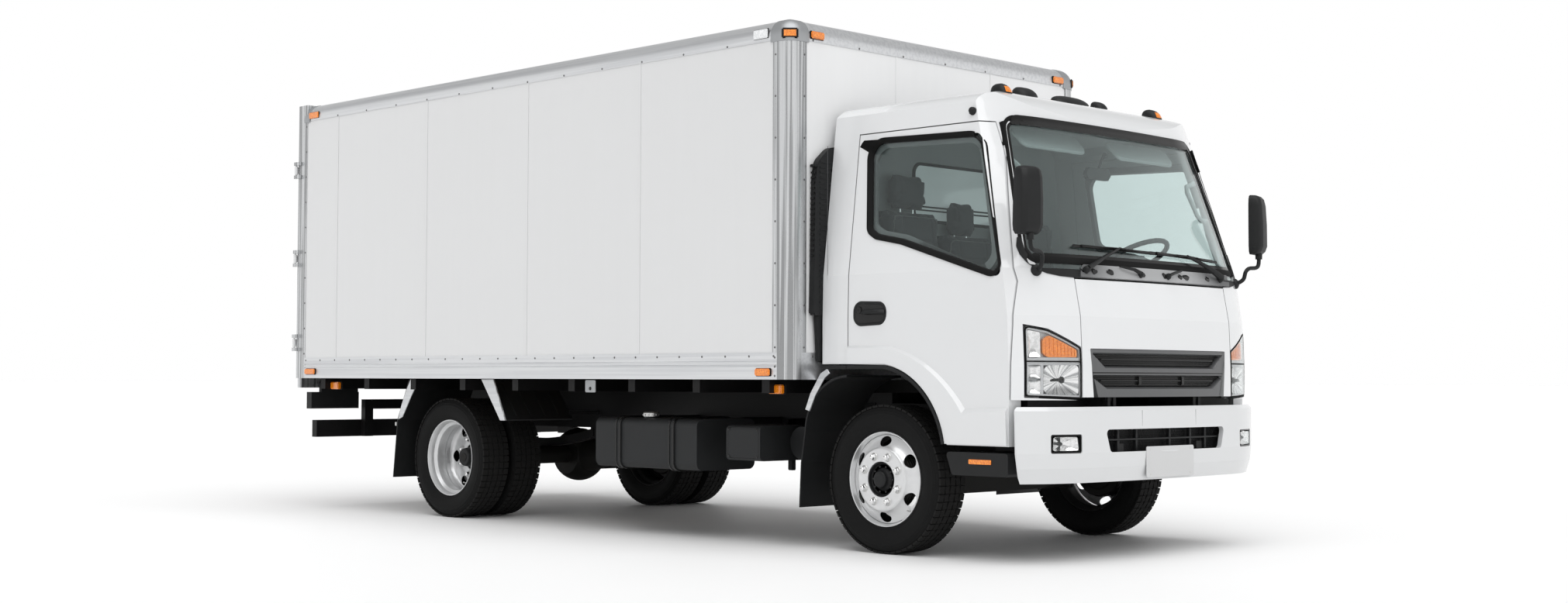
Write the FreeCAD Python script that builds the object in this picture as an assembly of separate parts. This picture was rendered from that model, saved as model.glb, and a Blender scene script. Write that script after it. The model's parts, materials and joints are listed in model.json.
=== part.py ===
"""Light cab-over box truck: ladder frame, tilting cab, closed cargo box with rear doors.

Modelled in millimetres, x forward from the front axle, y to the left, z up from the ground.
The finished pieces are shifted along x so that the origin is under the middle of the truck.
"""
import FreeCAD
import Part
import math
import os
from FreeCAD import Vector

# ---- clearances
running_gap = 1.0
joint_gap = 5.0
panel_gap = 6.0
seam_gap = 4.0

# ---- wheels and axles
wheelbase = 3810.0
tyre_radius = 397.0
tyre_width = 225.0
rim_radius = 254.0
rim_width = 180.0
bead_depth = 8.0
barrel_wall = 12.0
twin_gap = 39.0
front_wheel_y = 912.0
rear_outer_y = 1016.0
kingpin_y = 830.0
steering_arm = 150.0
drum_radius = 168.0
disc_flat = 152.0
hand_holes = 6
hand_hole_radius = 34.0
spindle_radius = 30.0

# ---- chassis
rail_outer = 400.0
rail_bottom = 600.0
rail_top = 790.0
rail_flange = 65.0
rail_wall = 8.0
rail_front = 860.0
rear_overhang_short = 109.0
bearer_height = 60.0
crosser_count = 9
crosser_width = 60.0
crosser_half = 1230.0

# ---- cargo box
box_length = 5024.0
box_front = -425.0
box_half = 1300.0
rail_low = 925.0
floor_thick = 60.0
floor_top = 1045.0
roof_top = 2898.0
roof_thick = 40.0
corner_radius = 95.0
post_flange = 35.0
wall = 50.0
skin_lap = 4.0
low_flange_top = 1072.0
top_flange_drop = 119.0
rear_post = 115.0
door_post = 60.0
door_head = 108.0
door_thickness = 40.0
hinge_out = 10.0
hinge_back = 15.0
hinge_pin = 7.0

# ---- cab
cab_rear = -382.0
cab_half = 1085.0
cab_front = 1095.0
cab_wall = 60.0
cab_sill_z = 1010.0
cab_floor_z = 1045.0
footwell_z = 640.0
belt_z = 1250.0
screen_low = 1489.0
gutter_z = 2275.0
roof_crown = 2500.0
tunnel_half = 445.0
tunnel_top = 1150.0
toe_board_x = 860.0
tilt_x = 1010.0
tilt_z = 830.0
door_front_low = 893.0
door_front_belt = 905.0
door_rear = -190.0
door_depth_low = 100.0
door_depth_high = 180.0
arch_flare = 12.0
glass_inset = 8.0
glass_thick = 6.0
lid_top = 1441.0
lid_half = 690.0
lid_low = 840.0
bumper_low = 409.0
bumper_high = 792.0
bumper_front = 1125.0
bumper_wall = 26.0
corner_share = 0.83
screen_share = 0.88

twin_spacing = tyre_width + twin_gap
box_rear = box_front - box_length
rail_rear = box_rear + rear_overhang_short
bearer_top = rail_top + bearer_height
header_z = gutter_z - 16
nodes = {}


def keep(name, *solids):
    """Store the solids of one node; several solids do not touch one another."""
    found = []
    for piece in solids:
        found += piece.Solids
    nodes[name] = found


def mirrored(shape):
    return shape.mirror(Vector(0, 0, 0), Vector(0, 1, 0))


def pair(shape):
    """A piece and its twin across the middle plane."""
    return [shape, mirrored(shape)]


def block(x0, x1, y0, y1, z0, z1):
    """Box between its limits; the two y limits may come in either order."""
    low = min(y0, y1)
    return Part.makeBox(x1 - x0, abs(y1 - y0), z1 - z0, Vector(x0, low, z0))


def rod(start, end, radius):
    """Round bar between two points."""
    a = Vector(*start)
    b = Vector(*end)
    return Part.makeCylinder(radius, (b - a).Length, a, b - a)


def fused(*shapes):
    flat = []
    for shape in shapes:
        flat += shape if isinstance(shape, list) else [shape]
    whole = flat[0].fuse(flat[1:]) if len(flat) > 1 else flat[0]
    return whole.removeSplitter()


def place(plane, u, v, w):
    """Point with (u, v) in the named plane and w across it."""
    return {"xz": Vector(u, w, v), "yz": Vector(w, u, v), "xy": Vector(u, v, w)}[plane]


def wire(plane, steps, across):
    """Closed outline. A step is (u, v) for a line, or (mu, mv, u, v) for an arc through (mu, mv)."""
    here = place(plane, steps[0][-2], steps[0][-1], across)
    first = here
    edges = []
    for step in steps[1:] + [steps[0]]:
        there = place(plane, step[-2], step[-1], across)
        if len(step) == 4 and step is not steps[0]:
            middle = place(plane, step[0], step[1], across)
            edges.append(Part.Arc(here, middle, there).toShape())
        elif (there - here).Length > 1e-6:
            edges.append(Part.LineSegment(here, there).toShape())
        here = there
    if (here - first).Length > 1e-6:
        edges.append(Part.LineSegment(here, first).toShape())
    return Part.Wire(edges)


def prism(plane, steps, low, high):
    """Outline extruded across its plane from low to high."""
    face = Part.Face(wire(plane, steps, low))
    return face.extrude(place(plane, 0, 0, high - low))


def rounded(points, radius):
    """Steps for a polygon whose corners are arcs; radius is one number or one for each point."""
    count = len(points)
    radii = radius if isinstance(radius, list) else [radius] * count
    steps = []
    for i in range(count):
        corner = Vector(*points[i], 0)
        before = (Vector(*points[i - 1], 0) - corner).normalize()
        after = (Vector(*points[(i + 1) % count], 0) - corner).normalize()
        half = before.getAngle(after) / 2
        reach = radii[i] / math.tan(half)
        inward = (before + after).normalize()
        middle = corner + inward * (radii[i] / math.sin(half) - radii[i])
        enter = corner + before * reach
        leave = corner + after * reach
        steps.append((enter.x, enter.y))
        steps.append((middle.x, middle.y, leave.x, leave.y))
    return steps


def grown(points, amount):
    """Polygon offset outwards by amount (points run counter-clockwise)."""
    result = []
    count = len(points)
    for i in range(count):
        corner = Vector(*points[i], 0)
        to_last = (Vector(*points[i - 1], 0) - corner).normalize()
        to_next = (Vector(*points[(i + 1) % count], 0) - corner).normalize()
        normal_in = Vector(-to_last.y, to_last.x, 0)
        normal_out = Vector(to_next.y, -to_next.x, 0)
        scale = amount / (1 + normal_in.dot(normal_out))
        spot = corner + (normal_in + normal_out) * scale
        result.append((spot.x, spot.y))
    return result


def turned(profile, centre_x, centre_y, centre_z):
    """Solid of revolution about a line along y. profile steps hold (y offset, radius)."""
    face = Part.Face(wire("yz", profile, 0))
    whole = face.revolve(Vector(0, 0, 0), Vector(0, 1, 0), 360)
    whole.translate(Vector(centre_x, centre_y, centre_z))
    return whole


# ------------------------------------------------------------------ wheels


seat_radius = rim_radius - bead_depth
barrel_radius = seat_radius - barrel_wall


def tyre(side, x, y):
    """Tyre with its beads on the rim and rounded shoulders."""
    half = tyre_width / 2
    bead = rim_width / 2 - 10
    belly = (seat_radius + tyre_radius) / 2
    profile = [
        (-bead, seat_radius), (-bead, rim_radius + 8), (-half, belly, -half + 14, tyre_radius - 22),
        (-half + 32, tyre_radius), (half - 32, tyre_radius), (half - 14, tyre_radius - 22),
        (half, belly, bead, rim_radius + 8), (bead, seat_radius),
    ]
    return turned(profile, x, y, tyre_radius)


def rim(side, x, y, mount, joint, turn):
    """Steel wheel: barrel, two lips and a dished disc. Offsets count outwards; turn places the first hole."""
    half = rim_width / 2
    lip = 9
    barrel = [
        (-half, rim_radius), (-half, barrel_radius), (half, barrel_radius), (half, rim_radius),
        (half - lip, rim_radius), (half - lip, seat_radius), (-half + lip, seat_radius), (-half + lip, rim_radius),
    ]
    away = 10 if mount > joint else -10
    disc = [
        (side * mount, 70), (side * mount, disc_flat), (side * joint, barrel_radius),
        (side * (joint - away), barrel_radius), (side * (mount - away), disc_flat - 2), (side * (mount - away), 70),
    ]
    whole = fused(turned(barrel, x, y, tyre_radius), turned(disc, x, y, tyre_radius))
    middle = side * (mount + joint) / 2
    ring_radius = (disc_flat + barrel_radius) / 2 + 3
    for k in range(hand_holes):
        angle = 2 * math.pi * (k + turn) / hand_holes
        spot = Vector(x + ring_radius * math.cos(angle), y + middle - 60, tyre_radius + ring_radius * math.sin(angle))
        whole = whole.cut(Part.makeCylinder(hand_hole_radius, 120, spot, Vector(0, 1, 0)))
    return whole


def hub(side, x, y, mount, inner, reach):
    """Hub and brake drum: a stepped turning, bored for its spindle. Offsets count outwards."""
    bore = spindle_radius + running_gap
    profile = [
        (side * inner, bore), (side * inner, drum_radius), (side * (mount - 12), drum_radius),
        (side * (mount - 12), 125), (side * mount, 125), (side * mount, 69), (side * (reach - 14), 69),
        (side * (reach - 14), 46), (side * reach, 42), (side * reach, 0), (side * (reach - 20), 0),
        (side * (reach - 20), bore),
    ]
    return turned(profile, x, y, tyre_radius)


front_mount = 122.0
front_disc_foot = 72.0
front_drum_inner = -8.0
front_hub_reach = 138.0
rear_mount = -twin_spacing / 2
rear_disc_foot = 20.0
rear_drum_depth = 130.0
rear_hub_reach = 6.0
for label, side in (("right", -1), ("left", 1)):
    y = side * front_wheel_y
    keep("front_tyre_" + label, tyre(side, 0, y))
    wheel = fused(rim(side, 0, y, front_mount, front_disc_foot, 0.5),
                  hub(side, 0, y, front_mount - 10, front_drum_inner, front_hub_reach))
    keep("front_wheel_" + label, wheel)
    outer = side * rear_outer_y
    inner = side * (rear_outer_y - twin_spacing)
    keep("rear_tyres_" + label, tyre(side, -wheelbase, outer), tyre(side, -wheelbase, inner))
    twin = fused(rim(side, -wheelbase, outer, rear_mount + 10, -rear_disc_foot, 0.0),
                 rim(side, -wheelbase, inner, -rear_mount, rear_disc_foot, 0.0),
                 hub(side, -wheelbase, outer, rear_mount + 10, rear_mount - rear_drum_depth, rear_hub_reach))
    keep("rear_wheels_" + label, twin)

# ------------------------------------------------------------------ front axle and steering

eye_radius = 42.0
kingpin_bore = 21.0
beam_low = tyre_radius - 45.0
beam_high = tyre_radius + 45.0
beam_half = 35.0
beam_drop = tyre_radius - 97.0
spring_seat = tyre_radius + 3.0
beam_outline = [(-kingpin_y, beam_low), (-560, beam_low - 10), (-320, beam_drop), (320, beam_drop),
                (560, beam_low - 10), (kingpin_y, beam_low), (kingpin_y, beam_high), (560, beam_high - 10),
                (430, spring_seat), (-430, spring_seat), (-560, beam_high - 10), (-kingpin_y, beam_high)]
beam = prism("yz", beam_outline, -beam_half, beam_half)
for side in (-1, 1):
    beam = fused(beam, Part.makeCylinder(eye_radius, beam_high - beam_low, Vector(0, side * kingpin_y, beam_low)))
for side in (-1, 1):
    bore_start = Vector(0, side * kingpin_y, beam_low - 50)
    beam = beam.cut(Part.makeCylinder(kingpin_bore, beam_high - beam_low + 100, bore_start))
keep("front_axle", beam)

# The steering arms point straight back from the kingpins, so the tie rod stays parallel to the axle.
arm_thick = 29.0
arm_high = beam_low - joint_gap
arm_low = arm_high - arm_thick
yoke_thick = 30.0
rod_pin = 12.0
rod_eye = 24.0
rod_eye_height = 34.0
rod_radius = 14.0
rod_low = arm_low - joint_gap - rod_eye_height


def knuckle(side):
    """Yoke round the beam's eye, with kingpin, spindle and steering arm."""
    y = side * kingpin_y
    top = beam_high + joint_gap
    web_in = eye_radius + 6
    web_out = web_in + 20
    parts = [
        Part.makeCylinder(eye_radius, yoke_thick, Vector(0, y, top)),
        Part.makeCylinder(eye_radius, arm_thick, Vector(0, y, arm_low)),
        Part.makeCylinder(kingpin_bore - running_gap, top + yoke_thick - arm_low, Vector(0, y, arm_low)),
        block(-38, 38, y + side * web_in, y + side * web_out, arm_low, top + yoke_thick),
    ]
    for z0, z1 in ((arm_low, arm_high), (top, top + yoke_thick)):
        parts.append(block(-36, 36, y, y + side * web_in, z0, z1))
    spindle_end = side * (front_wheel_y + front_hub_reach - 22)
    parts.append(rod((0, y + side * web_in, tyre_radius), (0, spindle_end, tyre_radius), spindle_radius))
    parts.append(block(-steering_arm, 0, y - 20, y + 20, arm_low, arm_high))
    parts.append(Part.makeCylinder(rod_eye, arm_thick, Vector(-steering_arm, y, arm_low)))
    pin_length = arm_low - rod_low + 3
    parts.append(Part.makeCylinder(rod_pin, pin_length, Vector(-steering_arm, y, rod_low - 3)))
    return fused(*parts)


keep("knuckle_right", knuckle(-1))
keep("knuckle_left", knuckle(1))

rod_z = rod_low + rod_eye_height / 2
link = rod((-steering_arm, -kingpin_y + 20, rod_z), (-steering_arm, kingpin_y - 20, rod_z), rod_radius)
for side in (-1, 1):
    link = fused(link, Part.makeCylinder(rod_eye, rod_eye_height, Vector(-steering_arm, side * kingpin_y, rod_low)))
for side in (-1, 1):
    hole_start = Vector(-steering_arm, side * kingpin_y, rod_low - 10)
    link = link.cut(Part.makeCylinder(rod_pin + running_gap, rod_eye_height + 20, hole_start))
keep("tie_rod", link)

# ------------------------------------------------------------------ springs and rear axle


spring_y = 365.0
spring_half = 35.0
front_spring_half = 590.0
rear_spring_half = 640.0
spring_eye_drop = 80.0
axle_tube = 61.5


def leaf_spring(x, half_length, seat_z, thick, eye_z):
    """Arched leaf pack with its two hangers up to the rail."""
    outline = [(x - half_length, eye_z), (x, seat_z, x + half_length, eye_z), (x + half_length, eye_z + thick),
               (x, seat_z + thick, x - half_length, eye_z + thick)]
    pack = prism("xz", outline, spring_y - spring_half, spring_y + spring_half)
    for end in (-1, 1):
        foot = x + end * half_length
        pack = fused(pack, block(foot - 35, foot + 35, spring_y - 28, spring_y + 28, eye_z - 18, rail_bottom))
    return pack


front_spring = leaf_spring(0, front_spring_half, spring_seat, 44, rail_bottom - spring_eye_drop)
rear_spring = leaf_spring(-wheelbase, rear_spring_half, tyre_radius + axle_tube + 0.5, 56,
                          rail_bottom - spring_eye_drop + 20)
keep("leaf_springs", *pair(front_spring), *pair(rear_spring))

tube_end = rear_outer_y + rear_mount - rear_drum_depth - joint_gap
spindle_tip = rear_outer_y + rear_hub_reach - 24
gearbox_rear = -1010.0
gearbox_z = 641.0
rear_axle = rod((-wheelbase, -tube_end, tyre_radius), (-wheelbase, tube_end, tyre_radius), axle_tube)
rear_axle = fused(rear_axle, rod((-wheelbase, -spindle_tip, tyre_radius), (-wheelbase, spindle_tip, tyre_radius),
                                 spindle_radius))
bowl = Part.makeSphere(185, Vector(-wheelbase, 0, tyre_radius - 5))
bowl = bowl.common(block(-wheelbase - 200, -wheelbase + 200, -125, 125, 0, tyre_radius + 400))
nose = Part.makeCone(130, 70, 260, Vector(-wheelbase + 100, 0, tyre_radius), Vector(1, 0, 0))
shaft = rod((-wheelbase + 355, 0, tyre_radius), (gearbox_rear - 8, 0, gearbox_z), 42)
keep("rear_axle", fused(rear_axle, bowl, nose, shaft))

# ------------------------------------------------------------------ frame and power unit

rail_outline = [(rail_outer, rail_bottom), (rail_outer, rail_top), (rail_outer - rail_flange, rail_top),
                (rail_outer - rail_flange, rail_top - rail_wall), (rail_outer - rail_wall, rail_top - rail_wall),
                (rail_outer - rail_wall, rail_bottom + rail_wall),
                (rail_outer - rail_flange, rail_bottom + rail_wall), (rail_outer - rail_flange, rail_bottom)]
keep("frame_rails", *pair(prism("yz", rail_outline, rail_rear, rail_front)))

web_inner = rail_outer - rail_wall
last_member = rail_rear + 10
cross = []
for x, rise in ((rail_front - 60, 90), (-1150, 90), (-2150, 90), (-3150, 90), (-wheelbase - rear_spring_half, 20),
                (last_member, 20)):
    low = rail_bottom + rise
    plate = block(x, x + rail_wall, -web_inner, web_inner, low, rail_top - 20)
    cross.append(fused(plate, block(x, x + 50, -web_inner, web_inner, low, low + rail_wall)))
eye_half = 60.0
eye_bore = 20.0
eye_low = rail_bottom + 60
eye_plate = block(rail_rear - 70, last_member, -eye_half, eye_half, eye_low, eye_low + 30)
eye_plate = eye_plate.cut(Part.makeCylinder(eye_bore, 60, Vector(rail_rear - 35, 0, eye_low - 15)))
cross[-1] = fused(cross[-1], eye_plate)

ear_inner = tunnel_half - 35
pivot_radius = 16.0
bracket = fused(block(rail_front - 120, tilt_x + 22, ear_inner - 50, ear_inner - 26, rail_top, tilt_z + 30),
                rod((tilt_x, ear_inner - 26, tilt_z), (tilt_x, tunnel_half, tilt_z), pivot_radius))
keep("frame_crossmembers", *cross, *pair(bracket))

engine = fused(block(-320, 500, -270, 270, 500, 1070), block(gearbox_rear, -320, -180, 180, 480, 780))
keep("engine", engine)

exhaust_y = 880.0
exhaust_z = 560.0
exhaust = [rod((-1700, exhaust_y, exhaust_z), (-1000, exhaust_y, exhaust_z), 130),
           rod((-2300, exhaust_y, exhaust_z), (-1690, exhaust_y, exhaust_z), 38)]
for x in (-1600, -1140):
    exhaust.append(block(x, x + 40, rail_outer, exhaust_y, 640, 700))
keep("exhaust", fused(*exhaust))

# ------------------------------------------------------------------ tanks and boxes on the frame

tank_rear = -2212.0
tank_front = -1305.0
tank_face = 1165.0
tank_back = 700.0
tank_low = 398.0
tank_high = 695.0
strap_thick = 6.0
strap_half = 24.0


def soft_box(x0, x1, y0, y1, z0, z1, radius):
    """Box whose long edges along x are rounded."""
    outline = rounded([(y0, z0), (y1, z0), (y1, z1), (y0, z1)], radius)
    return prism("yz", outline, x0, x1)


tank = [soft_box(tank_rear, tank_front, -tank_face, -tank_back, tank_low, tank_high, 45)]
for x in (-1998, -1520):
    tank.append(soft_box(x - strap_half, x + strap_half, -tank_face - strap_thick, -tank_back + strap_thick,
                         tank_low - strap_thick, tank_high + strap_thick, 50))
    tank.append(block(x - strap_half, x + strap_half, -tank_back, -rail_outer, rail_bottom, rail_bottom + 50))
tank.append(Part.makeCylinder(42, 30, Vector(-1790, -tank_face + 75, tank_high - 2)))
keep("fuel_tank", fused(*tank))

side_box = fused(soft_box(-1058, -785, -tank_face, -760, 470, 668, 30),
                 block(-960, -900, -760, -rail_outer, 620, 660))
battery = fused(soft_box(-930, -600, 620, 1120, 450, 720, 20), block(-800, -740, rail_outer, 620, 610, 660))
keep("frame_boxes", side_box, battery)

second_rear = 910.0 - wheelbase
second_front = second_rear + 600
air_tank = fused(rod((-680, -940, 570), (-680, -430, 570), 92), block(-700, -660, -432, -rail_outer, 610, 650))
second_tank = [rod((second_rear, 640, 600), (second_front, 640, 600), 105)]
for x in (second_rear + 120, second_front - 160):
    second_tank.append(block(x, x + 40, rail_outer, 640, 640, 690))
keep("air_tanks", air_tank, fused(*second_tank))

# ------------------------------------------------------------------ floor bearers of the cargo box

crosser_pitch = (box_length - 500) / (crosser_count - 1)
crossers = []
clear_of_crossers = []
for k in range(crosser_count):
    x = box_rear + 250 + k * crosser_pitch - crosser_width / 2
    end = x + crosser_width
    crossers.append(block(x, end, -crosser_half, crosser_half, bearer_top, floor_top - floor_thick))
    clear_of_crossers.append(block(x - joint_gap, end + joint_gap, -crosser_half - joint_gap,
                                   crosser_half + joint_gap, bearer_top - joint_gap, floor_top))
keep("body_subframe", *crossers)
bearer = block(box_rear + 130, box_front - 60, rail_outer - 60, rail_outer, rail_top, bearer_top)
keep("frame_bearers", *pair(bearer))

# ------------------------------------------------------------------ mudguards, steps, rear bar, bumper

guard_out = 1190.0
guard_in = 640.0
guard_top = 914.0
front_guard = [(510, guard_top), (710, 655), (720, 663), (520, guard_top)]
rear_guard = [(-370, guard_top), (-502, 642), (-548, 249), (-542, 249), (-494, 640), (-360, guard_top)]
rear_boards = []
for outline, arm_x in ((front_guard, 670), (rear_guard, -480)):
    steps = [(x - wheelbase, z) for x, z in outline]
    board = prism("xz", steps, guard_in, guard_out)
    for crosser in clear_of_crossers:
        board = board.cut(crosser)
    arm_start = arm_x - wheelbase
    rear_boards.append(fused(board, block(arm_start, arm_start + 30, rail_outer, guard_in + 10, 690, 715)))

arch_out = cab_half - 2
arch = [(-205, 950), (-400, 880, -520, 640), (-548, 470), (-560, 224), (-552, 224), (-540, 470),
        (-512, 640), (-392, 870, -205, 938)]
guard = fused(prism("xz", arch, guard_in, arch_out), block(-420, -390, rail_outer, guard_in + 10, 700, 740),
              block(-470, -390, guard_in - 2, guard_in + 10, 700, 800))
keep("mudguards", *[half for one in [guard] + rear_boards for half in pair(one)])

step_out = cab_half - 3
step = prism("xz", rounded([(487, 560), (530, 442), (891, 442), (891, 560)], 18), 800, step_out)
step = step.cut(prism("xz", [(540, 500), (560, 452), (880, 452), (880, 500)], 700, step_out - 12))
step = fused(step, block(600, 780, rail_outer, 810, 610, 630), block(600, 780, 800, 812, 480, 630))
keep("side_steps", *pair(step))

bar_x = rail_rear - 70
bar_low = 500.0
bar_high = 622.0
bar_half = box_half - 115
arm_y = 742.0
arm_wide = 70.0
under = [block(bar_x, bar_x + 60, -bar_half, bar_half, bar_low, bar_high)]
for side in (-1, 1):
    under.append(block(bar_x + 60, bar_x + 110, side * arm_y, side * (arm_y + arm_wide), bar_low, 770))
    under.append(block(bar_x + 60, bar_x + 110, side * rail_outer, side * (arm_y + arm_wide), 700, 770))
keep("underrun_bar", fused(*under))

lamp_bar = fused(block(bar_x - 5, bar_x + 60, 835, box_half - 70, 705, 825),
                 block(bar_x + 30, bar_x + 60, 842, box_half - 150, 825, 900))
keep("tail_lamps", *pair(lamp_bar))


def nose_outline(half, front, depth, rear):
    """Plan of a nose: shallow front arc between two rounded corners, square behind."""
    return [(rear, -half), (front - depth, -half),
            (front - 0.43 * depth, -corner_share * half, front - 0.15 * depth, -0.61 * half),
            (front, 0, front - 0.15 * depth, 0.61 * half),
            (front - 0.43 * depth, corner_share * half, front - depth, half), (rear, half)]


def nose_loft(table, inset, front_inset):
    """Ruled loft through plan sections. Columns: z, half width, front, corner depth, rear."""
    sections = []
    for z, half, front, depth, rear in table:
        outline = nose_outline(half - inset, front - front_inset, depth, rear + inset)
        sections.append(wire("xy", outline, z))
    return Part.makeLoft(sections, True, True)


# Columns: z, half width, front at the middle, corner depth, rear
bumper_table = [
    (bumper_low, cab_half - 29, bumper_front - 24, 170, 800),
    (bumper_low + 75, cab_half - 13, bumper_front - 6, 172, 800),
    (560, cab_half + 1, bumper_front, 178, 800),
    (bumper_high - 20, cab_half + 7, bumper_front - 2, 180, 800),
    (bumper_high, cab_half - 5, bumper_front - 16, 178, 800),
]
bumper_rear = 938.0
fog_in = 735.0
fog_out = 925.0
fog_low = 560.0
fog_high = 655.0
bumper = nose_loft(bumper_table, 0, 0)
hollow_table = [(z + lift, half, front, depth, rear - 60)
                for (z, half, front, depth, rear), lift in zip(bumper_table, (-5, 0, 0, 0, 5))]
bumper = bumper.cut(nose_loft(hollow_table, bumper_wall, bumper_wall))
bumper = bumper.common(block(bumper_rear, bumper_front + 200, -2000, 2000, bumper_low - 50, bumper_high + 50))
bumper = bumper.cut(prism("yz", rounded([(-515, 560), (515, 560), (552, 676), (-552, 676)], 22), 900, 1200))
fogs = []
for side in (-1, 1):
    corners = [(side * fog_in, fog_low), (side * fog_out, fog_low), (side * fog_out, fog_high),
               (side * fog_in, fog_high)]
    bumper = bumper.cut(prism("yz", rounded(corners, 10), 900, 1200))
    lamp = block(985, 1200, side * (fog_in + 3), side * (fog_out - 3), fog_low + 3, fog_high - 3)
    fogs.append(lamp.common(nose_loft(bumper_table, 8, 12)))
stay_out = cab_half - 535
stays = [block(1040, 1064, -stay_out - 10, stay_out + 10, 470, 545)]
for side in (-1, 1):
    stays.append(block(rail_front - 60, 1064, side * 340, side * (rail_outer - rail_wall), 480, 600))
    stays.append(block(rail_front - 60, rail_front - 10, side * 340, side * (rail_outer - rail_wall), 480,
                       rail_bottom))
    stays.append(block(1055, bumper_front - 47, side * 350, side * stay_out, 480, 540))
keep("bumper", fused(bumper, stays))
keep("fog_lamps", *fogs)

# ------------------------------------------------------------------ cab shell

# Columns: z, half width, front at the middle, corner depth, rear
cab_table = [
    (585, cab_half - 8, cab_front, 195, cab_rear),
    (1000, cab_half, cab_front - 1, 195, cab_rear),
    (belt_z, cab_half, cab_front - 12, 192, cab_rear),
    (screen_low, cab_half - 5, cab_front - 60, 178, cab_rear),
    (gutter_z, cab_half - 98, cab_front - 343, 125, cab_rear),
    (roof_crown + 60, cab_half - 135, cab_front - 435, 115, cab_rear),
]


def cab_solid(inset, floor_z):
    """Cab outside moved in by inset, cut off below floor_z, under the crowned roof."""
    body = nose_loft(cab_table, inset, inset)
    crown_z = roof_crown - inset
    half = cab_half - 85 - inset
    shoulder = gutter_z + 142 - inset
    crown = [(-half, 300), (half, 300), (half, gutter_z - 10),
             (half - 22, gutter_z + 86 - inset, half - 118, shoulder), (0, crown_z, -half + 118, shoulder),
             (-half + 22, gutter_z + 86 - inset, -half, gutter_z - 10)]
    lower = block(-500, 1300, -2000, 2000, 300, gutter_z - 10)
    body = body.common(prism("yz", crown, -500, 1300).fuse(lower))
    rear = cab_rear + inset
    side = [(rear - 1, 300), (1300, 300), (1300, screen_low), (760 - inset, gutter_z - 30),
            (700 - inset, gutter_z + 92 - 0.6 * inset, 560 - inset, gutter_z + 170 - inset),
            (230, roof_crown + 4 - inset, -150, roof_crown - 28 - inset),
            (rear + 40, roof_crown - 60 - inset, rear - 1, gutter_z + 60)]
    body = body.common(prism("xz", side, -2000, 2000))
    return body.common(block(-600, 1400, -2000, 2000, floor_z, 2700))


def slab(x0, x1, z0, z1):
    """Zone right across the truck."""
    return block(x0, x1, -2000, 2000, z0, z1)


cab_outer = cab_solid(0, 594)
cab_inner = cab_solid(cab_wall, 500)
cab_skin = cab_solid(0, 500)
shell = cab_outer.cut(cab_inner)

door_outline = [(door_rear, cab_sill_z), (door_rear, gutter_z - 22), (690, gutter_z - 22), (903, 1420),
                (door_front_belt, 1203), (door_front_low, 594), (492, 594), (322, 894, 80, 1003)]
opening = [(door_rear - panel_gap, 1002), (door_rear - panel_gap, header_z), (696, header_z), (909, 1421),
           (door_front_belt + panel_gap, 1203), (door_front_low + panel_gap, 500), (484, 500), (484, 594),
           (316, 888, 78, 996)]
window = rounded([(857, 1434), (654, 2195), (-119, 2217), (-71, 1721), (-12, 1685), (169, 1650)],
                 [30, 45, 40, 30, 60, 120])
screen_half = screen_share * cab_half + 0.2
screen_points = [(50 - screen_half, screen_low), (screen_half - 50, screen_low), (screen_half, 1571),
                 (screen_half - 108, 2262), (108 - screen_half, 2262), (-screen_half, 1571)]
screen_radii = [30, 30, 60, 50, 50, 60]

# A door is shallow below the dashboard's top, so that its front edge swings past the dashboard.
step_z = screen_low - 9
door_in_low = cab_half - door_depth_low
door_in_high = cab_half - door_depth_high
way_low = door_in_low - joint_gap
way_high = door_in_high - joint_gap
way = prism("xz", opening, -2000, 2000)
way = way.cut(block(-700, 1400, -way_low, way_low, 300, step_z - panel_gap))
way = way.cut(block(-700, 1400, -way_high, way_high, 300, 2600))
shell = shell.cut(way)
shell = shell.cut(prism("yz", rounded(screen_points, screen_radii), 560, 1300))

corner_start = door_front_low + panel_gap
front_zone = slab(corner_start, 1400, 300, screen_low)
roof_zone = slab(-1000, 1400, header_z, 2700)
back_zone = slab(-1000, cab_rear + cab_wall, 300, header_z)
above_sill = slab(-1000, 1400, cab_sill_z, 2700)
keep("cab_roof", shell.common(roof_zone))
below_roof = shell.cut(roof_zone)
keep("cab_back_panel", below_roof.common(back_zone).common(above_sill))
below_roof = below_roof.cut(back_zone)
front = below_roof.common(front_zone)
keep("cab_side_frames", below_roof.cut(front_zone).common(above_sill))

lid_zone = block(800, 1400, -lid_half, lid_half, lid_low, lid_top)
lid_seam = block(800, 1400, -lid_half - panel_gap, lid_half + panel_gap, 300, lid_top + panel_gap)
cowl_half = lid_half + 12
cowl_zone = block(800, 1400, -cowl_half, cowl_half, lid_top + panel_gap, screen_low)
corner_low = 826.0
corners = front.cut(lid_seam).cut(cowl_zone).common(slab(800, 1400, corner_low, 2700))
jamb = block(corner_start, corner_start + 24, cab_half - 235, cab_half - 75, corner_low, 1340)
corners = fused(corners, pair(jamb.common(cab_solid(20, 500)).cut(way)))
lamp_out = cab_half - 63
pocket_points = [(lid_half - 34, 823), (lamp_out - 2, 838), (lamp_out, 1207), (lamp_out - 122, 1185),
                 (lid_half, 1092)]
lamp_points = [(lid_half + 8, 834), (lamp_out - 7, 846), (lamp_out - 6, 1200), (lamp_out - 121, 1179),
               (lid_half + 8, 1092)]
lamps = []
for side in (-1, 1):
    corners = corners.cut(prism("yz", [(side * y, z) for y, z in pocket_points], 905, 1300))
    lamps.append(prism("yz", [(side * y, z) for y, z in lamp_points], 910, 1300).common(cab_skin))
keep("cab_front_corners", corners)
keep("headlamps", *lamps)
keep("cowl", front.common(cowl_zone))

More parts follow.
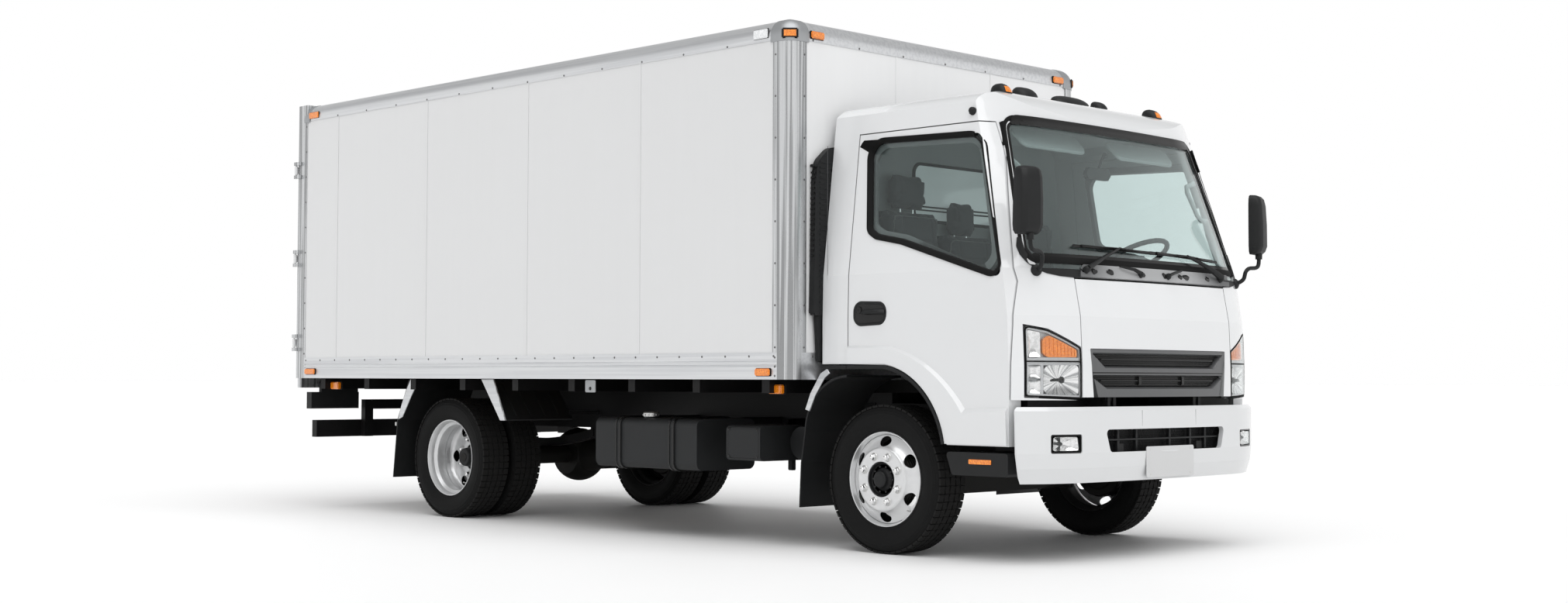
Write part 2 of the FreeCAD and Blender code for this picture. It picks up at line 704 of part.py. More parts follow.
lid_wall = 34.0
lid_shell = cab_outer.cut(cab_solid(lid_wall, 500)).common(lid_zone)
mouth = [(-603, lid_low - 40), (603, lid_low - 40), (628, 1088), (-628, 1088)]
keep("front_lid", lid_shell.cut(prism("yz", rounded(mouth, 6), 800, 1300)))
grille_body = cab_solid(4, 500).cut(cab_solid(44, 500)).common(
    prism("yz", [(-601, lid_low), (601, lid_low), (626, 1086), (-626, 1086)], 800, 1300))
for low, high, half_low, half_high in ((880, 935, 470, 500), (985, 1040, 520, 545)):
    slot = rounded([(-half_low, low), (half_low, low), (half_high, high), (-half_high, high)], 14)
    grille_body = grille_body.cut(prism("yz", slot, 800, 1300))
keep("grille", grille_body)

screen_zone = prism("yz", rounded(grown(screen_points, -seam_gap), screen_radii), 560, 1300)
glass_shell = cab_solid(glass_inset, 500).cut(cab_solid(glass_inset + glass_thick, 500))
keep("windscreen", glass_shell.common(screen_zone))

# ------------------------------------------------------------------ cab doors

flare_low = [(-376, cab_sill_z), (-376, 1121), (102, 1114), (461, 952, 618, 783), (888, 795), (892, 600),
             (492, 600), (322, 899, 80, 1009)]
flare_high = [(-376, cab_sill_z), (-376, 1096), (102, 1090), (440, 934, 604, 758), (887, 770), (892, 600),
              (492, 600), (322, 899, 80, 1009)]
door_glass_inset = 14.0
door_zone = prism("xz", door_outline, door_in_high, 2000).cut(
    block(-700, 1400, 0, door_in_low, 300, step_z))
window_zone = prism("xz", window, 700, 2000)
flare = Part.makeLoft([wire("xz", flare_low, cab_half - 8), wire("xz", flare_high, cab_half + arch_flare)],
                      True, True)
flare = flare.common(prism("xz", door_outline, door_in_high, 2000))
door = fused(cab_outer.cut(cab_solid(cab_wall, 300)).common(door_zone), flare).cut(window_zone)
side_glass = cab_solid(door_glass_inset, 300).cut(cab_solid(door_glass_inset + glass_thick, 300))
side_glass = side_glass.common(window_zone)
for label, body, glass in (("right", mirrored(door), mirrored(side_glass)), ("left", door, side_glass)):
    keep("cab_door_" + label, body)
    keep("door_glass_" + label, glass)

# ------------------------------------------------------------------ cab floor and inside

deck_half = cab_half - cab_wall - 7
riser_x = 460.0
well_half = cab_half - 91
well_front = 812.0
toe_half = corner_share * cab_half + 31.45
toe_top_half = corner_share * cab_half - 20.55
floor_rear = cab_rear + cab_wall
panel_thick = 35.0
floor_parts = [
    block(floor_rear, 500, -deck_half, deck_half, cab_floor_z - 40, cab_floor_z),
    block(floor_rear, toe_board_x, -tunnel_half, tunnel_half, tunnel_top - 40, tunnel_top),
    block(toe_board_x, corner_start, -toe_top_half, toe_top_half, tunnel_top - 40, 1340),
]
# Columns: x from, x to, y inner, y outer, z from, z to; one on each side of the cab
for x0, x1, y0, y1, z0, z1 in (
        (riser_x, toe_board_x, tunnel_half - panel_thick, tunnel_half, footwell_z, tunnel_top),
        (floor_rear, riser_x + 20, tunnel_half - panel_thick, tunnel_half, cab_floor_z - 40, tunnel_top),
        (riser_x, well_front, tunnel_half, well_half, footwell_z, footwell_z + 30),
        (well_front - 10, toe_board_x, tunnel_half, toe_half, footwell_z, footwell_z + 30),
        (riser_x, 500, tunnel_half, well_half, footwell_z, cab_floor_z),
        (toe_board_x, corner_start, tunnel_half - panel_thick, toe_half, footwell_z, tunnel_top),
        (toe_board_x, tilt_x + 22, ear_inner, ear_inner + 23, tilt_z - 45, tilt_z + 60)):
    floor_parts += pair(block(x0, x1, y0, y1, z0, z1))
cab_floor = fused(*floor_parts)
cab_floor = cab_floor.cut(block(floor_rear - 1, toe_board_x + 1, panel_thick - tunnel_half,
                                tunnel_half - panel_thick, 900, tunnel_top - 40))
for side in (-1, 1):
    pivot_in = (tilt_x, side * (ear_inner - 30), tilt_z)
    pivot_out = (tilt_x, side * (tunnel_half + 15), tilt_z)
    cab_floor = cab_floor.cut(rod(pivot_in, pivot_out, pivot_radius + running_gap))
keep("cab_floor", cab_floor)

dash_half = cab_half - 160
dash_outline = [(560, 1300), (620, 1210), (845, 1180), (845, 1455), (760, 1466), (600, 1414), (560, 1376)]

cushion_outline = rounded([(-200, 1152), (330, 1152), (330, 1330), (-200, 1290)], 30)
back_outline = rounded([(-220, 1290), (-110, 1270), (-190, 1880), (-300, 1880)], 25)
headrest_outline = rounded([(-296, 1900), (-210, 1900), (-216, 2080), (-290, 2080)], 18)
headrest_half = 130.0
seat_solids = []
for y0, y1 in ((250, 750), (-300, 150), (-770, -320)):
    middle = (y0 + y1) / 2
    seat = [prism("xz", cushion_outline, y0, y1), prism("xz", back_outline, y0 + 10, y1 - 10),
            prism("xz", headrest_outline, middle - headrest_half, middle + headrest_half),
            block(-200, 300, y0 + 40, y1 - 40, tunnel_top, tunnel_top + 10)]
    for y in (middle - 54, middle + 54):
        seat.append(block(-258, -244, y - 6, y + 6, 1860, 1920))
    if y1 > tunnel_half:
        seat.append(block(-200, 300, tunnel_half, y1 - 40, cab_floor_z, tunnel_top + 10))
    if y0 < -tunnel_half:
        seat.append(block(-200, 300, y0 + 40, -tunnel_half, cab_floor_z, tunnel_top + 10))
    seat_solids.append(fused(*seat))
keep("seats", *seat_solids)

wheel_centre = Vector(600, 500, 1525)
wheel_axis = Vector(-0.47, 0, 0.883)
wheel_axis.normalize()
wheel_ring = 205.0
wheel_parts = [Part.makeTorus(wheel_ring, 15, wheel_centre, wheel_axis),
               Part.makeCylinder(60, 40, wheel_centre - wheel_axis * 45, wheel_axis)]
for spoke_way in (Vector(0, 1, 0), Vector(0, -1, 0), wheel_axis.cross(Vector(0, 1, 0))):
    wheel_parts.append(rod(tuple(wheel_centre - wheel_axis * 20), tuple(wheel_centre + spoke_way * wheel_ring), 12))
keep("steering_wheel", fused(*wheel_parts))
column = rod(tuple(wheel_centre - wheel_axis * 50), tuple(wheel_centre - wheel_axis * 260), 38)
keep("dashboard", fused(prism("xz", dash_outline, -dash_half, dash_half), column))

# ------------------------------------------------------------------ mirrors, duct

mirror_in = cab_half - 87
mirror_out = cab_half + 53
mirror_low = 1649.0
mirror_high = 1973.0
mirrors = []
for side in (-1, 1):
    corners = [(side * mirror_in, mirror_low), (side * mirror_out, mirror_low), (side * mirror_out, mirror_high),
               (side * mirror_in, mirror_high)]
    elbow = (1023, side * (cab_half - 75), 1560)
    mirror = fused(prism("yz", rounded(corners, 25), 993, 1053),
                   rod((950, side * (cab_half - 185), 1470), elbow, 14),
                   rod(elbow, (1023, side * (cab_half - 25), mirror_low + 11), 14),
                   Part.makeCylinder(28, 40, Vector(945, side * (cab_half - 190), 1452)))
    mirrors.append(mirror.cut(cab_outer))
keep("mirrors", *mirrors)

duct_outline = rounded([(-1040, 1020), (-900, 1020), (-880, 2250), (-1000, 2250)], 20)
keep("air_intake", prism("yz", duct_outline, box_front + 7, cab_rear))

# ------------------------------------------------------------------ cargo box

inner_half = box_half - skin_lap - wall
wall_high = roof_top - 98
flange_low = roof_top - top_flange_drop
roof_low = roof_top - skin_lap - roof_thick
side_rear = box_rear + rear_post
side_front = box_front - corner_radius
side_half = box_half - corner_radius
floor_end = box_front - wall - skin_lap
corner_cut = 52.0
floor_plan = [(side_rear, -inner_half), (floor_end - corner_cut, -inner_half),
              (floor_end, -inner_half + corner_cut), (floor_end, inner_half - corner_cut),
              (floor_end - corner_cut, inner_half), (side_rear, inner_half)]
keep("cargo_floor", prism("xy", floor_plan, floor_top - floor_thick, floor_top))
side_wall = block(side_rear, side_front, inner_half, box_half - skin_lap, floor_top, wall_high)
front_wall = block(floor_end, box_front - skin_lap, -side_half, side_half, floor_top, wall_high)
keep("cargo_walls", *pair(side_wall), front_wall)
keep("cargo_roof", block(side_rear, side_front, -side_half, side_half, roof_low, roof_top - skin_lap))

# The outer face of a side rail has two grooves and a flange over the wall's skin.
groove = 3.0
low_rail = [(inner_half, rail_low), (box_half, rail_low), (box_half, 996), (box_half - groove, 998),
            (box_half - groove, 1004), (box_half, 1006), (box_half, 1016), (box_half - groove, 1018),
            (box_half - groove, 1024), (box_half, 1026), (box_half, low_flange_top),
            (box_half - skin_lap, low_flange_top), (box_half - skin_lap, floor_top), (inner_half, floor_top)]
front_low = [(floor_end, rail_low), (box_front, rail_low), (box_front, low_flange_top),
             (box_front - skin_lap, low_flange_top), (box_front - skin_lap, floor_top), (floor_end, floor_top)]
keep("lower_rails", *pair(prism("yz", low_rail, side_rear, side_front)),
     prism("xz", front_low, -side_half, side_half))

bulge = corner_radius * (1 - math.sqrt(0.5))


def top_section(face):
    """Section of a top rail whose outer face is at face."""
    return [(face - corner_radius, roof_low), (face - corner_radius, roof_top),
            (face - bulge, roof_top - bulge, face, roof_top - corner_radius), (face, flange_low),
            (face - skin_lap, flange_low), (face - skin_lap, wall_high), (face - skin_lap - wall, wall_high),
            (face - skin_lap - wall, roof_low)]


keep("top_rails", *pair(prism("yz", top_section(box_half), side_rear, side_front)),
     prism("xz", top_section(box_front), -side_half + 1, side_half - 1))

post_plan = [(side_front, box_half), (box_front - bulge, box_half - bulge, box_front, side_half),
             (box_front - wall, side_half), (side_front, box_half - wall)]
ball = Part.makeSphere(corner_radius, Vector(side_front, side_half, roof_top - corner_radius))
ball = ball.common(block(side_front, box_front, side_half, box_half, roof_top - corner_radius, roof_top))
post = fused(prism("xy", post_plan, rail_low, roof_top - corner_radius), ball,
             block(side_front - post_flange, side_front, box_half - skin_lap, box_half, low_flange_top, flange_low),
             block(box_front - skin_lap, box_front, side_half - post_flange, side_half, low_flange_top, flange_low))
keep("corner_posts", *pair(post))

post_y = box_half - door_post
door_top = roof_top - door_head
hinge_heights = (floor_top + 135, floor_top + 745, roof_top - 468)
hinge_y = box_half + hinge_out
hinge_x = box_rear - hinge_back
knuckle_radius = 12.0
strap_half_height = 25.0
lug_low = 35.0
lug_high = 60.0
rear_frame = block(box_rear, side_rear, -box_half, box_half, rail_low, roof_top)
rear_frame = rear_frame.cut(block(box_rear - 10, side_rear + 10, -post_y, post_y, floor_top, door_top))
frame_extras = [block(box_rear + 8, box_rear + 60, 10 - box_half, box_half - 10, rail_low - 69, rail_low)]
for side in (-1, 1):
    for z in hinge_heights:
        for low, high in ((z - lug_high, z - lug_low), (z + lug_low, z + lug_high)):
            frame_extras.append(block(hinge_x - knuckle_radius, box_rear + 40, side * box_half,
                                      side * (hinge_y + knuckle_radius), low, high))
        frame_extras.append(rod((hinge_x, side * hinge_y, z - lug_high), (hinge_x, side * hinge_y, z + lug_high),
                                hinge_pin))
keep("rear_frame", fused(rear_frame, frame_extras))


def cargo_door(side):
    """Panel with straps that reach back over the post to the hinge pins."""
    edge = side * (post_y - panel_gap)
    parts = [block(box_rear, box_rear + door_thickness, side * seam_gap, edge, floor_top + joint_gap,
                   door_top - joint_gap)]
    for z in hinge_heights:
        low = z - strap_half_height
        high = z + strap_half_height
        parts.append(block(box_rear - 16, box_rear, side * (post_y - 300), edge, low, high))
        parts.append(block(box_rear - 16, box_rear - 7, edge - 2 * side, side * hinge_y, low, high))
        parts.append(rod((hinge_x, side * hinge_y, z - 30), (hinge_x, side * hinge_y, z + 30), knuckle_radius))
    panel = fused(*parts)
    for z in hinge_heights:
        panel = panel.cut(rod((hinge_x, side * hinge_y, z - 70), (hinge_x, side * hinge_y, z + 70),
                              hinge_pin + running_gap))
    return panel


def lock_bars(side):
    """Two round bars in their keepers, each with its handle."""
    bars = []
    for y in (170, 900):
        parts = [rod((box_rear - 32, side * y, floor_top - 95), (box_rear - 32, side * y, roof_top - 33), 13)]
        for z in (floor_top + 65, floor_top + 455, floor_top + 905, roof_top - 498, roof_top - 158):
            parts.append(block(box_rear - 46, box_rear, side * y - 24, side * y + 24, z - 16, z + 16))
        parts.append(block(box_rear - 44, box_rear - 30, side * y, side * (y + 260), 1380, 1412))
        bars.append(fused(*parts))
    return bars


for label, side in (("right", -1), ("left", 1)):
    keep("cargo_door_" + label, cargo_door(side))
    keep("lock_bars_" + label, *lock_bars(side))

# ------------------------------------------------------------------ export

everything = Part.makeCompound([solid for solids in nodes.values() for solid in solids])
bounds = everything.optimalBoundingBox(False)
shift = -(bounds.XMin + bounds.XMax) / 2
print("shift", round(shift, 3), "size", round(bounds.XLength, 1), round(bounds.YLength, 1),
      round(bounds.ZLength, 1))
os.makedirs("parts", exist_ok=True)
for name, solids in nodes.items():
    shape = solids[0].copy() if len(solids) == 1 else Part.makeCompound(solids)
    shape.translate(Vector(shift, 0, 0))
    shape.exportStep("parts/" + name + ".step")
    print(name, len(solids), all(solid.isValid() for solid in solids), round(shape.Volume / 1e6, 2))
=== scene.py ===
import bpy
import bmesh
import json
import math
from mathutils import Matrix, Vector
from mathutils.bvhtree import BVHTree

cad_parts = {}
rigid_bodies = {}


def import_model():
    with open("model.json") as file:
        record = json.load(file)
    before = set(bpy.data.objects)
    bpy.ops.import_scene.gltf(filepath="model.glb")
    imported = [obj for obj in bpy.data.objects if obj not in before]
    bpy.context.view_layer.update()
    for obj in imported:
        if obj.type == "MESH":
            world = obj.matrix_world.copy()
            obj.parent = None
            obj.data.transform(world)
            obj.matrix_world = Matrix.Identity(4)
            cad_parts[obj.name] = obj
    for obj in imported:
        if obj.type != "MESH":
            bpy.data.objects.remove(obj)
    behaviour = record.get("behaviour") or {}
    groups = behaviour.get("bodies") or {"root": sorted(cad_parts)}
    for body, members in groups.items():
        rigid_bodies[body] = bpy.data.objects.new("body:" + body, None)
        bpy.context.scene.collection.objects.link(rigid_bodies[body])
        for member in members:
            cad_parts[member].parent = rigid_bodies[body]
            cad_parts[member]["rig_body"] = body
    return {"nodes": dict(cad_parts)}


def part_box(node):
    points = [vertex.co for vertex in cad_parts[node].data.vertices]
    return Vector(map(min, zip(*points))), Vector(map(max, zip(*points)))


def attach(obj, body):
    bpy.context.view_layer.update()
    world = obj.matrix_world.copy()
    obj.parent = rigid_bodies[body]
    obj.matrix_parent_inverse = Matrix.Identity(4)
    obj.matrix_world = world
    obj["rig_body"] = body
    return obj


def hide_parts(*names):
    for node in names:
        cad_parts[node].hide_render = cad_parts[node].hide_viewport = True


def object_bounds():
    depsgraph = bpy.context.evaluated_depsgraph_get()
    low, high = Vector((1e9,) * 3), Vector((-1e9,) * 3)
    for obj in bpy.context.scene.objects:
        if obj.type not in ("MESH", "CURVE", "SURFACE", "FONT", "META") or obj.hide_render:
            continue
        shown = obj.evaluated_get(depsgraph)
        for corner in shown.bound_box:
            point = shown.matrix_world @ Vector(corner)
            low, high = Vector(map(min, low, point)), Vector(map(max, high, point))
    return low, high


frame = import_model()
cadLow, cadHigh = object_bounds()
cadNodes = frame["nodes"]
fullTurn = 2 * math.pi

# Lengths are metres, x from the front axle, y to the left, z from the ground.
wheelLow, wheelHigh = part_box("front_wheel_right")
axleX = (wheelLow.x + wheelHigh.x) / 2
# The height of the axles is also the tyre's radius.
axleZ = 0.397


def at(x, y, z):
    return Vector((x + axleX, y, z))


forwards, backward = Vector((1, 0, 0)), Vector((-1, 0, 0))
sides = ((-1, "right"), (1, "left"))


def onBothSides(build, stage):
    for side, word in sides:
        build(side, word)
    print(stage)


# ---- shader maths

class Link:
    # a socket that can be used in a Python expression
    def __init__(self, shade, socket):
        self.shade = shade
        self.socket = socket

    def math(self, operation, *values, clamp=False):
        return self.shade.node("ShaderNodeMath", {"operation": operation, "use_clamp": clamp}, [self, *values])

    def flipped(self, operation, first):
        return self.shade.node("ShaderNodeMath", {"operation": operation}, [first, self])

    def __add__(self, other): return self.math("ADD", other)
    def __radd__(self, other): return self.flipped("ADD", other)
    def __sub__(self, other): return self.math("SUBTRACT", other)
    def __rsub__(self, other): return self.flipped("SUBTRACT", other)
    def __mul__(self, other): return self.math("MULTIPLY", other)
    def __rmul__(self, other): return self.flipped("MULTIPLY", other)
    def __truediv__(self, other): return self.math("DIVIDE", other)
    def __rtruediv__(self, other): return self.flipped("DIVIDE", other)
    def __pow__(self, other): return self.math("POWER", other)
    def __gt__(self, other): return self.math("GREATER_THAN", other)
    def __lt__(self, other): return self.math("LESS_THAN", other)

    def held(self):
        return self.math("ADD", 0.0, clamp=True)


class Shade:
    # one material's tree, ready with its surface shader
    def __init__(self, name):
        self.material = bpy.data.materials.new(name)
        self.material.use_nodes = True
        self.tree = self.material.node_tree
        self.tree.nodes.clear()
        self.output = self.tree.nodes.new("ShaderNodeOutputMaterial")
        self.surface = self.tree.nodes.new("ShaderNodeBsdfPrincipled")
        self.tree.links.new(self.surface.outputs["BSDF"], self.output.inputs["Surface"])
        self.place = self.tree.nodes.new("ShaderNodeTexCoord")

    def node(self, kind, settings=None, values=None, out=0):
        made = self.tree.nodes.new(kind)
        for key, value in (settings or {}).items():
            if key == "stops":
                elements = made.color_ramp.elements
                while len(elements) < len(value):
                    elements.new(0.5)
                for element, (position, colour) in zip(elements, value):
                    element.position = position
                    element.color = colour
            else:
                setattr(made, key, value)
        pairs = values.items() if isinstance(values, dict) else enumerate(values or [])
        for key, value in pairs:
            if isinstance(value, Link):
                self.tree.links.new(value.socket, made.inputs[key])
            elif value is not None:
                made.inputs[key].default_value = value
        return Link(self, made.outputs[out])

    def put(self, values):
        # sets or links sockets of the surface shader by their names
        for key, value in values.items():
            if isinstance(value, Link):
                self.tree.links.new(value.socket, self.surface.inputs[key])
            else:
                self.surface.inputs[key].default_value = value
        return self.material

    def coords(self, centre=(0, 0, 0), scale=(1, 1, 1)):
        # object coordinates about a centre, stretched by a scale
        shift = [-c * s for c, s in zip(centre, scale)]
        place = Link(self, self.place.outputs["Object"])
        return self.node("ShaderNodeMapping", {}, {"Vector": place, "Location": shift, "Scale": scale})

    def axes(self, centre=(0, 0, 0), scale=(1, 1, 1)):
        first = self.node("ShaderNodeSeparateXYZ", {}, [self.coords(centre, scale)])
        outputs = first.socket.node.outputs
        return first, Link(self, outputs[1]), Link(self, outputs[2])

    def noise(self, size, detail=3.0, scale=(1, 1, 1), rough=0.55):
        values = {"Vector": self.coords(scale=scale), "Scale": 1 / size, "Detail": detail, "Roughness": rough}
        return self.node("ShaderNodeTexNoise", {}, values)

    def ramp(self, amount, low, high):
        # 0 below low, 1 above high, smooth between
        settings = {"interpolation_type": "SMOOTHSTEP"}
        return self.node("ShaderNodeMapRange", settings, {0: amount, 1: low, 2: high, 3: 0.0, 4: 1.0})

    def blend(self, amount, first, second):
        return self.node("ShaderNodeMix", {"data_type": "RGBA"}, {0: amount, 6: first, 7: second}, out=2)

    def bump(self, height, depth, strength=1.0, over=None):
        values = {"Strength": strength, "Distance": depth, "Height": height, "Normal": over}
        return self.node("ShaderNodeBump", {}, values)

    def facing(self, centre):
        # 1 on faces that look towards a centre, which are the inner faces of a shell round it
        towards = self.node("ShaderNodeVectorMath", {"operation": "SUBTRACT"}, [tuple(centre), self.coords()])
        normal = Link(self, self.place.outputs["Normal"])
        return self.node("ShaderNodeVectorMath", {"operation": "DOT_PRODUCT"}, [normal, towards], out=1) > 0.02


def rgb(red, green=None, blue=None):
    return (red, red if green is None else green, red if blue is None else blue, 1.0)


# ---- materials

def paint(name, colour, grime, roughness, coat, peel=0.00015, lining=None):
    # sprayed paint: faint mottling, a fine orange peel and road dust towards the ground
    shade = Shade(name)
    height = shade.axes()[2]
    mottle = shade.noise(0.6, 4.0)
    low = ((0.9 - height) * 1.3).held()
    dust = (low * shade.noise(0.15, 6.0, (1, 1, 0.4)) * 0.35 + mottle * 0.12).held()
    base = shade.blend(dust, colour, grime)
    rough = roughness + dust * 0.2
    shine = coat
    if lining is not None:
        if "centre" in lining:
            inside = shade.facing(lining["centre"])
        else:
            along, across, _ = shade.axes((lining["behind"], 0, 0))
            inside = (along < 0.0) * (across * across < lining["half"] ** 2)
        base = shade.blend(inside, base, shade.blend(shade.noise(0.004, 2.0), lining["dark"], lining["light"]))
        rough = rough * (1 - inside) + inside * 0.75
        shine = (1 - inside) * coat
    return shade.put({"Base Color": base, "Roughness": rough, "Coat Weight": shine, "Coat Roughness": 0.05,
                      "Normal": shade.bump(shade.noise(0.007, 1.0), peel, 0.4)})


def panelPaint(name, colour, grime, front):
    # the box's flat panels: gloss resin sheet with faint runs of dust down the wall; the front wall is painted a
    # lighter white than the sides, painted light for the light that falls on it from the front
    shade = Shade(name)
    along, _, height = shade.axes(at(-0.46, 0, 0))
    runs = shade.noise(0.05, 5.0, (1, 1, 0.04))
    cloud = shade.noise(0.9, 3.0)
    top = shade.ramp(height, 1.6, 2.9) * 0.06
    dust = (runs * 0.1 + cloud * 0.1 + top).held()
    # painted light: the front wall takes the lighter colour
    base = shade.blend(dust, shade.blend(along > 0.0, colour, front), grime)
    return shade.put({"Base Color": base, "Roughness": 0.3 + dust * 0.4, "Coat Weight": 0.3, "Coat Roughness": 0.12,
                      "Normal": shade.bump(shade.noise(0.25, 2.0), 0.0008, 0.35)})


def brushed(name, colour, tone, roughness, metallic, along, streaks=0.4):
    # drawn metal with long fine lines; along is the stretch of the lines on each axis
    shade = Shade(name)
    lines = shade.noise(0.0035, 3.0, along)
    broad = shade.ramp(shade.noise(0.02, 2.0, along), 0.42, 0.62)
    worn = shade.noise(0.05, 5.0)
    base = shade.blend((lines * 0.35 + broad * streaks).held(), colour, tone)
    return shade.put({"Base Color": base, "Metallic": metallic, "Roughness": roughness + lines * 0.1 + worn * 0.08,
                      "Normal": shade.bump(lines, 0.00008, 0.5)})


def cowlMetal(name, bright, dull):
    # satin panel painted lighter in its middle and darker towards its ends, a painted reflection
    shade = Shade(name)
    across = shade.axes()[1]
    # painted reflection: bright in the middle, dull at the ends
    ends = shade.ramp((across * across) ** 0.5, 0.25, 0.75)
    grain = shade.noise(0.003, 4.0)
    return shade.put({"Base Color": shade.blend(ends, bright, dull), "Roughness": 0.3 + grain * 0.1, "Metallic": 0.2,
                      "Normal": shade.bump(grain, 0.0001, 0.4)})


def cast(name, colour, tone, roughness, metallic, grain, depth, gloss=0.5):
    # a cast or moulded face with a fine all-over grain
    shade = Shade(name)
    pits = shade.noise(grain, 4.0, rough=0.7)
    cloud = shade.noise(grain * 40, 4.0)
    base = shade.blend((cloud * 0.7 + pits * 0.3).held(), colour, tone)
    return shade.put({"Base Color": base, "Metallic": metallic, "Roughness": roughness + cloud * 0.12,
                      "Specular IOR Level": gloss, "Normal": shade.bump(pits, depth, 0.6)})


def chassisPaint(name, colour, dustColour):
    # black frame paint with dust that gathers on upward faces and near the ground
    shade = Shade(name)
    height = shade.axes()[2]
    normal = shade.node("ShaderNodeSeparateXYZ", {}, [Link(shade, shade.place.outputs["Normal"])])
    up = Link(shade, normal.socket.node.outputs[2]).held()
    speck = shade.noise(0.012, 6.0, rough=0.75)
    cloud = shade.noise(0.2, 5.0)
    dust = (up * 0.35 + ((0.7 - height) * 0.4).held() + cloud * 0.4 - 0.2).held() * speck
    base = shade.blend(dust, colour, dustColour)
    return shade.put({"Base Color": base, "Roughness": 0.42 + dust * 0.5, "Specular IOR Level": 0.16,
                      "Normal": shade.bump(speck, 0.0005, 0.4)})


def wheelPaint(name, colour, tone, dark, inner, metal=0.6):
    # silver wheel paint outside; the hidden inner side of the barrel is painted dull and near-black, painted shade for
    # the dark it sits in
    shade = Shade(name)
    across = shade.axes()[1]
    # painted shade: near-black and dull across the barrel's inner side
    behind = shade.ramp((across * across) ** 0.5, inner + 0.012, inner)
    cloud = shade.noise(0.08, 4.0)
    speck = shade.noise(0.004, 4.0, rough=0.7)
    base = shade.blend((cloud * 0.6 + speck * 0.3).held(), colour, tone)
    return shade.put({"Base Color": shade.blend(behind, base, dark), "Metallic": (1 - behind) * metal,
                      "Roughness": 0.26 + cloud * 0.12 + behind * 0.4, "Normal": shade.bump(speck, 0.00005, 0.5)})


def rubber(name, colour, dustColour, centre=None):
    # tyre rubber: fine moulded rings round the wheel's axis and a dusty tread
    shade = Shade(name)
    fine = shade.noise(0.006, 4.0)
    cloud = shade.noise(0.12, 5.0)
    height = fine
    dust = cloud * 0.5
    if centre is not None:
        across, _, up = shade.axes(centre)
        radius = (across * across + up * up) ** 0.5
        rings = (radius * 900.0).math("SINE")
        height = fine * 0.6 + rings * 0.4
        dust = cloud * 0.3 + shade.ramp(radius, 0.37, axleZ) * 0.45
    base = shade.blend(dust.held() * 0.6, colour, dustColour)
    return shade.put({"Base Color": base, "Roughness": 0.62 + dust * 0.25, "Specular IOR Level": 0.1,
                      "Normal": shade.bump(height, 0.0004, 0.5)})


def glazing(name, tint, film):
    # tinted glass: clear straight through, with a mirror film that grows at grazing angles
    shade = Shade(name)
    smear = shade.noise(0.3, 4.0, (1, 1, 0.3))
    shade.put({"Base Color": rgb(0.9, 0.95, 0.95), "Metallic": 1.0, "Roughness": 0.015 + smear * 0.02})
    clear = shade.node("ShaderNodeBsdfTransparent", {}, [tint])
    edge = shade.node("ShaderNodeLayerWeight", {}, [0.5], out=1)
    mixed = shade.node("ShaderNodeMixShader", {}, {0: (edge ** 5.0 + smear * 0.02 + film).held()})
    shade.tree.links.new(clear.socket, mixed.socket.node.inputs[1])
    shade.tree.links.new(shade.surface.outputs["BSDF"], mixed.socket.node.inputs[2])
    shade.tree.links.new(mixed.socket, shade.output.inputs["Surface"])
    return shade.material


def streaked(name, bright, dull, centre, spokes):
    # a lamp bowl: polished metal with bright and dark rays painted into its colour round its bulb, painted reflections
    # standing in for facets; the same rays bump its normal
    shade = Shade(name)
    _, across, up = shade.axes((0, 0, centre[1]))
    away = (across * across) ** 0.5 - centre[0]
    turn = up.math("ARCTAN2", away)
    rays = shade.node("ShaderNodeCombineXYZ", {}, {0: turn * spokes, 1: 0.0, 2: 0.0})
    pattern = shade.node("ShaderNodeTexNoise", {}, {"Vector": rays, "Scale": 1.0, "Detail": 3.0, "Roughness": 0.6})
    # painted reflections: the rays choose between the bright and the dull colour
    share = shade.ramp(pattern, 0.42, 0.6)
    return shade.put({"Base Color": shade.blend(share, bright, dull), "Metallic": 1.0, "Roughness": 0.08 + share * 0.08,
                      "Normal": shade.bump(pattern, 0.002, 0.5)})


def lens(name, deep, bright, cell, glow=0.0):
    # a ribbed lamp lens, lit a little from behind so that its colour reads
    shade = Shade(name)
    prisms = shade.node("ShaderNodeTexVoronoi", {}, {"Vector": shade.coords(), "Scale": 1 / cell})
    base = shade.blend((prisms * 1.2).held(), deep, bright)
    shade.put({"Base Color": base, "Roughness": 0.12 + prisms * 0.1, "Coat Weight": 1.0, "Coat Roughness": 0.03,
               "Normal": shade.bump(prisms, 0.001, 0.5)})
    if glow:
        shade.put({"Emission Color": base, "Emission Strength": glow})
    return shade.material


def fabric(name, dark, light, thread):
    # woven cloth from two crossing sets of threads
    shade = Shade(name)
    first, second, third = shade.axes()
    warp = ((first + third) * (fullTurn / thread)).math("SINE")
    weft = (second * (fullTurn / thread)).math("SINE")
    weave = warp * weft * 0.5 + 0.5
    cloud = shade.noise(0.08, 4.0)
    base = shade.blend((weave * 0.6 + cloud * 0.4).held(), dark, light)
    return shade.put({"Base Color": base, "Roughness": 0.8 + cloud * 0.15, "Sheen Weight": 0.1,
                      "Normal": shade.bump(weave, 0.0001, 0.15)})


def plywood(name, dark, light):
    shade = Shade(name)
    grain = shade.noise(0.03, 6.0, (0.08, 1, 1))
    grip = shade.node("ShaderNodeTexVoronoi", {}, {"Vector": shade.coords(), "Scale": 160.0})
    return shade.put({"Base Color": shade.blend(grain, dark, light), "Roughness": 0.55 + grain * 0.2,
                      "Normal": shade.bump(grip, 0.0006, 0.6)})


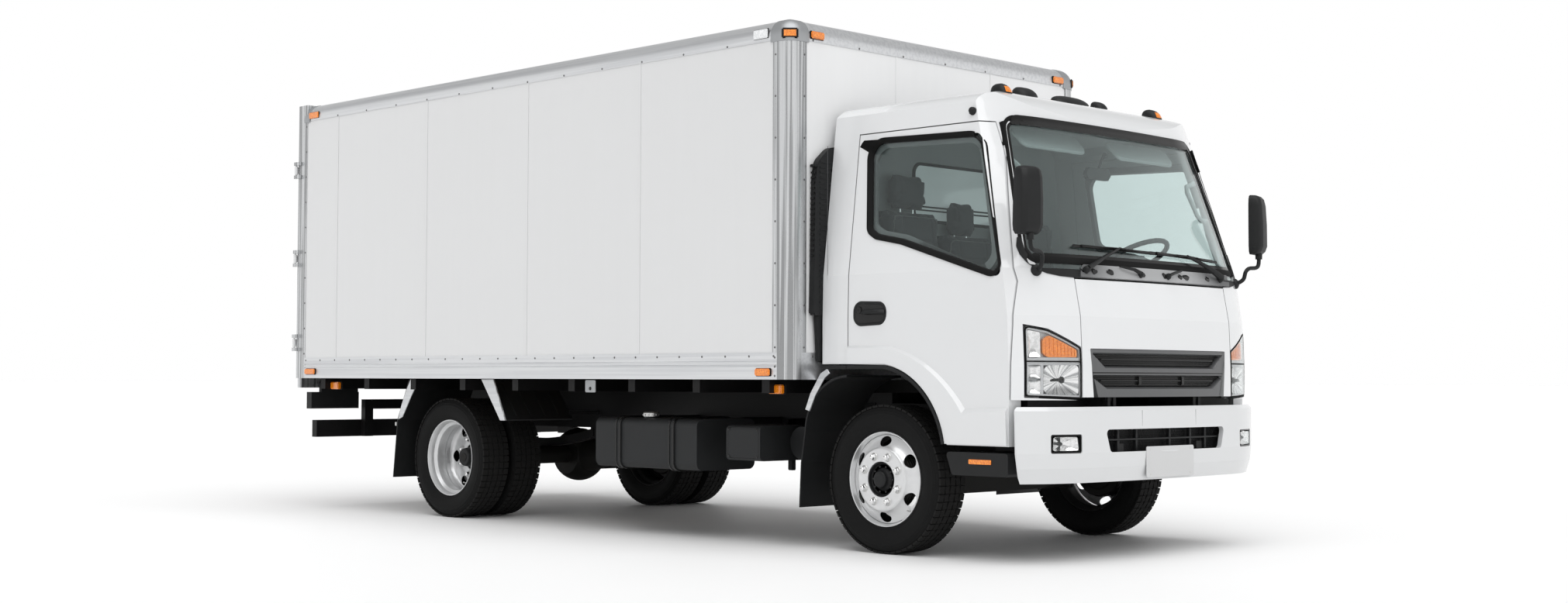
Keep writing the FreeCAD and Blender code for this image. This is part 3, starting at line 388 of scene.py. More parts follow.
cabCentre = at(0.3, 0, 1.62)
cabLining = {"centre": cabCentre, "dark": rgb(0.3, 0.31, 0.31), "light": rgb(0.38, 0.39, 0.39)}
bumperStays = {"behind": at(1.066, 0, 0).x, "half": 0.59, "dark": rgb(0.012), "light": rgb(0.02)}
mat = {
    "cabPaint": paint("cabWhitePaint", rgb(0.69, 0.7, 0.71), rgb(0.56, 0.555, 0.545), 0.28, 1.0, lining=cabLining),
    "bumperPaint": paint("bumperWhitePaint", rgb(0.63, 0.64, 0.65), rgb(0.5, 0.5, 0.49), 0.3, 0.8, lining=bumperStays),
    "trimPaint": paint("trimWhitePaint", rgb(0.66, 0.67, 0.68), rgb(0.52, 0.51, 0.49), 0.28, 1.0),
    # the last colour is the box's front wall, lighter than the sides as painted light
    "panel": panelPaint("boxPanelWhite", rgb(0.68, 0.685, 0.69), rgb(0.54, 0.54, 0.54), rgb(0.8, 0.805, 0.81)),
    "railX": brushed("railAluminiumLong", rgb(0.7, 0.71, 0.72), rgb(0.52, 0.53, 0.55), 0.24, 0.75, (0.01, 1, 1)),
    "railY": brushed("railAluminiumCross", rgb(0.7, 0.71, 0.72), rgb(0.52, 0.53, 0.55), 0.24, 0.75, (1, 0.01, 1)),
    "postZ": brushed("postAluminiumUpright", rgb(0.66, 0.67, 0.68), rgb(0.3, 0.305, 0.31), 0.2, 0.85, (1, 1, 0.01),
                     1.0),
    "castAlloy": cast("castAlloyGrey", rgb(0.42, 0.43, 0.44), rgb(0.3, 0.31, 0.32), 0.38, 0.7, 0.003, 0.0003),
    # the near-black colour in both wheel paints is painted shade on the wheels' inner sides
    "wheelSilver": wheelPaint("wheelSilverPaint", rgb(0.8, 0.805, 0.81), rgb(0.5, 0.505, 0.51), rgb(0.012), 0.955),
    "wheelSilverRear": wheelPaint("wheelSilverPaintRear", rgb(0.8, 0.805, 0.81), rgb(0.5, 0.505, 0.51), rgb(0.012),
                                  0.87),
    "zinc": cast("zincPlate", rgb(0.62, 0.62, 0.61), rgb(0.48, 0.48, 0.47), 0.28, 0.9, 0.004, 0.0001),
    "rivet": cast("rivetSteel", rgb(0.22), rgb(0.1), 0.35, 0.8, 0.004, 0.0001),
    "reflector": brushed("lampReflector", rgb(0.9), rgb(0.62), 0.05, 1.0, (1, 1, 1)),
    "lampGrey": cast("lampHousingGrey", rgb(0.56, 0.57, 0.58), rgb(0.46, 0.47, 0.48), 0.25, 0.5, 0.006, 0.00005),
    # the cowl insert's bright middle and dull ends are a painted reflection
    "cowlGrey": cowlMetal("cowlSatinGrey", rgb(0.36, 0.365, 0.37), rgb(0.08, 0.082, 0.085)),
    # painted highlight: the grille face is a lighter grey than the grille's own plastic, so that its lips read as lit
    "lipPaintedHighlight": cast("grilleLipPaintedHighlight", rgb(0.085, 0.087, 0.09), rgb(0.11, 0.112, 0.115), 0.28, 0.2, 0.0014, 0.0001),
    "headlining": fabric("headliningGrey", rgb(0.36, 0.37, 0.37), rgb(0.42, 0.43, 0.43), 0.004),
    "chrome": cast("chromePlate", rgb(0.86), rgb(0.78), 0.04, 1.0, 0.02, 0.00002),
    "frame": chassisPaint("framePaintBlack", rgb(0.007, 0.007, 0.0075), rgb(0.06, 0.057, 0.054)),
    "iron": cast("castIronBlack", rgb(0.009), rgb(0.026, 0.025, 0.023), 0.5, 0.2, 0.004, 0.0006, 0.18),
    "blackPlastic": cast("blackPlasticGrained", rgb(0.0085, 0.009, 0.0095), rgb(0.016, 0.0165, 0.017), 0.42, 0.0,
                         0.0014, 0.00025, 0.22),
    "glossBlack": cast("blackGloss", rgb(0.006), rgb(0.01), 0.16, 0.0, 0.02, 0.00003, 0.3),
    "greyPlastic": cast("grilleGreyPlastic", rgb(0.052, 0.054, 0.057), rgb(0.072, 0.074, 0.077), 0.34, 0.1, 0.0014,
                        0.00015, 0.35),
    "tankPaint": cast("tankGreyPaint", rgb(0.016, 0.017, 0.018), rgb(0.024, 0.025, 0.026), 0.42, 0.1, 0.003, 0.00008,
                      0.2),
    "interior": cast("interiorGreyPlastic", rgb(0.13, 0.133, 0.135), rgb(0.18), 0.55, 0.0, 0.002, 0.0004),
    "seatCloth": fabric("seatClothGrey", rgb(0.06, 0.06, 0.062), rgb(0.078, 0.079, 0.083), 0.0035),
    "seal": rubber("rubberSeal", rgb(0.007), rgb(0.018)),
    "screenGlass": glazing("screenTintedGlass", rgb(0.9, 0.955, 0.95), 0.1),
    "glass": glazing("sideTintedGlass", rgb(0.86, 0.9, 0.895), 0.018),
    # the cab's back window is an opaque pane that glows: painted light for the bright view through it
    "rearPane": lens("rearPaneGlass", rgb(0.42, 0.47, 0.47), rgb(0.46, 0.51, 0.51), 0.3, 0.35),
    "lampGlass": glazing("lampClearGlass", rgb(0.97), 0.015),
    "lampBowl": streaked("lampBowlPaintedRays", rgb(0.93), rgb(0.4, 0.41, 0.415), (0.822, 0.925), 4.0),
    "amber": lens("amberLens", rgb(0.55, 0.11, 0.002), rgb(0.92, 0.28, 0.01), 0.008, 0.03),
    "red": lens("redLens", rgb(0.5, 0.006, 0.006), rgb(0.85, 0.02, 0.015), 0.006, 0.08),
    "clearLens": lens("clearRibbedLens", rgb(0.62, 0.64, 0.65), rgb(0.86, 0.87, 0.88), 0.008),
    "plywood": plywood("floorPlywood", rgb(0.1, 0.065, 0.04), rgb(0.2, 0.13, 0.08)),
    "plate": paint("blankPlate", rgb(0.55, 0.555, 0.56), rgb(0.46, 0.46, 0.45), 0.35, 0.4),
}
rearAxleX = -3.81
for name, x in (("tyreFront", 0.0), ("tyreRear", rearAxleX)):
    mat[name] = rubber(name + "Rubber", rgb(0.006, 0.0062, 0.0064), rgb(0.03, 0.029, 0.028), at(x, 0, axleZ))

nodeFinish = {
    "cabPaint": ["cab_roof", "cab_back_panel", "cab_side_frames", "cab_front_corners", "front_lid",
                 "cab_door_right", "cab_door_left"],
    "bumperPaint": ["bumper"],
    "panel": ["cargo_walls", "cargo_roof", "cargo_door_right", "cargo_door_left"],
    "railX": ["lower_rails", "top_rails"],
    "postZ": ["corner_posts", "rear_frame"],
    "frame": ["frame_rails", "frame_crossmembers", "frame_bearers", "body_subframe", "underrun_bar",
              "leaf_springs"],
    "tankPaint": ["fuel_tank", "frame_boxes", "air_tanks"],
    "iron": ["engine", "front_axle", "rear_axle", "knuckle_right", "knuckle_left", "tie_rod", "exhaust"],
    "blackPlastic": ["side_steps", "cab_floor", "mudguards", "cowl", "air_intake", "mirrors", "tail_lamps"],
    "greyPlastic": ["grille"],
    "interior": ["dashboard", "steering_wheel"],
    "screenGlass": ["windscreen"],
    "glass": ["door_glass_right", "door_glass_left"],
    "lampGlass": ["headlamps", "fog_lamps"],
    "wheelSilver": ["front_wheel_right", "front_wheel_left"],
    "wheelSilverRear": ["rear_wheels_right", "rear_wheels_left"],
    "tyreFront": ["front_tyre_right", "front_tyre_left"],
    "tyreRear": ["rear_tyres_right", "rear_tyres_left"],
    "zinc": ["lock_bars_right", "lock_bars_left"],
    "plywood": ["cargo_floor"],
    "seatCloth": ["seats"],
}
for finish, names in nodeFinish.items():
    for name in names:
        data = cadNodes[name].data
        data.materials.clear()
        data.materials.append(mat[finish])
print("materials", len(mat), "CAD nodes", len(cadNodes))


# ---- mesh helpers

def showPiece(name, data, finish, body, angle=35):
    # a finished mesh as a piece that rides on a body
    made = bpy.data.objects.new(name, data)
    bpy.context.collection.objects.link(made)
    data.materials.clear()
    data.materials.append(mat[finish])
    data.polygons.foreach_set("material_index", [0] * len(data.polygons))
    data.polygons.foreach_set("use_smooth", [True] * len(data.polygons))
    data.set_sharp_from_angle(angle=math.radians(angle))
    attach(made, body)
    return made


class Shape:
    # a mesh put together from closed parts
    def __init__(self):
        self.mesh = bmesh.new()

    def bevel(self, edges, edge, segments):
        bmesh.ops.bevel(self.mesh, geom=edges, offset=edge, segments=segments, affect="EDGES", clamp_overlap=True)

    def box(self, low, high, edge=0.003, segments=2, turn=None, about=(0, 0, 0)):
        middle = (Vector(low) + Vector(high)) / 2
        size = Vector(high) - Vector(low)
        made = bmesh.ops.create_cube(self.mesh, size=1.0)["verts"]
        for corner in made:
            corner.co = middle + Vector([a * b for a, b in zip(corner.co, size)])
            if turn is not None:
                corner.co = Vector(about) + turn @ (corner.co - Vector(about))
        if edge:
            edges = list({e for corner in made for e in corner.link_edges})
            self.bevel(edges, edge, segments)
        return self

    def slab(self, outline, place, low, high, edge=0.0, segments=2, back=False):
        # a prism of a 2-D outline; place(u, v, w) gives each corner, w runs from low to high
        first = [self.mesh.verts.new(place(u, v, low)) for u, v in outline]
        last = [self.mesh.verts.new(place(u, v, high)) for u, v in outline]
        count = len(outline)
        self.mesh.faces.new(first)
        self.mesh.faces.new(last)
        for i in range(count):
            j = (i + 1) % count
            self.mesh.faces.new((first[i], first[j], last[j], last[i]))
        if edge:
            rims = [last] + ([first] if back else [])
            edges = [self.mesh.edges.get((rim[i], rim[(i + 1) % count])) for rim in rims for i in range(count)]
            self.bevel(edges, edge, segments)
        return self

    def lathe(self, profile, centre, axis=(0, 1, 0), steps=48, closed=False, stretch=1.0):
        # profile: (radius, along) pairs turned round an axis
        axis = Vector(axis).normalized()
        side = (Vector((0, 0, 1)) if abs(axis.z) < 0.9 else Vector((1, 0, 0))).cross(axis).normalized()
        other = axis.cross(side)
        rings = []
        for radius, along in profile:
            middle = Vector(centre) + axis * along
            if radius < 1e-6:
                rings.append([self.mesh.verts.new(middle)])
                continue
            turns = turnsOf(steps)
            rings.append([self.mesh.verts.new(middle + side * (radius * stretch * math.cos(t))
                                              + other * (radius * math.sin(t))) for t in turns])
        return self.ended(rings, closed)

    def skin(self, rings, closed=False):
        # faces between rings of corners, each ring closed on itself
        pairs = list(zip(rings, rings[1:])) + ([(rings[-1], rings[0])] if closed else [])
        for first, last in pairs:
            count = max(len(first), len(last))
            for i in range(count):
                j = (i + 1) % count
                corners = [first[i % len(first)], first[j % len(first)], last[j % len(last)], last[i % len(last)]]
                corners = [c for k, c in enumerate(corners) if c not in corners[:k]]
                if len(corners) > 2:
                    self.mesh.faces.new(corners)

    def ended(self, rings, closed=False):
        # faces between the rings, and a face over each open end
        self.skin(rings, closed)
        if not closed:
            for ring in (rings[0], rings[-1]):
                if len(ring) > 1:
                    self.mesh.faces.new(ring)
        return self

    def tube(self, points, radius, sides=10, closed=False, flat=1.0):
        # a round bar along points; radius may be one number or one for each point
        points = [Vector(p) for p in points]
        count = len(points)
        normal = None
        rings = []
        for i, point in enumerate(points):
            before = points[i - 1] if i or closed else point
            after = points[(i + 1) % count] if i < count - 1 or closed else point
            ahead = (after - before).normalized()
            if normal is None:
                normal = ahead.orthogonal().normalized()
            normal = (normal - ahead * normal.dot(ahead)).normalized()
            other = ahead.cross(normal)
            size = radius[i] if isinstance(radius, (list, tuple)) else radius
            turns = turnsOf(sides)
            rings.append([self.mesh.verts.new(point + normal * (size * math.cos(t))
                                              + other * (size * flat * math.sin(t))) for t in turns])
        return self.ended(rings, closed)

    def strip(self, points, outs, section, closed=True):
        # a moulding along points; outs are the directions away from the surface, or one for all; section is
        # (out, across) pairs
        count = len(points)
        outs = [outs] * count if isinstance(outs, Vector) else outs
        rings = []
        for i in range(count):
            before = points[i - 1] if i or closed else points[i]
            after = points[(i + 1) % count] if i < count - 1 or closed else points[i]
            ahead = (after - before).normalized()
            across = outs[i].cross(ahead).normalized()
            rings.append([self.mesh.verts.new(points[i] + outs[i] * out + across * side) for out, side in section])
        return self.ended(rings, closed)

    def thicken(self, thickness):
        # gives an open skin its thickness
        bmesh.ops.recalc_face_normals(self.mesh, faces=self.mesh.faces)
        bmesh.ops.solidify(self.mesh, geom=self.mesh.faces[:], thickness=thickness)
        return self

    def done(self, name, finish, body, angle=35):
        bmesh.ops.recalc_face_normals(self.mesh, faces=self.mesh.faces)
        data = bpy.data.meshes.new(name)
        self.mesh.to_mesh(data)
        self.mesh.free()
        return showPiece(name, data, finish, body, angle)


def rounded(corners, radii, steps=6):
    # a 2-D outline with each corner turned on its own radius
    outline = []
    count = len(corners)
    radii = radii if isinstance(radii, (list, tuple)) else [radii] * count
    for i, corner in enumerate(corners):
        here = Vector(corner)
        towards = (Vector(corners[i - 1]) - here).normalized()
        away = (Vector(corners[(i + 1) % count]) - here).normalized()
        angle = towards.angle(away)
        if radii[i] <= 0 or angle > math.pi - 0.01:
            outline.append((here.x, here.y))
            continue
        reach = radii[i] / math.tan(angle / 2)
        centre = here + (towards + away).normalized() * (radii[i] / math.sin(angle / 2))
        start = here + towards * reach - centre
        end = here + away * reach - centre
        sweep = start.angle_signed(end)
        for k in range(steps + 1):
            turn = sweep * k / steps
            outline.append((centre.x + start.x * math.cos(turn) + start.y * math.sin(turn),
                            centre.y + start.y * math.cos(turn) - start.x * math.sin(turn)))
    return outline


def oblong(u0, v0, u1, v1):
    # a rectangle's corners as a 2-D outline
    return [(u0, v0), (u1, v0), (u1, v1), (u0, v1)]


def turnsOf(count, shift=0):
    # equal turns that make up a circle
    return [fullTurn * (k + shift) / count for k in range(count)]


def paced(corners, step, closed=True):
    # extra points along an outline, no further apart than a step
    points = []
    count = len(corners)
    for i in range(count if closed else count - 1):
        first, last = Vector(corners[i]), Vector(corners[(i + 1) % count])
        parts = max(1, math.ceil((last - first).length / step))
        points += [tuple(first.lerp(last, k / parts)) for k in range(parts)]
    return points if closed else points + [tuple(corners[-1])]


def surfaceOf(*names):
    # the faces of CAD nodes, ready to be asked where a line meets them
    corners, faces = [], []
    for name in names:
        data = cadNodes[name].data
        faces += [[len(corners) + i for i in face.vertices] for face in data.polygons]
        corners += [v.co.copy() for v in data.vertices]
    return BVHTree.FromPolygons(corners, faces)


def onSurface(surface, start, direction, fallback=None):
    # where a line from start first meets a surface, and the direction out of it
    direction = Vector(direction).normalized()
    point, normal, _, _ = surface.ray_cast(Vector(start), direction)
    if point is None:
        return fallback
    return point, (normal if normal.dot(direction) < 0 else -normal).normalized()


# ---- geometry nodes

def nodeTree(name, inputs):
    tree = bpy.data.node_groups.new(name, "GeometryNodeTree")
    tree.interface.new_socket("Geometry", in_out="INPUT", socket_type="NodeSocketGeometry")
    for label, kind, value in inputs:
        socket = tree.interface.new_socket(label, in_out="INPUT", socket_type="NodeSocket" + kind)
        if value is not None:
            socket.default_value = value
    tree.interface.new_socket("Geometry", in_out="OUTPUT", socket_type="NodeSocketGeometry")
    return tree


def addNode(tree, kind, settings=None, values=None):
    # a node with its settings and its inputs, by name or in order; gives the node's first output
    made = tree.nodes.new(kind)
    for key, value in (settings or {}).items():
        setattr(made, key, value)
    pairs = values.items() if isinstance(values, dict) else enumerate(values or [])
    for key, value in pairs:
        if isinstance(value, bpy.types.NodeSocket):
            tree.links.new(value, made.inputs[key])
        elif value is not None:
            made.inputs[key].default_value = value
    return made.outputs[0] if made.outputs else None


def maths(tree, operation, *values):
    return addNode(tree, "ShaderNodeMath", {"operation": operation}, values)


def spreadTree(tree, given, points, instance, rotation=None):
    # every tree ends the same way: copies on its points, made real because the export drops instances
    spread = addNode(tree, "GeometryNodeInstanceOnPoints", {},
                     {"Points": points, "Instance": instance, "Rotation": rotation})
    real = addNode(tree, "GeometryNodeRealizeInstances", {}, [spread])
    dressed = addNode(tree, "GeometryNodeSetMaterial", {}, {"Geometry": real, "Material": given["Material"]})
    addNode(tree, "NodeGroupOutput", {}, [dressed])
    return tree


def studTree():
    # a bevelled round or six-sided head on every point, standing along its facing attribute
    tree = nodeTree("studs", [("Radius", "Float", 0.006), ("Height", "Float", 0.004), ("Taper", "Float", 0.5),
                              ("Sides", "Int", 8), ("Material", "Material", None)])
    given = tree.nodes.new("NodeGroupInput").outputs
    narrow = maths(tree, "MULTIPLY", given["Radius"], given["Taper"])
    head = addNode(tree, "GeometryNodeMeshCone", {}, {"Vertices": given["Sides"], "Radius Top": narrow,
                                                      "Radius Bottom": given["Radius"], "Depth": given["Height"]})
    facing = addNode(tree, "GeometryNodeInputNamedAttribute", {"data_type": "FLOAT_VECTOR"}, {"Name": "facing"})
    turned = addNode(tree, "FunctionNodeAlignRotationToVector", {"axis": "Z"}, {"Vector": facing})
    return spreadTree(tree, given, given["Geometry"], head, turned)


def ringTree():
    # blocks round a wheel, on a circle about the y axis
    tree = nodeTree("lugs", [("Count", "Int", 60), ("Radius", "Float", 0.39), ("Size", "Vector", (0.01, 0.02, 0.02)),
                             ("Skew", "Float", 0.0), ("Centre", "Vector", (0, 0, 0)), ("Material", "Material", None)])
    given = tree.nodes.new("NodeGroupInput").outputs
    line = addNode(tree, "GeometryNodeMeshLine", {}, {"Count": given["Count"], "Offset": (0, 0, 0)})
    index = addNode(tree, "GeometryNodeInputIndex")
    share = maths(tree, "DIVIDE", index, given["Count"])
    angle = maths(tree, "MULTIPLY", share, fullTurn)
    along = maths(tree, "COSINE", angle)
    rise = maths(tree, "SINE", angle)
    spoke = addNode(tree, "ShaderNodeCombineXYZ", {}, {"X": along, "Z": rise})
    reach = addNode(tree, "ShaderNodeVectorMath", {"operation": "SCALE"}, {"Vector": spoke, "Scale": given["Radius"]})
    place = addNode(tree, "ShaderNodeVectorMath", {"operation": "ADD"}, [reach, given["Centre"]])
    put = addNode(tree, "GeometryNodeSetPosition", {}, {"Geometry": line, "Position": place})
    back = maths(tree, "MULTIPLY", angle, -1.0)
    turn = addNode(tree, "ShaderNodeCombineXYZ", {}, {"X": given["Skew"], "Y": back})
    block = addNode(tree, "GeometryNodeMeshCube", {}, {"Size": given["Size"]})
    return spreadTree(tree, given, put, block, turn)


def ribTree():
    # a row of equal ribs, one step apart
    tree = nodeTree("ribs", [("Count", "Int", 10), ("Start", "Vector", (0, 0, 0)), ("Step", "Vector", (0, 0, 0.1)),
                             ("Size", "Vector", (0.01, 0.01, 0.01)), ("Material", "Material", None)])
    given = tree.nodes.new("NodeGroupInput").outputs
    line = addNode(tree, "GeometryNodeMeshLine", {}, {"Count": given["Count"], "Start Location": given["Start"],
                                                      "Offset": given["Step"]})
    block = addNode(tree, "GeometryNodeMeshCube", {}, {"Size": given["Size"]})
    return spreadTree(tree, given, line, block)


def combTree():
    # staggered six-sided rings that make a honeycomb mesh, facing x
    tree = nodeTree("honeycomb", [("Cell", "Float", 0.012), ("Wire", "Float", 0.001), ("Material", "Material", None)])
    given = tree.nodes.new("NodeGroupInput").outputs
    ring = addNode(tree, "GeometryNodeCurvePrimitiveCircle", {}, {"Resolution": 6, "Radius": given["Cell"]})
    wire = addNode(tree, "GeometryNodeCurvePrimitiveCircle", {}, {"Resolution": 4, "Radius": given["Wire"]})
    tube = addNode(tree, "GeometryNodeCurveToMesh", {}, {"Curve": ring, "Profile Curve": wire})
    return spreadTree(tree, given, given["Geometry"], tube, (0, math.pi / 2, 0))


trees = {"stud": studTree(), "ring": ringTree(), "rib": ribTree(), "comb": combTree()}


def grown(kind, settings, points=None, facing=None):
    # runs a tree on some points and returns the result as a plain mesh
    data = bpy.data.meshes.new("points")
    data.from_pydata([tuple(p) for p in (points or [(0, 0, 0)])], [], [])
    if facing is not None:
        facing = [facing] * len(points) if isinstance(facing, (Vector, tuple)) else facing
        attribute = data.attributes.new("facing", "FLOAT_VECTOR", "POINT")
        attribute.data.foreach_set("vector", [c for f in facing for c in f])
    holder = bpy.data.objects.new("holder", data)
    bpy.context.collection.objects.link(holder)
    modifier = holder.modifiers.new("grow", "NODES")
    modifier.node_group = trees[kind]
    for item in trees[kind].interface.items_tree:
        if item.item_type == "SOCKET" and item.in_out == "INPUT" and item.name in settings:
            modifier[item.identifier] = settings[item.name]
    graph = bpy.context.evaluated_depsgraph_get()
    result = bpy.data.meshes.new_from_object(holder.evaluated_get(graph))
    holder.modifiers.remove(modifier)
    bpy.data.objects.remove(holder)
    return result


def studs(name, points, facing, finish, body, radius=0.006, height=0.004, taper=0.55, sides=8):
    settings = {"Radius": radius, "Height": height, "Taper": taper, "Sides": sides, "Material": mat[finish]}
    return showPiece(name, grown("stud", settings, points, facing), finish, body, 30 if sides < 8 else 75)


def ribs(name, count, start, step, size, finish, body):
    settings = {"Count": count, "Start": tuple(start), "Step": tuple(step), "Size": tuple(size),
                "Material": mat[finish]}
    return showPiece(name, grown("rib", settings), finish, body)


def bodyOf(node):
    return cadNodes[node]["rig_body"]


cabBody, frameBody = bodyOf("cab_roof"), bodyOf("frame_rails")


# ---- cargo box

box = {"rear": -5.449, "front": -0.425, "half": 1.3, "low": 0.925, "roof": 2.898, "corner": 0.095,
       "studPitch": 0.19, "postPitch": 0.235, "topPitch": 0.37, "seams": (-4.93, -3.836, -2.741, -1.666),
       "frontSeams": (-0.43, 0.43), "sealHalf": 1.236, "doorLow": 1.05, "doorHigh": 2.785}


def boxStuds():
    points, facing = [], []

    def row(start, end, pitch, out):
        start, end = at(*start), at(*end)
        count = max(2, round((end - start).length / pitch))
        for i in range(count + 1):
            points.append(start.lerp(end, i / count))
            facing.append(out)

    h, rear, front = box["half"], box["rear"], box["front"]
    for side in (-1, 1):
        out = (0, side, 0)
        y = side * h
        row((rear + 0.13, y, 1.052), (front - 0.12, y, 1.052), box["studPitch"], out)
        row((rear + 0.15, y, 2.786), (front - 0.13, y, 2.786), box["topPitch"], out)
        row((front - 0.11, y, 1.1), (front - 0.11, y, 2.7), box["postPitch"], out)
        row((front - 0.11, y, 0.945), (front - 0.11, y, 1.045), 0.1, out)
        row((rear + 0.105, y, 1.1), (rear + 0.105, y, 2.74), box["postPitch"] * 0.8, out)
        row((front, side * (h - 0.113), 1.1), (front, side * (h - 0.113), 2.7), box["postPitch"], (1, 0, 0))
    row((front, 0.18 - h, 2.786), (front, h - 0.18, 2.786), box["topPitch"], (1, 0, 0))
    row((front, 0.18 - h, 1.052), (front, h - 0.18, 1.052), box["studPitch"], (1, 0, 0))
    # each head is dropped on to the sheet or flange behind it
    skins = surfaceOf("cargo_walls", "lower_rails", "top_rails", "corner_posts", "rear_frame")
    seated, towards = [], []
    for point, out in zip(points, facing):
        out = Vector(out)
        hit = onSurface(skins, point + out * 0.05, -out)
        if hit and (hit[0] - point).length < 0.03 and hit[1].dot(out) > 0.95:
            seated.append(hit[0] - out * 0.0008)
            towards.append(out)
    studs("box_rivets", seated, towards, "rivet", frameBody, 0.0075, 0.0042, 0.5, 8)
    print("rivets on the box", len(seated))


def boxSeams():
    # narrow cover strips where the wall sheets join
    strips = Shape()
    h, front = box["half"], box["front"]
    for side in (-1, 1):
        for x in box["seams"]:
            y = (side * (h - 0.0035), side * (h - 0.0015))
            strips.box(at(x - 0.006, min(y), 1.072), at(x + 0.006, max(y), 2.779), 0.0006, 1)
    for y in box["frontSeams"]:
        strips.box(at(front - 0.0035, y - 0.006, 1.072), at(front - 0.0015, y + 0.006, 2.779), 0.0006, 1)
    strips.done("wall_seams", "panel", frameBody)


capSizes = {"post": 0.128, "sleeve": 0.052, "skin": 0.0035}


def cornerCaps():
    # cast caps over the four upper corners: a ball corner with two short sleeves over the rails and one over the post
    for end, x, ahead in (("front", box["front"], 1), ("rear", box["rear"], -1)):
        for side, word in sides:
            cap = Shape()
            r = box["corner"] + capSizes["skin"]
            centre = Vector((x - ahead * box["corner"], side * (box["half"] - box["corner"]),
                             box["roof"] - box["corner"]))
            steps = 10
            grid = []
            # a vertical quarter tube, then the eighth of a ball above it
            for k in [None] + list(range(steps + 1)):
                ring = []
                rise = 0.0 if k is None else k / steps * math.pi / 2
                for i in range(steps + 1):
                    turn = i / steps * math.pi / 2
                    flat = r * math.cos(rise)
                    z = box["corner"] - capSizes["post"] if k is None else r * math.sin(rise)
                    ring.append(Vector((ahead * flat * math.cos(turn), side * flat * math.sin(turn), z)))
                grid.append(ring)
            verts = [[cap.mesh.verts.new(at(*(centre + p))) for p in ring] for ring in grid[:-1]]
            pole = cap.mesh.verts.new(at(*(centre + Vector((0, 0, r)))))
            for first, last in zip(verts, verts[1:]):
                for i in range(steps):
                    cap.mesh.faces.new((first[i], first[i + 1], last[i + 1], last[i]))
            for i in range(steps):
                cap.mesh.faces.new((verts[-1][i], verts[-1][i + 1], pole))
            # the sleeves carry the ball's edges back along the rails
            edgeX = [ring[-1] for ring in verts] + [pole]
            edgeY = [ring[0] for ring in verts] + [pole]
            for edge, shift in ((edgeX, Vector((-ahead * capSizes["sleeve"], 0, 0))),
                                (edgeY, Vector((0, -side * capSizes["sleeve"], 0)))):
                far = [cap.mesh.verts.new(v.co + shift) for v in edge]
                for i in range(len(edge) - 1):
                    cap.mesh.faces.new((edge[i], edge[i + 1], far[i + 1], far[i]))
            corner = cap.mesh.verts.new(pole.co + Vector((-ahead * capSizes["sleeve"], -side * capSizes["sleeve"], 0)))
            farX = [v for v in cap.mesh.verts
                    if (v.co - (pole.co + Vector((-ahead * capSizes["sleeve"], 0, 0)))).length < 1e-6][0]
            farY = [v for v in cap.mesh.verts
                    if (v.co - (pole.co + Vector((0, -side * capSizes["sleeve"], 0)))).length < 1e-6][0]
            cap.mesh.faces.new((pole, farX, corner, farY))
            bmesh.ops.recalc_face_normals(cap.mesh, faces=cap.mesh.faces)
            outward = sum((f.normal.dot(f.calc_center_median() - at(*centre)) for f in cap.mesh.faces)) > 0
            if not outward:
                bmesh.ops.reverse_faces(cap.mesh, faces=cap.mesh.faces[:])
            bmesh.ops.solidify(cap.mesh, geom=cap.mesh.faces[:], thickness=0.0032)
            cap.done("corner_cap_" + end + "_" + word, "castAlloy", frameBody, 50)


boxStuds()
boxSeams()
cornerCaps()


# ---- wheels and tyres

tyre = {"radius": axleZ, "width": 0.225, "groove": 0.0085, "lugs": 58, "steps": 116, "height": axleZ}
wheel = {"holes": 6, "nuts": 8, "nutCircle": 0.127, "nutRadius": 0.0175, "nutHeight": 0.021, "hub": 0.0932}
tyrePlaces = {"front_tyre": ((0.0, 0.912),), "rear_tyres": ((rearAxleX, 1.016), (rearAxleX, 0.752))}


def carcass(shape, centre):
    # half of the section, from bead to crown; the tread blocks stand on the flat crown
    half = [(0.2535, 0.0865), (0.2555, 0.0925), (0.26, 0.0945), (0.264, 0.095), (0.2655, 0.0972), (0.268, 0.0978),
            (0.27, 0.0972), (0.28, 0.101), (0.3, 0.1085), (0.318, 0.1118), (0.335, 0.1122), (0.348, 0.1105),
            (0.35, 0.111), (0.352, 0.1098), (0.362, 0.1062), (0.364, 0.1066), (0.366, 0.1046), (0.374, 0.101),
            (0.381, 0.0965), (0.3855, 0.0915), (0.3885, 0.084), (0.389, 0.05)]
    floor = tyre["radius"] - tyre["groove"]
    crown = [(floor, 0.0), (0.389, -0.05)]
    inner = [(0.2535, -0.082), (0.27, -0.086), (0.3, -0.098), (0.34, -0.1), (0.372, -0.086), (0.378, -0.05),
             (0.378, 0.05), (0.372, 0.086), (0.34, 0.1), (0.3, 0.098), (0.27, 0.086), (0.2535, 0.082)]
    mirrored = [(r, -a) for r, a in reversed(half)]
    shape.lathe(half + crown[:1] + mirrored + inner, centre, (0, 1, 0), tyre["steps"], closed=True)


def treadRows(centre, finish):
    # rows of blocks: two lugged shoulders and three slanted inner ribs
    floor = tyre["radius"] - tyre["groove"]
    pitch = fullTurn * tyre["radius"] / tyre["lugs"]
    top = (tyre["radius"] - 0.0006) * math.cos(math.pi / tyre["lugs"])
    rows = []
    for across, width, gap, skew in ((0.0815, 0.037, 0.0075, 0.0), (-0.0815, 0.037, 0.0075, 0.0),
                                     (0.0415, 0.031, 0.004, 0.16), (-0.0415, 0.031, 0.004, 0.16),
                                     (0.0, 0.036, 0.0032, -0.16)):
        tall = top - floor + 0.004
        settings = {"Count": tyre["lugs"], "Radius": top - tall / 2, "Size": (tall, width, pitch - gap), "Skew": skew,
                    "Centre": tuple(centre + Vector((0, across, 0))), "Material": mat[finish]}
        rows.append(grown("ring", settings))
    return rows


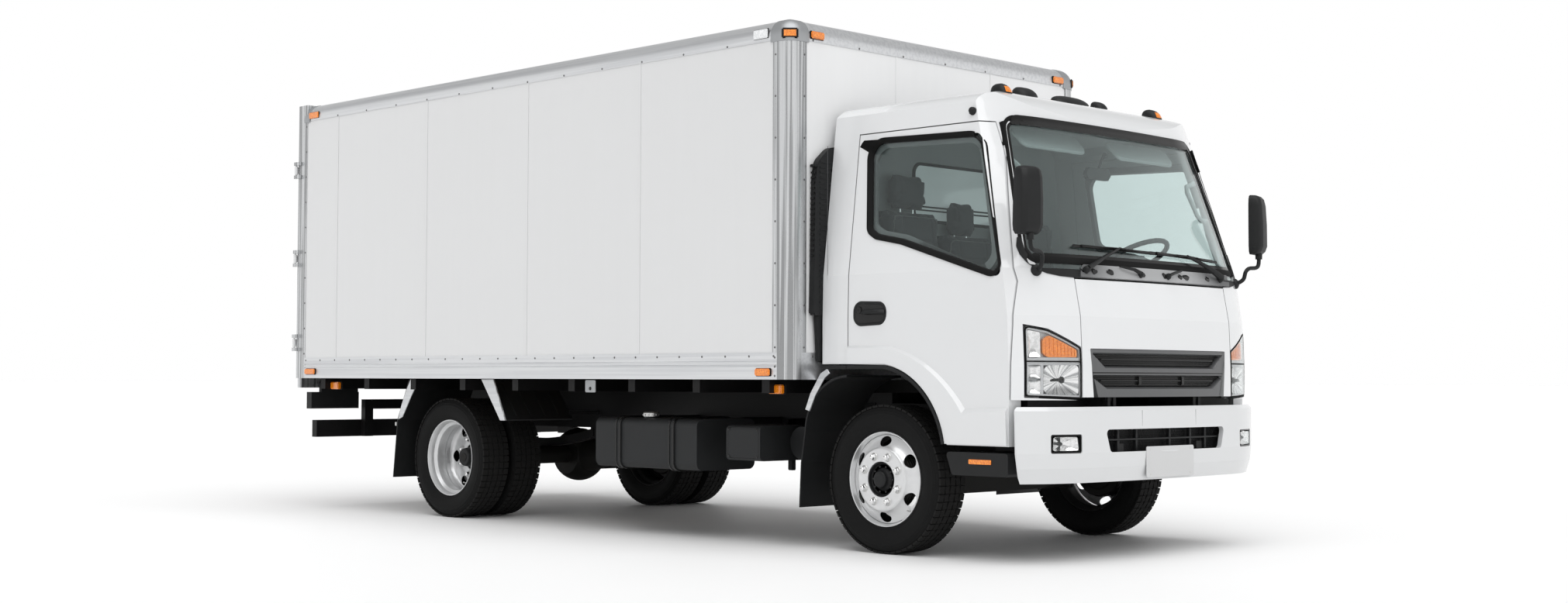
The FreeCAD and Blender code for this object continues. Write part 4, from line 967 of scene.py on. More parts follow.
def buildTyres():
    for kind, spots in tyrePlaces.items():
        finish = "tyreFront" if kind == "front_tyre" else "tyreRear"
        for side, word in sides:
            shape = Shape()
            for x, y in spots:
                centre = at(x, side * y, tyre["height"])
                carcass(shape, centre)
                for row in treadRows(centre, finish):
                    shape.mesh.from_mesh(row)
            node = kind + "_" + word
            made = shape.done(node + "_treaded", finish, bodyOf(node), 28)
            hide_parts(node)
    print("tyres")


lipLine = [(0.2532, 0.08), (0.254, 0.088), (0.2532, 0.0925), (0.2505, 0.0945), (0.2475, 0.0935), (0.2455, 0.089),
           (0.2438, 0.083), (0.2412, 0.078)]
# each wheel's section as (radius, outwards from the tyre's middle): its barrel, flat and dish
wheels = {
    "front_wheel": {
        "x": 0.0, "y": 0.912, "finish": "wheelSilver", "phase": 0.5, "flat": 0.122, "dish": 1,
        "barrel": [(0.2385, 0.072), (0.236, 0.064), (0.235, 0.02), (0.223, -0.01), (0.223, -0.045), (0.235, -0.06),
                   (0.244, -0.083), (0.248, -0.09), (0.253, -0.088)],
        "slope": [(0.17, 0.115), (0.176, 0.1055), (0.184, 0.0965), (0.196, 0.087), (0.212, 0.0775), (0.235, 0.068)],
        "hole": (0.2015, 0.0275, 0.0385), "cap": (0.0385, 0.014), "drum": (-0.008, 0.098)},
    "rear_wheels": {
        "x": rearAxleX, "y": 1.016, "finish": "wheelSilverRear", "phase": 0.0, "flat": -0.1, "dish": -1,
        "barrel": [(0.239, 0.066), (0.237, 0.054), (0.229, 0.046), (0.22, 0.038), (0.218, 0.03), (0.2175, 0.0),
                   (0.219, -0.02), (0.228, -0.032), (0.2325, -0.044), (0.233, -0.09)],
        "slope": [(0.156, -0.1), (0.17, -0.1), (0.185, -0.1), (0.205, -0.0995), (0.216, -0.0965), (0.226, -0.089),
                  (0.2345, -0.068)],
        "hole": (0.19, 0.031, 0.039), "cap": (0.056, 0.078), "drum": (-0.262, -0.12)}}


def between(line, place):
    # the value of a list of (place, value) corners at a place
    for (a, u), (b, v) in zip(line, line[1:]):
        if a <= place <= b:
            return u + (v - u) * (place - a) / (b - a)
    return line[-1][1] if place > line[-1][0] else line[0][1]


def dishSector(shape, spot, middle, slope, hole):
    # a sixth of the dish with its hand hole; spot(radius, angle, along) gives a point
    low, high = slope[0][0], slope[-1][0]
    radius, radial, wide = hole
    span = math.pi / wheel["holes"]
    rings = [[], [], [], []]
    count, lip = 36, 0.0035
    for k in range(count):
        turn = fullTurn * (k + 0.5) / count
        du, dv = math.cos(turn) * radial, math.sin(turn) * wide / radius
        limits = [abs(((high if du > 0 else low) - radius) / du), span / abs(dv)]
        reach = min(limits)
        for i, ring in enumerate(rings):
            share = 1 + (reach - 1) * i / (len(rings) - 1)
            r = radius + du * share
            ring.append(shape.mesh.verts.new(spot(r, middle + dv * share, between(slope, r))))
    edge = [shape.mesh.verts.new(v.co + spot(1, 0, -lip) - spot(1, 0, 0)) for v in rings[0]]
    shape.skin([edge] + rings)
    corners = oblong(high, span, low, -span)
    outer = rings[-1]
    for k, (r, turn) in enumerate(corners):
        corner = shape.mesh.verts.new(spot(r, middle + turn, between(slope, r)))
        nearest = sorted(range(count), key=lambda i: (outer[i].co - corner.co).length)[:2]
        shape.mesh.faces.new((outer[nearest[0]], corner, outer[nearest[1]]))


def buildRims():
    for kind, data in wheels.items():
        for side, word in sides:
            node = kind + "_" + word
            body = bodyOf(node)
            centre = at(data["x"], side * data["y"], axleZ)

            def spot(radius, turn, along):
                return centre + Vector((math.cos(turn) * radius, side * along, math.sin(turn) * radius))

            shape = Shape()
            line = lipLine + data["barrel"]
            back = [(min(r + 0.006, 0.253), a) for r, a in reversed(line[3:])]
            shape.lathe(line + back, centre, (0, side, 0), 96, closed=True)
            flat = data["flat"]
            inner = data["slope"][0][0]
            if data["dish"] > 0:
                face = [(0.0935, flat - 0.003), (0.095, flat - 0.0006), (0.0975, flat), (0.156, flat),
                        (0.161, flat - 0.0006), (0.166, flat - 0.0028), (0.1705, flat - 0.0072)]
            else:
                face = [(0.0935, flat - 0.003), (0.095, flat - 0.0006), (0.0975, flat), (inner + 0.0005, flat)]
            rear = [(r, a - 0.008) for r, a in reversed(face)]
            shape.lathe(face + rear, centre, (0, side, 0), 96, closed=True)
            dish = Shape()
            for k in range(wheel["holes"]):
                dishSector(dish, spot, fullTurn * (k + data["phase"]) / wheel["holes"], data["slope"], data["hole"])
            bmesh.ops.remove_doubles(dish.mesh, verts=dish.mesh.verts, dist=0.0004)
            bmesh.ops.recalc_face_normals(dish.mesh, faces=dish.mesh.faces)
            if sum(f.normal.y * side * f.calc_area() for f in dish.mesh.faces) < 0:
                bmesh.ops.reverse_faces(dish.mesh, faces=dish.mesh.faces[:])
            bmesh.ops.solidify(dish.mesh, geom=dish.mesh.faces[:], thickness=0.005)
            made = shape.done(node + "_rim", data["finish"], body, 32)
            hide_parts(node)
            dish.done(node + "_dish", data["finish"], body, 40)
            if kind == "rear_wheels":
                # the inner wheel of the pair
                twin = Shape()
                middle = at(data["x"], side * 0.752, axleZ)
                twin.lathe(line + back, middle, (0, -side, 0), 64, closed=True)
                twin.lathe([(0.0935, -0.122), (0.216, -0.122), (0.2345, -0.088), (0.2345, -0.096), (0.212, -0.13),
                            (0.0935, -0.13)], middle, (0, -side, 0), 64, closed=True)
                twin.done(node + "_inner_rim", data["finish"], body, 32)
            a, b = data["drum"]
            drum = Shape()
            drum.lathe([(0.033, a), (0.12, a), (0.128, a + 0.01), (0.163, a + 0.012), (0.168, a + 0.018),
                        (0.168, b - 0.004), (0.164, b), (0.033, b)], centre, (0, side, 0), 72, closed=True)
            for ring in range(3):
                place = a + 0.03 + ring * 0.02
                drum.lathe([(0.1675, place), (0.1715, place + 0.002), (0.1715, place + 0.005), (0.1675, place + 0.007)],
                           centre, (0, side, 0), 72, closed=True)
            drum.done(node + "_drum", "iron", body, 30)
    print("rims")


def buildHubs():
    for kind, data in wheels.items():
        for side, word in sides:
            node = kind + "_" + word
            body = bodyOf(node)
            disc = data["y"] + data["flat"]
            centre = at(data["x"], 0, axleZ)
            out = Vector((0, side, 0))
            ring = [Vector((math.cos(t), 0, math.sin(t))) for t in turnsOf(wheel["nuts"], 0.5)]
            points = [centre + spoke * wheel["nutCircle"] + out * (disc - 0.0005) for spoke in ring]
            facing = [out] * len(points)
            radius, height = wheel["nutRadius"], wheel["nutHeight"]
            studs(node + "_washers", points, facing, "zinc", body, radius * 1.32, 0.005, 0.85, 18)
            raised = [p + out * 0.004 for p in points]
            studs(node + "_nuts", raised, facing, "chrome", body, radius, height, 0.84, 6)
            studs(node + "_nut_ends", [p + out * (height - 0.001) for p in raised], facing, "chrome", body,
                  radius * 0.7, 0.008, 0.45, 12)
            r = wheel["hub"]
            cap, tall = data["cap"]
            back = -0.024 if tall < 0.03 else -0.012
            profile = [(0.0, -0.05), (r * 0.995, -0.05), (r * 0.995, -0.003), (r * 0.96, -0.0015), (r * 0.93, -0.004),
                       (r * 0.9, back + 0.006), (r * 0.84, back), (max(cap * 1.62, r * 0.62), back),
                       (max(cap * 1.5, r * 0.58), back + 0.006), (cap * 1.3, back + 0.01), (cap * 1.16, back + 0.018),
                       (cap * 1.12, tall * 0.7), (cap * 1.06, tall * 0.9), (cap * 0.98, tall),
                       (cap * 0.8, tall + 0.0022), (cap * 0.55, tall + 0.0012), (0.0, tall + 0.0012)]
            Shape().lathe(profile, (centre.x, side * disc, centre.z), out, 64).done(
                node + "_hub", "blackPlastic", body, 30)
            count = 10
            bolts = [Vector((centre.x + math.cos(t) * r * 0.74, side * (disc + back - 0.001),
                             centre.z + math.sin(t) * r * 0.74)) for t in turnsOf(count)]
            studs(node + "_hub_bolts", bolts, [out] * count, "glossBlack", body, 0.0065, 0.01, 0.9, 6)
            share = Vector((0.7071, 0, -0.7071))
            start = centre + share * 0.236 + out * (data["y"] + 0.06)
            Shape().tube([start, start + out * 0.016 - share * 0.006, start + out * 0.034 - share * 0.012],
                         [0.0046, 0.0038, 0.0044], 10).done(node + "_valve", "zinc", body)
    print("hubs and nuts")


buildTyres()
buildRims()
buildHubs()


# ---- chassis

def lampBlock(name, low, high, finish, body, out, base=0.35, edge=0.006):
    # a marker lamp: a black base against its panel and a coloured lens in front; out is the axis it faces
    low, high, out = at(*low), at(*high), Vector(out)
    inner = Shape()
    outer = Shape()
    split = Vector([(h - l) for l, h in zip(low, high)])
    axis = max(range(3), key=lambda i: abs(out[i]))
    lift = abs(split[axis]) * base
    baseLow, baseHigh, lensLow, lensHigh = low.copy(), high.copy(), low.copy(), high.copy()
    if out[axis] > 0:
        baseHigh[axis] = low[axis] + lift
        lensLow[axis] = baseHigh[axis] - 0.001
    else:
        baseLow[axis] = high[axis] - lift
        lensHigh[axis] = baseLow[axis] + 0.001
    for i in range(3):
        if i != axis:
            lensLow[i] += 0.003
            lensHigh[i] -= 0.003
    inner.box(baseLow, baseHigh, min(edge, lift * 0.45), 2)
    outer.box(lensLow, lensHigh, min(edge, (lensHigh[axis] - lensLow[axis]) * 0.45), 3)
    inner.done(name + "_base", "blackPlastic", body)
    outer.done(name + "_lens", finish, body)


def boxLamps():
    h, rear, front = box["half"], box["rear"], box["front"]
    for side, word in sides:
        def wall(name, x0, x1, z0, z1, finish, deep=0.018):
            y = sorted((side * (h - 0.003), side * (h + deep)))
            lampBlock(name + "_" + word, (x0, y[0], z0), (x1, y[1], z1), finish, frameBody, (0, side, 0))

        wall("rail_marker_rear", -5.315, -5.181, 0.95, 0.995, "amber")
        wall("rail_marker_front", -0.682, -0.561, 0.942, 0.988, "amber")
        wall("roof_marker_rear", -5.307, -5.181, 2.79, 2.84, "amber", 0.01)
        wall("roof_lamp_front", -0.707, -0.589, 2.795, 2.852, "clearLens", 0.01)
        for spot, x0, x1 in (("rear", -5.164, -5.057), ("front", -0.698, -0.588)):
            y = sorted((side * 1.15, side * 1.195))
            lampBlock("hanging_marker_" + spot + "_" + word, (x0, y[0], 0.844), (x1, y[1], 0.9), "amber", frameBody,
                      (0, side, 0))
        lampBlock("front_wall_marker_" + word, (front - 0.003, min(side * 1.146, side * 1.037), 2.792),
                  (front + 0.015, max(side * 1.146, side * 1.037), 2.838), "amber", frameBody, (1, 0, 0))
        y = sorted((side * 1.245, side * 1.295))
        lampBlock("rear_reflector_" + word, (rear - 0.014, y[0], 0.934), (rear + 0.001, y[1], 1.036), "red", frameBody,
                  (-1, 0, 0), 0.3, 0.003)
        # lens let into the front corner cap, turned half way between side and front
        middle = at(front - box["corner"], side * (h - box["corner"]), 2.812)
        turn = Matrix.Rotation(side * math.pi / 4, 3, "Z")
        r = 0.0985
        lens = Shape().box(middle + Vector((r - 0.012, -0.04, -0.024)), middle + Vector((r + 0.006, 0.04, 0.022)),
                           0.006, 3, turn, middle)
        lens.done("cap_lamp_lens_" + word, "amber", frameBody)
        frameRing = Shape().box(middle + Vector((r - 0.014, -0.046, -0.03)),
                                middle + Vector((r + 0.0025, 0.046, 0.028)), 0.006, 2, turn, middle)
        frameRing.done("cap_lamp_base_" + word, "blackPlastic", frameBody)
    # bracket plate that hangs below the sill, with a bolt
    for side, word in sides:
        ring = rounded(oblong(-2.181, 0.845, -2.086, 0.918), 0.008)
        y = side * 1.272
        plate = Shape().slab(ring, lambda u, v, w: at(u, y + side * w, v), 0, 0.005, 0.001, 1)
        plate.done("sill_bracket_" + word, "castAlloy", frameBody)
        studs("sill_bracket_bolt_" + word, [at(-2.134, y + side * 0.005, 0.868)], [(0, side, 0)], "glossBlack",
              frameBody, 0.011, 0.003, 0.9, 16)
    print("box lamps")


def tankFittings():
    def wrapped(name, x, width, low, high, finish, lift=0.004):
        # a strap pulled round a tank's section
        skin = surfaceOf("fuel_tank") if "fuel" in name else surfaceOf("frame_boxes")
        middle = at(x, (low[0] + high[0]) / 2, (low[1] + high[1]) / 2)
        points, outs = [], []
        for i in range(72):
            turn = fullTurn * i / 72
            out = Vector((0, math.cos(turn), math.sin(turn)))
            hit = onSurface(skin, middle + out * 0.8, -out)
            if hit:
                points.append(hit[0])
                outs.append(hit[1])
        for offset in (-width * 0.32, width * 0.32):
            section = [(-0.001, -width * 0.16), (lift, -width * 0.13), (lift, width * 0.13), (-0.001, width * 0.16)]
            Shape().strip([p + Vector((offset, 0, 0)) for p in points], outs, section).done(
                name + ("_a" if offset < 0 else "_b"), finish, frameBody)

    for k, x in enumerate((-1.998, -1.52)):
        wrapped("fuel_tank_strap_" + str(k), x, 0.055, (-1.165, 0.398), (-0.7, 0.695), "glossBlack")
    neck = at(-1.79, -1.09, 0.69)
    Shape().lathe([(0.0, -0.02), (0.038, -0.02), (0.038, 0.012), (0.047, 0.014), (0.047, 0.034), (0.043, 0.039),
                   (0.0, 0.041)], neck, (0, 0, 1), 40).done("fuel_cap", "zinc", frameBody)
    ears = [neck + Vector((math.cos(t) * 0.047, math.sin(t) * 0.047, 0.023)) for t in turnsOf(12)]
    studs("fuel_cap_grips", ears, [(e - neck - Vector((0, 0, 0.023))).normalized() for e in ears], "zinc", frameBody,
          0.006, 0.004, 0.7, 6)
    # screws on the faces of the side boxes
    spots = []
    side = surfaceOf("frame_boxes")
    for x in (-1.035, -0.808):
        for z in (0.493, 0.645):
            hit = onSurface(side, at(x, -1.4, z), (0, 1, 0))
            if hit:
                spots.append(hit)
    studs("side_box_screws", [s[0] for s in spots], [s[1] for s in spots], "glossBlack", frameBody, 0.009, 0.004, 0.8,
          12)
    lid = surfaceOf("frame_boxes")
    seam = Shape()
    ring = paced(rounded(oblong(-1.044, 0.484, -0.799, 0.654), 0.022), 0.02)
    hits = [onSurface(lid, at(x, -1.4, z), (0, 1, 0)) for x, z in ring]
    if all(hits):
        seam.strip([h[0] for h in hits], [h[1] for h in hits], [(-0.001, -0.002), (0.0016, 0), (-0.001, 0.002)])
        seam.done("side_box_lid_seam", "glossBlack", frameBody)
    # brackets that carry the tank and the box from the frame rail
    carry = Shape()
    for x in (-2.13, -1.39, -0.99, -0.86):
        carry.box(at(x - 0.02, -0.72, 0.66), at(x + 0.02, -0.4, 0.7), 0.004)
        carry.box(at(x - 0.02, -0.72, 0.4), at(x + 0.02, -0.69, 0.7), 0.004)
    carry.done("tank_brackets", "frame", frameBody)
    print("tank fittings")


def mudguardTrim(side, word):
    trim = Shape()
    y = side * 1.186
    for outline in (
            [(-3.352, 0.922), (-3.214, 0.922), (-3.085, 0.657), (-3.146, 0.657)],
            [(-4.155, 0.922), (-4.055, 0.922), (-4.15, 0.8), (-4.25, 0.662), (-4.3, 0.646), (-4.262, 0.742),
             (-4.205, 0.845)]):
        trim.slab(outline, lambda u, v, w: at(u, y + side * w, v), 0, 0.006, 0.0015, 1)
    trim.done("guard_edge_plates_" + word, "railX", frameBody)
    Shape().tube([at(-3.214, y + side * 0.006, 0.918), at(-3.085, y + side * 0.006, 0.66)], 0.006, 8).done(
        "guard_edge_lip_" + word, "postZ", frameBody)
    # pressed ribs across the sloping front board
    ribsShape = Shape()
    slope = surfaceOf("mudguards")
    for k in range(4):
        across = side * (0.74 + 0.115 * k)
        line = []
        for step in range(9):
            z = 0.885 - step * 0.025
            hit = onSurface(slope, at(-2.9, across, z), (-1, 0, 0))
            if hit and hit[0].x < at(-2.95, 0, 0).x:
                line.append(hit[0])
        if len(line) > 3:
            ribsShape.tube(line, 0.005, 6)
    ribsShape.done("guard_pressed_ribs_" + word, "frame", frameBody)
    # polished strip on the front guard
    outline = [(-0.345, 0.985), (-0.395, 0.96), (-0.47, 0.85), (-0.51, 0.762), (-0.478, 0.752), (-0.435, 0.84),
               (-0.365, 0.935), (-0.325, 0.96)]
    edge = surfaceOf("mudguards")
    hit = onSurface(edge, at(-0.43, side * 1.4, 0.86), (0, -side, 0))
    y = hit[0].y if hit else side * 1.083
    Shape().slab(outline, lambda u, v, w: at(u, y + side * w, v), -0.002, 0.006, 0.0015, 1).done(
        "front_guard_strip_" + word, "railX", frameBody)
    # flap retaining bars
    Shape().box(at(-4.372, side * 0.66 if side > 0 else -1.17, 0.6),
                at(-4.352, side * 1.17 if side > 0 else -0.66, 0.625), 0.002).done(
        "flap_bar_" + word, "zinc", frameBody)


tailLamp = {"x": -5.415, "z": (0.713, 0.817), "lenses": (("red", "red", 1.226, 1.022, 0.006, 0.016, 0.006),
                                                         ("amber", "amber", 1.02, 0.927, 0.005, 0.012, 0.005),
                                                         ("clear", "clearLens", 0.925, 0.845, 0.005, 0.012, 0.005))}


def rearLamps():
    x, (z0, z1) = tailLamp["x"], tailLamp["z"]
    for side, word in sides:
        for name, finish, outer, inner, behind, before, edge in tailLamp["lenses"]:
            y = sorted((side * outer, side * inner))
            Shape().box(at(x - behind, y[0], z0), at(x + before, y[1], z1), edge, 3).done(
                "tail_lens_" + name + "_" + word, finish, frameBody)
    plate = Shape().box(at(-5.428, -0.26, 0.7), at(-5.42, 0.26, 0.815), 0.002)
    plate.done("rear_plate_blank", "plate", frameBody)
    holder = Shape().box(at(-5.421, -0.275, 0.685), at(-5.405, 0.275, 0.83), 0.004)
    for y in (-0.2, 0.2):
        holder.box(at(-5.415, y - 0.02, 0.74), at(-5.3, y + 0.02, 0.79), 0.003)
    holder.done("rear_plate_holder", "blackPlastic", frameBody)
    ribs("underrun_rows", 9, at(-5.4135, -1.08, 0.561), (0, 0.27, 0), (0.003, 0.12, 0.05), "red", frameBody)
    print("rear lamps")


boxLamps()
tankFittings()
onBothSides(mudguardTrim, "mudguard trim")
rearLamps()


# ---- cab shell details

def gridded(outline, step):
    # a flat outline cut into cells: corners as (u, v) pairs and faces as corner numbers
    work = bmesh.new()
    work.faces.new([work.verts.new((u, v, 0)) for u, v in outline])
    for axis in (0, 1):
        low = min(p[axis] for p in outline)
        high = max(p[axis] for p in outline)
        count = max(1, round((high - low) / step))
        for k in range(1, count):
            place, normal = [0, 0, 0], [0, 0, 0]
            place[axis] = low + (high - low) * k / count
            normal[axis] = 1
            everything = work.verts[:] + work.edges[:] + work.faces[:]
            bmesh.ops.bisect_plane(work, geom=everything, plane_co=place, plane_no=normal, dist=1e-6)
    bmesh.ops.triangulate(work, faces=[f for f in work.faces if len(f.verts) > 4])
    work.verts.index_update()
    cells = [[v.index for v in f.verts] for f in work.faces]
    corners = [(v.co.x, v.co.y) for v in work.verts]
    rim = [(e.verts[0].index, e.verts[1].index) for e in work.edges if len(e.link_faces) == 1]
    work.free()
    return corners, cells, rim


def addPanel(shape, outline, place, low, high, step=0.03, edge=0.0, segments=2):
    # a plate that follows a curved surface; place(u, v, w) puts a corner w above the surface
    corners, cells, rim = gridded(outline, step)
    first = [shape.mesh.verts.new(place(u, v, low)) for u, v in corners]
    last = [shape.mesh.verts.new(place(u, v, high)) for u, v in corners]
    for cell in cells:
        shape.mesh.faces.new([first[i] for i in cell])
        shape.mesh.faces.new([last[i] for i in reversed(cell)])
    for a, b in rim:
        shape.mesh.faces.new((first[a], first[b], last[b], last[a]))
    if edge:
        edges = [shape.mesh.edges.get((last[a], last[b])) for a, b in rim]
        shape.bevel(edges, edge, segments)
    return shape


def inset(outline, amount):
    # a closed outline moved inwards along its corners' bisectors; a negative amount grows it
    area = sum(a[0] * b[1] - b[0] * a[1] for a, b in zip(outline, outline[1:] + outline[:1]))
    turn = 1 if area > 0 else -1
    moved = []
    for i, here in enumerate(outline):
        before, after = Vector(outline[i - 1]), Vector(outline[(i + 1) % len(outline)])
        along = (after - before).normalized()
        moved.append((here[0] - along.y * amount * turn, here[1] + along.x * amount * turn))
    return moved


skinNodes = ("cab_front_corners", "cab_roof", "cab_side_frames", "front_lid", "cowl", "windscreen", "headlamps")
frontSkin = surfaceOf(*skinNodes)
screenSkin = surfaceOf("windscreen")
shellSkin = surfaceOf("cab_front_corners", "cab_roof", "cab_side_frames", "front_lid", "cowl", "cab_door_right",
                      "cab_door_left")


def frontAt(y, z, lift=0.0, skin=None, ahead=(1, 0, 0)):
    # a point on the cab's front face, lifted forwards; past an edge it keeps the nearest place's x
    skin = skin or frontSkin
    for step in range(12):
        hit = onSurface(skin, at(1.6, y * (1 - step * 0.006), z - step * 0.004 * (z > 2)), (-1, 0, 0))
        if hit:
            break
    x = hit[0].x if hit else at(0.95, 0, 0).x
    return Vector((x, y, z)) + Vector(ahead) * lift


def sideAt(x, z, side, lift=0.0, skin=None):
    # a point on the cab's side, lifted outwards
    start, way = at(x, side * 1.6, z), (0, -side, 0)
    hit = onSurface(skin or shellSkin, start, way) or onSurface(shellSkin, start, way)
    y = hit[0].y if hit else side * 1.08
    return Vector((x + axleX, y + side * lift, z))


# the screen's outline in (y, z) and the side window's in (x, z)
screen = {"corners": [(-0.928, 1.54), (0.928, 1.54), (0.955, 1.59), (0.845, 2.276), (-0.845, 2.276), (-0.955, 1.59)],
          "radii": [0.03, 0.03, 0.06, 0.07, 0.07, 0.06], "sealOut": 0.022, "sealIn": 0.012, "band": 0.012}
sideWindow = {"corners": [(0.857, 1.434), (0.654, 2.195), (-0.119, 2.217), (-0.071, 1.721), (-0.012, 1.685),
                          (0.169, 1.65)], "radii": [0.05, 0.105, 0.095, 0.05, 0.06, 0.12], "sealOut": 0.012,
              "sealIn": 0.016, "band": 0.004}


def loopBand(shape, loops):
    # skins a closed ring from loops of points, one loop for each corner of its section
    rings = [[shape.mesh.verts.new(loop[i]) for loop in loops] for i in range(len(loops[0]))]
    shape.skin(rings, closed=True)
    return shape


def placedBand(shape, place, *rows):
    # the same from 2-D outlines, each with its height over a surface
    return loopBand(shape, [[place(u, v, height) for u, v in line] for line, height in rows])


def screenSeal():
    line = paced(rounded(screen["corners"], screen["radii"], 8), 0.05)
    out = inset(line, -screen["sealOut"])
    inner = inset(line, screen["sealIn"])
    band = inset(line, screen["sealIn"] + screen["band"])
    lift = Vector((0.92, 0, 0.38))

    def onShell(points, height):
        return [frontAt(y, z, 0, frontSkin) + lift * height for y, z in points]

    def onGlass(points, height):
        return [frontAt(y, min(z, 2.268), 0, screenSkin) + lift * height + Vector((-0.5, 0, 1)) * max(z - 2.268, 0)
                for y, z in points]

    # the rubber: from the body's lip, over a rounded crown, down on to the glass
    shell, glass = onShell(out, 0), onGlass(inner, 0)
    crown = [(a + b) / 2 + lift * 0.007 for a, b in zip(shell, glass)]
    rubberRing = Shape()
    loopBand(rubberRing, [[p - lift * 0.003 for p in shell], [p + lift * 0.0035 for p in shell],
                          [a.lerp(b, 0.35) + lift * 0.003 for a, b in zip(shell, crown)], crown,
                          [a.lerp(b, 0.6) + lift * 0.002 for a, b in zip(crown, glass)],
                          [p + lift * 0.003 for p in glass], [p - lift * 0.004 for p in glass]])
    rubberRing.done("screen_seal", "seal", cabBody, 60)
    # the dark band baked on to the glass inside the seal
    frit = Shape()
    near, far = onGlass(inset(line, 0.004), 0.0008), onGlass(band, 0.0008)
    loopBand(frit, [near, far, [p - lift * 0.0022 for p in far], [p - lift * 0.0022 for p in near]])
    frit.done("screen_band", "glossBlack", cabBody, 60)
    # the deep band along the bottom, which hides the dashboard's front
    ring = rounded([(-0.91, 1.54), (0.91, 1.54), (0.92, 1.57), (-0.92, 1.57)], [0.01, 0.01, 0.02, 0.02], 5)
    lower = addPanel(Shape(), ring, lambda u, v, w: frontAt(u, v, 0, screenSkin) + lift * w, -0.001, 0.0012, 0.05)
    lower.done("screen_lower_band", "glossBlack", cabBody, 60)
    # the lip under the roof's front edge
    ring = rounded([(-0.826, 2.248), (0.826, 2.248), (0.81, 2.299), (-0.81, 2.299)], [0.01, 0.01, 0.05, 0.05], 5)
    upper = addPanel(Shape(), ring, lambda u, v, w: frontAt(u, v, 0, frontSkin) + lift * w, -0.002, 0.0075, 0.02, 0.002)
    upper.done("screen_top_lip", "glossBlack", cabBody, 60)
    print("screen seal")


def cornerTrim(side, word):
    # black corner pieces from the screen's lower corners to the cowl, with a narrow pillar edge above
    outline = [(0.69, 1.447), (0.79, 1.452), (0.868, 1.464), (0.925, 1.486), (0.962, 1.516), (0.985, 1.556),
               (0.99, 1.6), (0.972, 1.65), (0.955, 1.64), (0.955, 1.571), (0.905, 1.489), (0.69, 1.489)]
    ring = rounded(outline, [0, 0.05, 0.05, 0.05, 0.04, 0.04, 0.03, 0.006, 0.004, 0.05, 0.025, 0], 4)
    trim = Shape()
    addPanel(trim, ring, lambda u, v, w: frontAt(side * u, v, 0, shellSkin) + Vector((0.86, side * 0.4, 0.3)) * w,
             -0.002, 0.0055, 0.03, 0.002)
    trim.done("screen_corner_trim_" + word, "blackPlastic", cabBody, 50)


def windowSeals(side, word):
    body = bodyOf("cab_door_" + word)
    door = surfaceOf("cab_door_" + word)
    glass = surfaceOf("door_glass_" + word)
    line = paced(rounded(sideWindow["corners"], sideWindow["radii"], 8), 0.05)
    out, inner = inset(line, -sideWindow["sealOut"]), inset(line, sideWindow["sealIn"])
    lift = Vector((0, side, 0))
    shell = [sideAt(x, z, side, 0, door) for x, z in out]
    pane = [sideAt(x, z, side, 0, glass) for x, z in inner]
    crown = [a.lerp(b, 0.45) + lift * 0.01 for a, b in zip(shell, pane)]
    ring = Shape()
    loopBand(ring, [[p - lift * 0.003 for p in shell], [p + lift * 0.006 for p in shell], crown,
                    [a.lerp(b, 0.6) + lift * 0.001 for a, b in zip(crown, pane)], [p + lift * 0.003 for p in pane],
                    [p - lift * 0.004 for p in pane]])
    ring.done("door_window_seal_" + word, "seal", body, 60)
    band = Shape()
    near = [sideAt(x, z, side, 0.0008, glass) for x, z in inset(line, 0.004)]
    far = [sideAt(x, z, side, 0.0008, glass) for x, z in inset(line, sideWindow["sealIn"] + sideWindow["band"])]
    loopBand(band, [near, far, [p - lift * 0.002 for p in far], [p - lift * 0.002 for p in near]])
    band.done("door_window_band_" + word, "glossBlack", body, 60)


handle = {"x": (-0.15, 0.08), "z": (1.212, 1.345), "radius": 0.052}


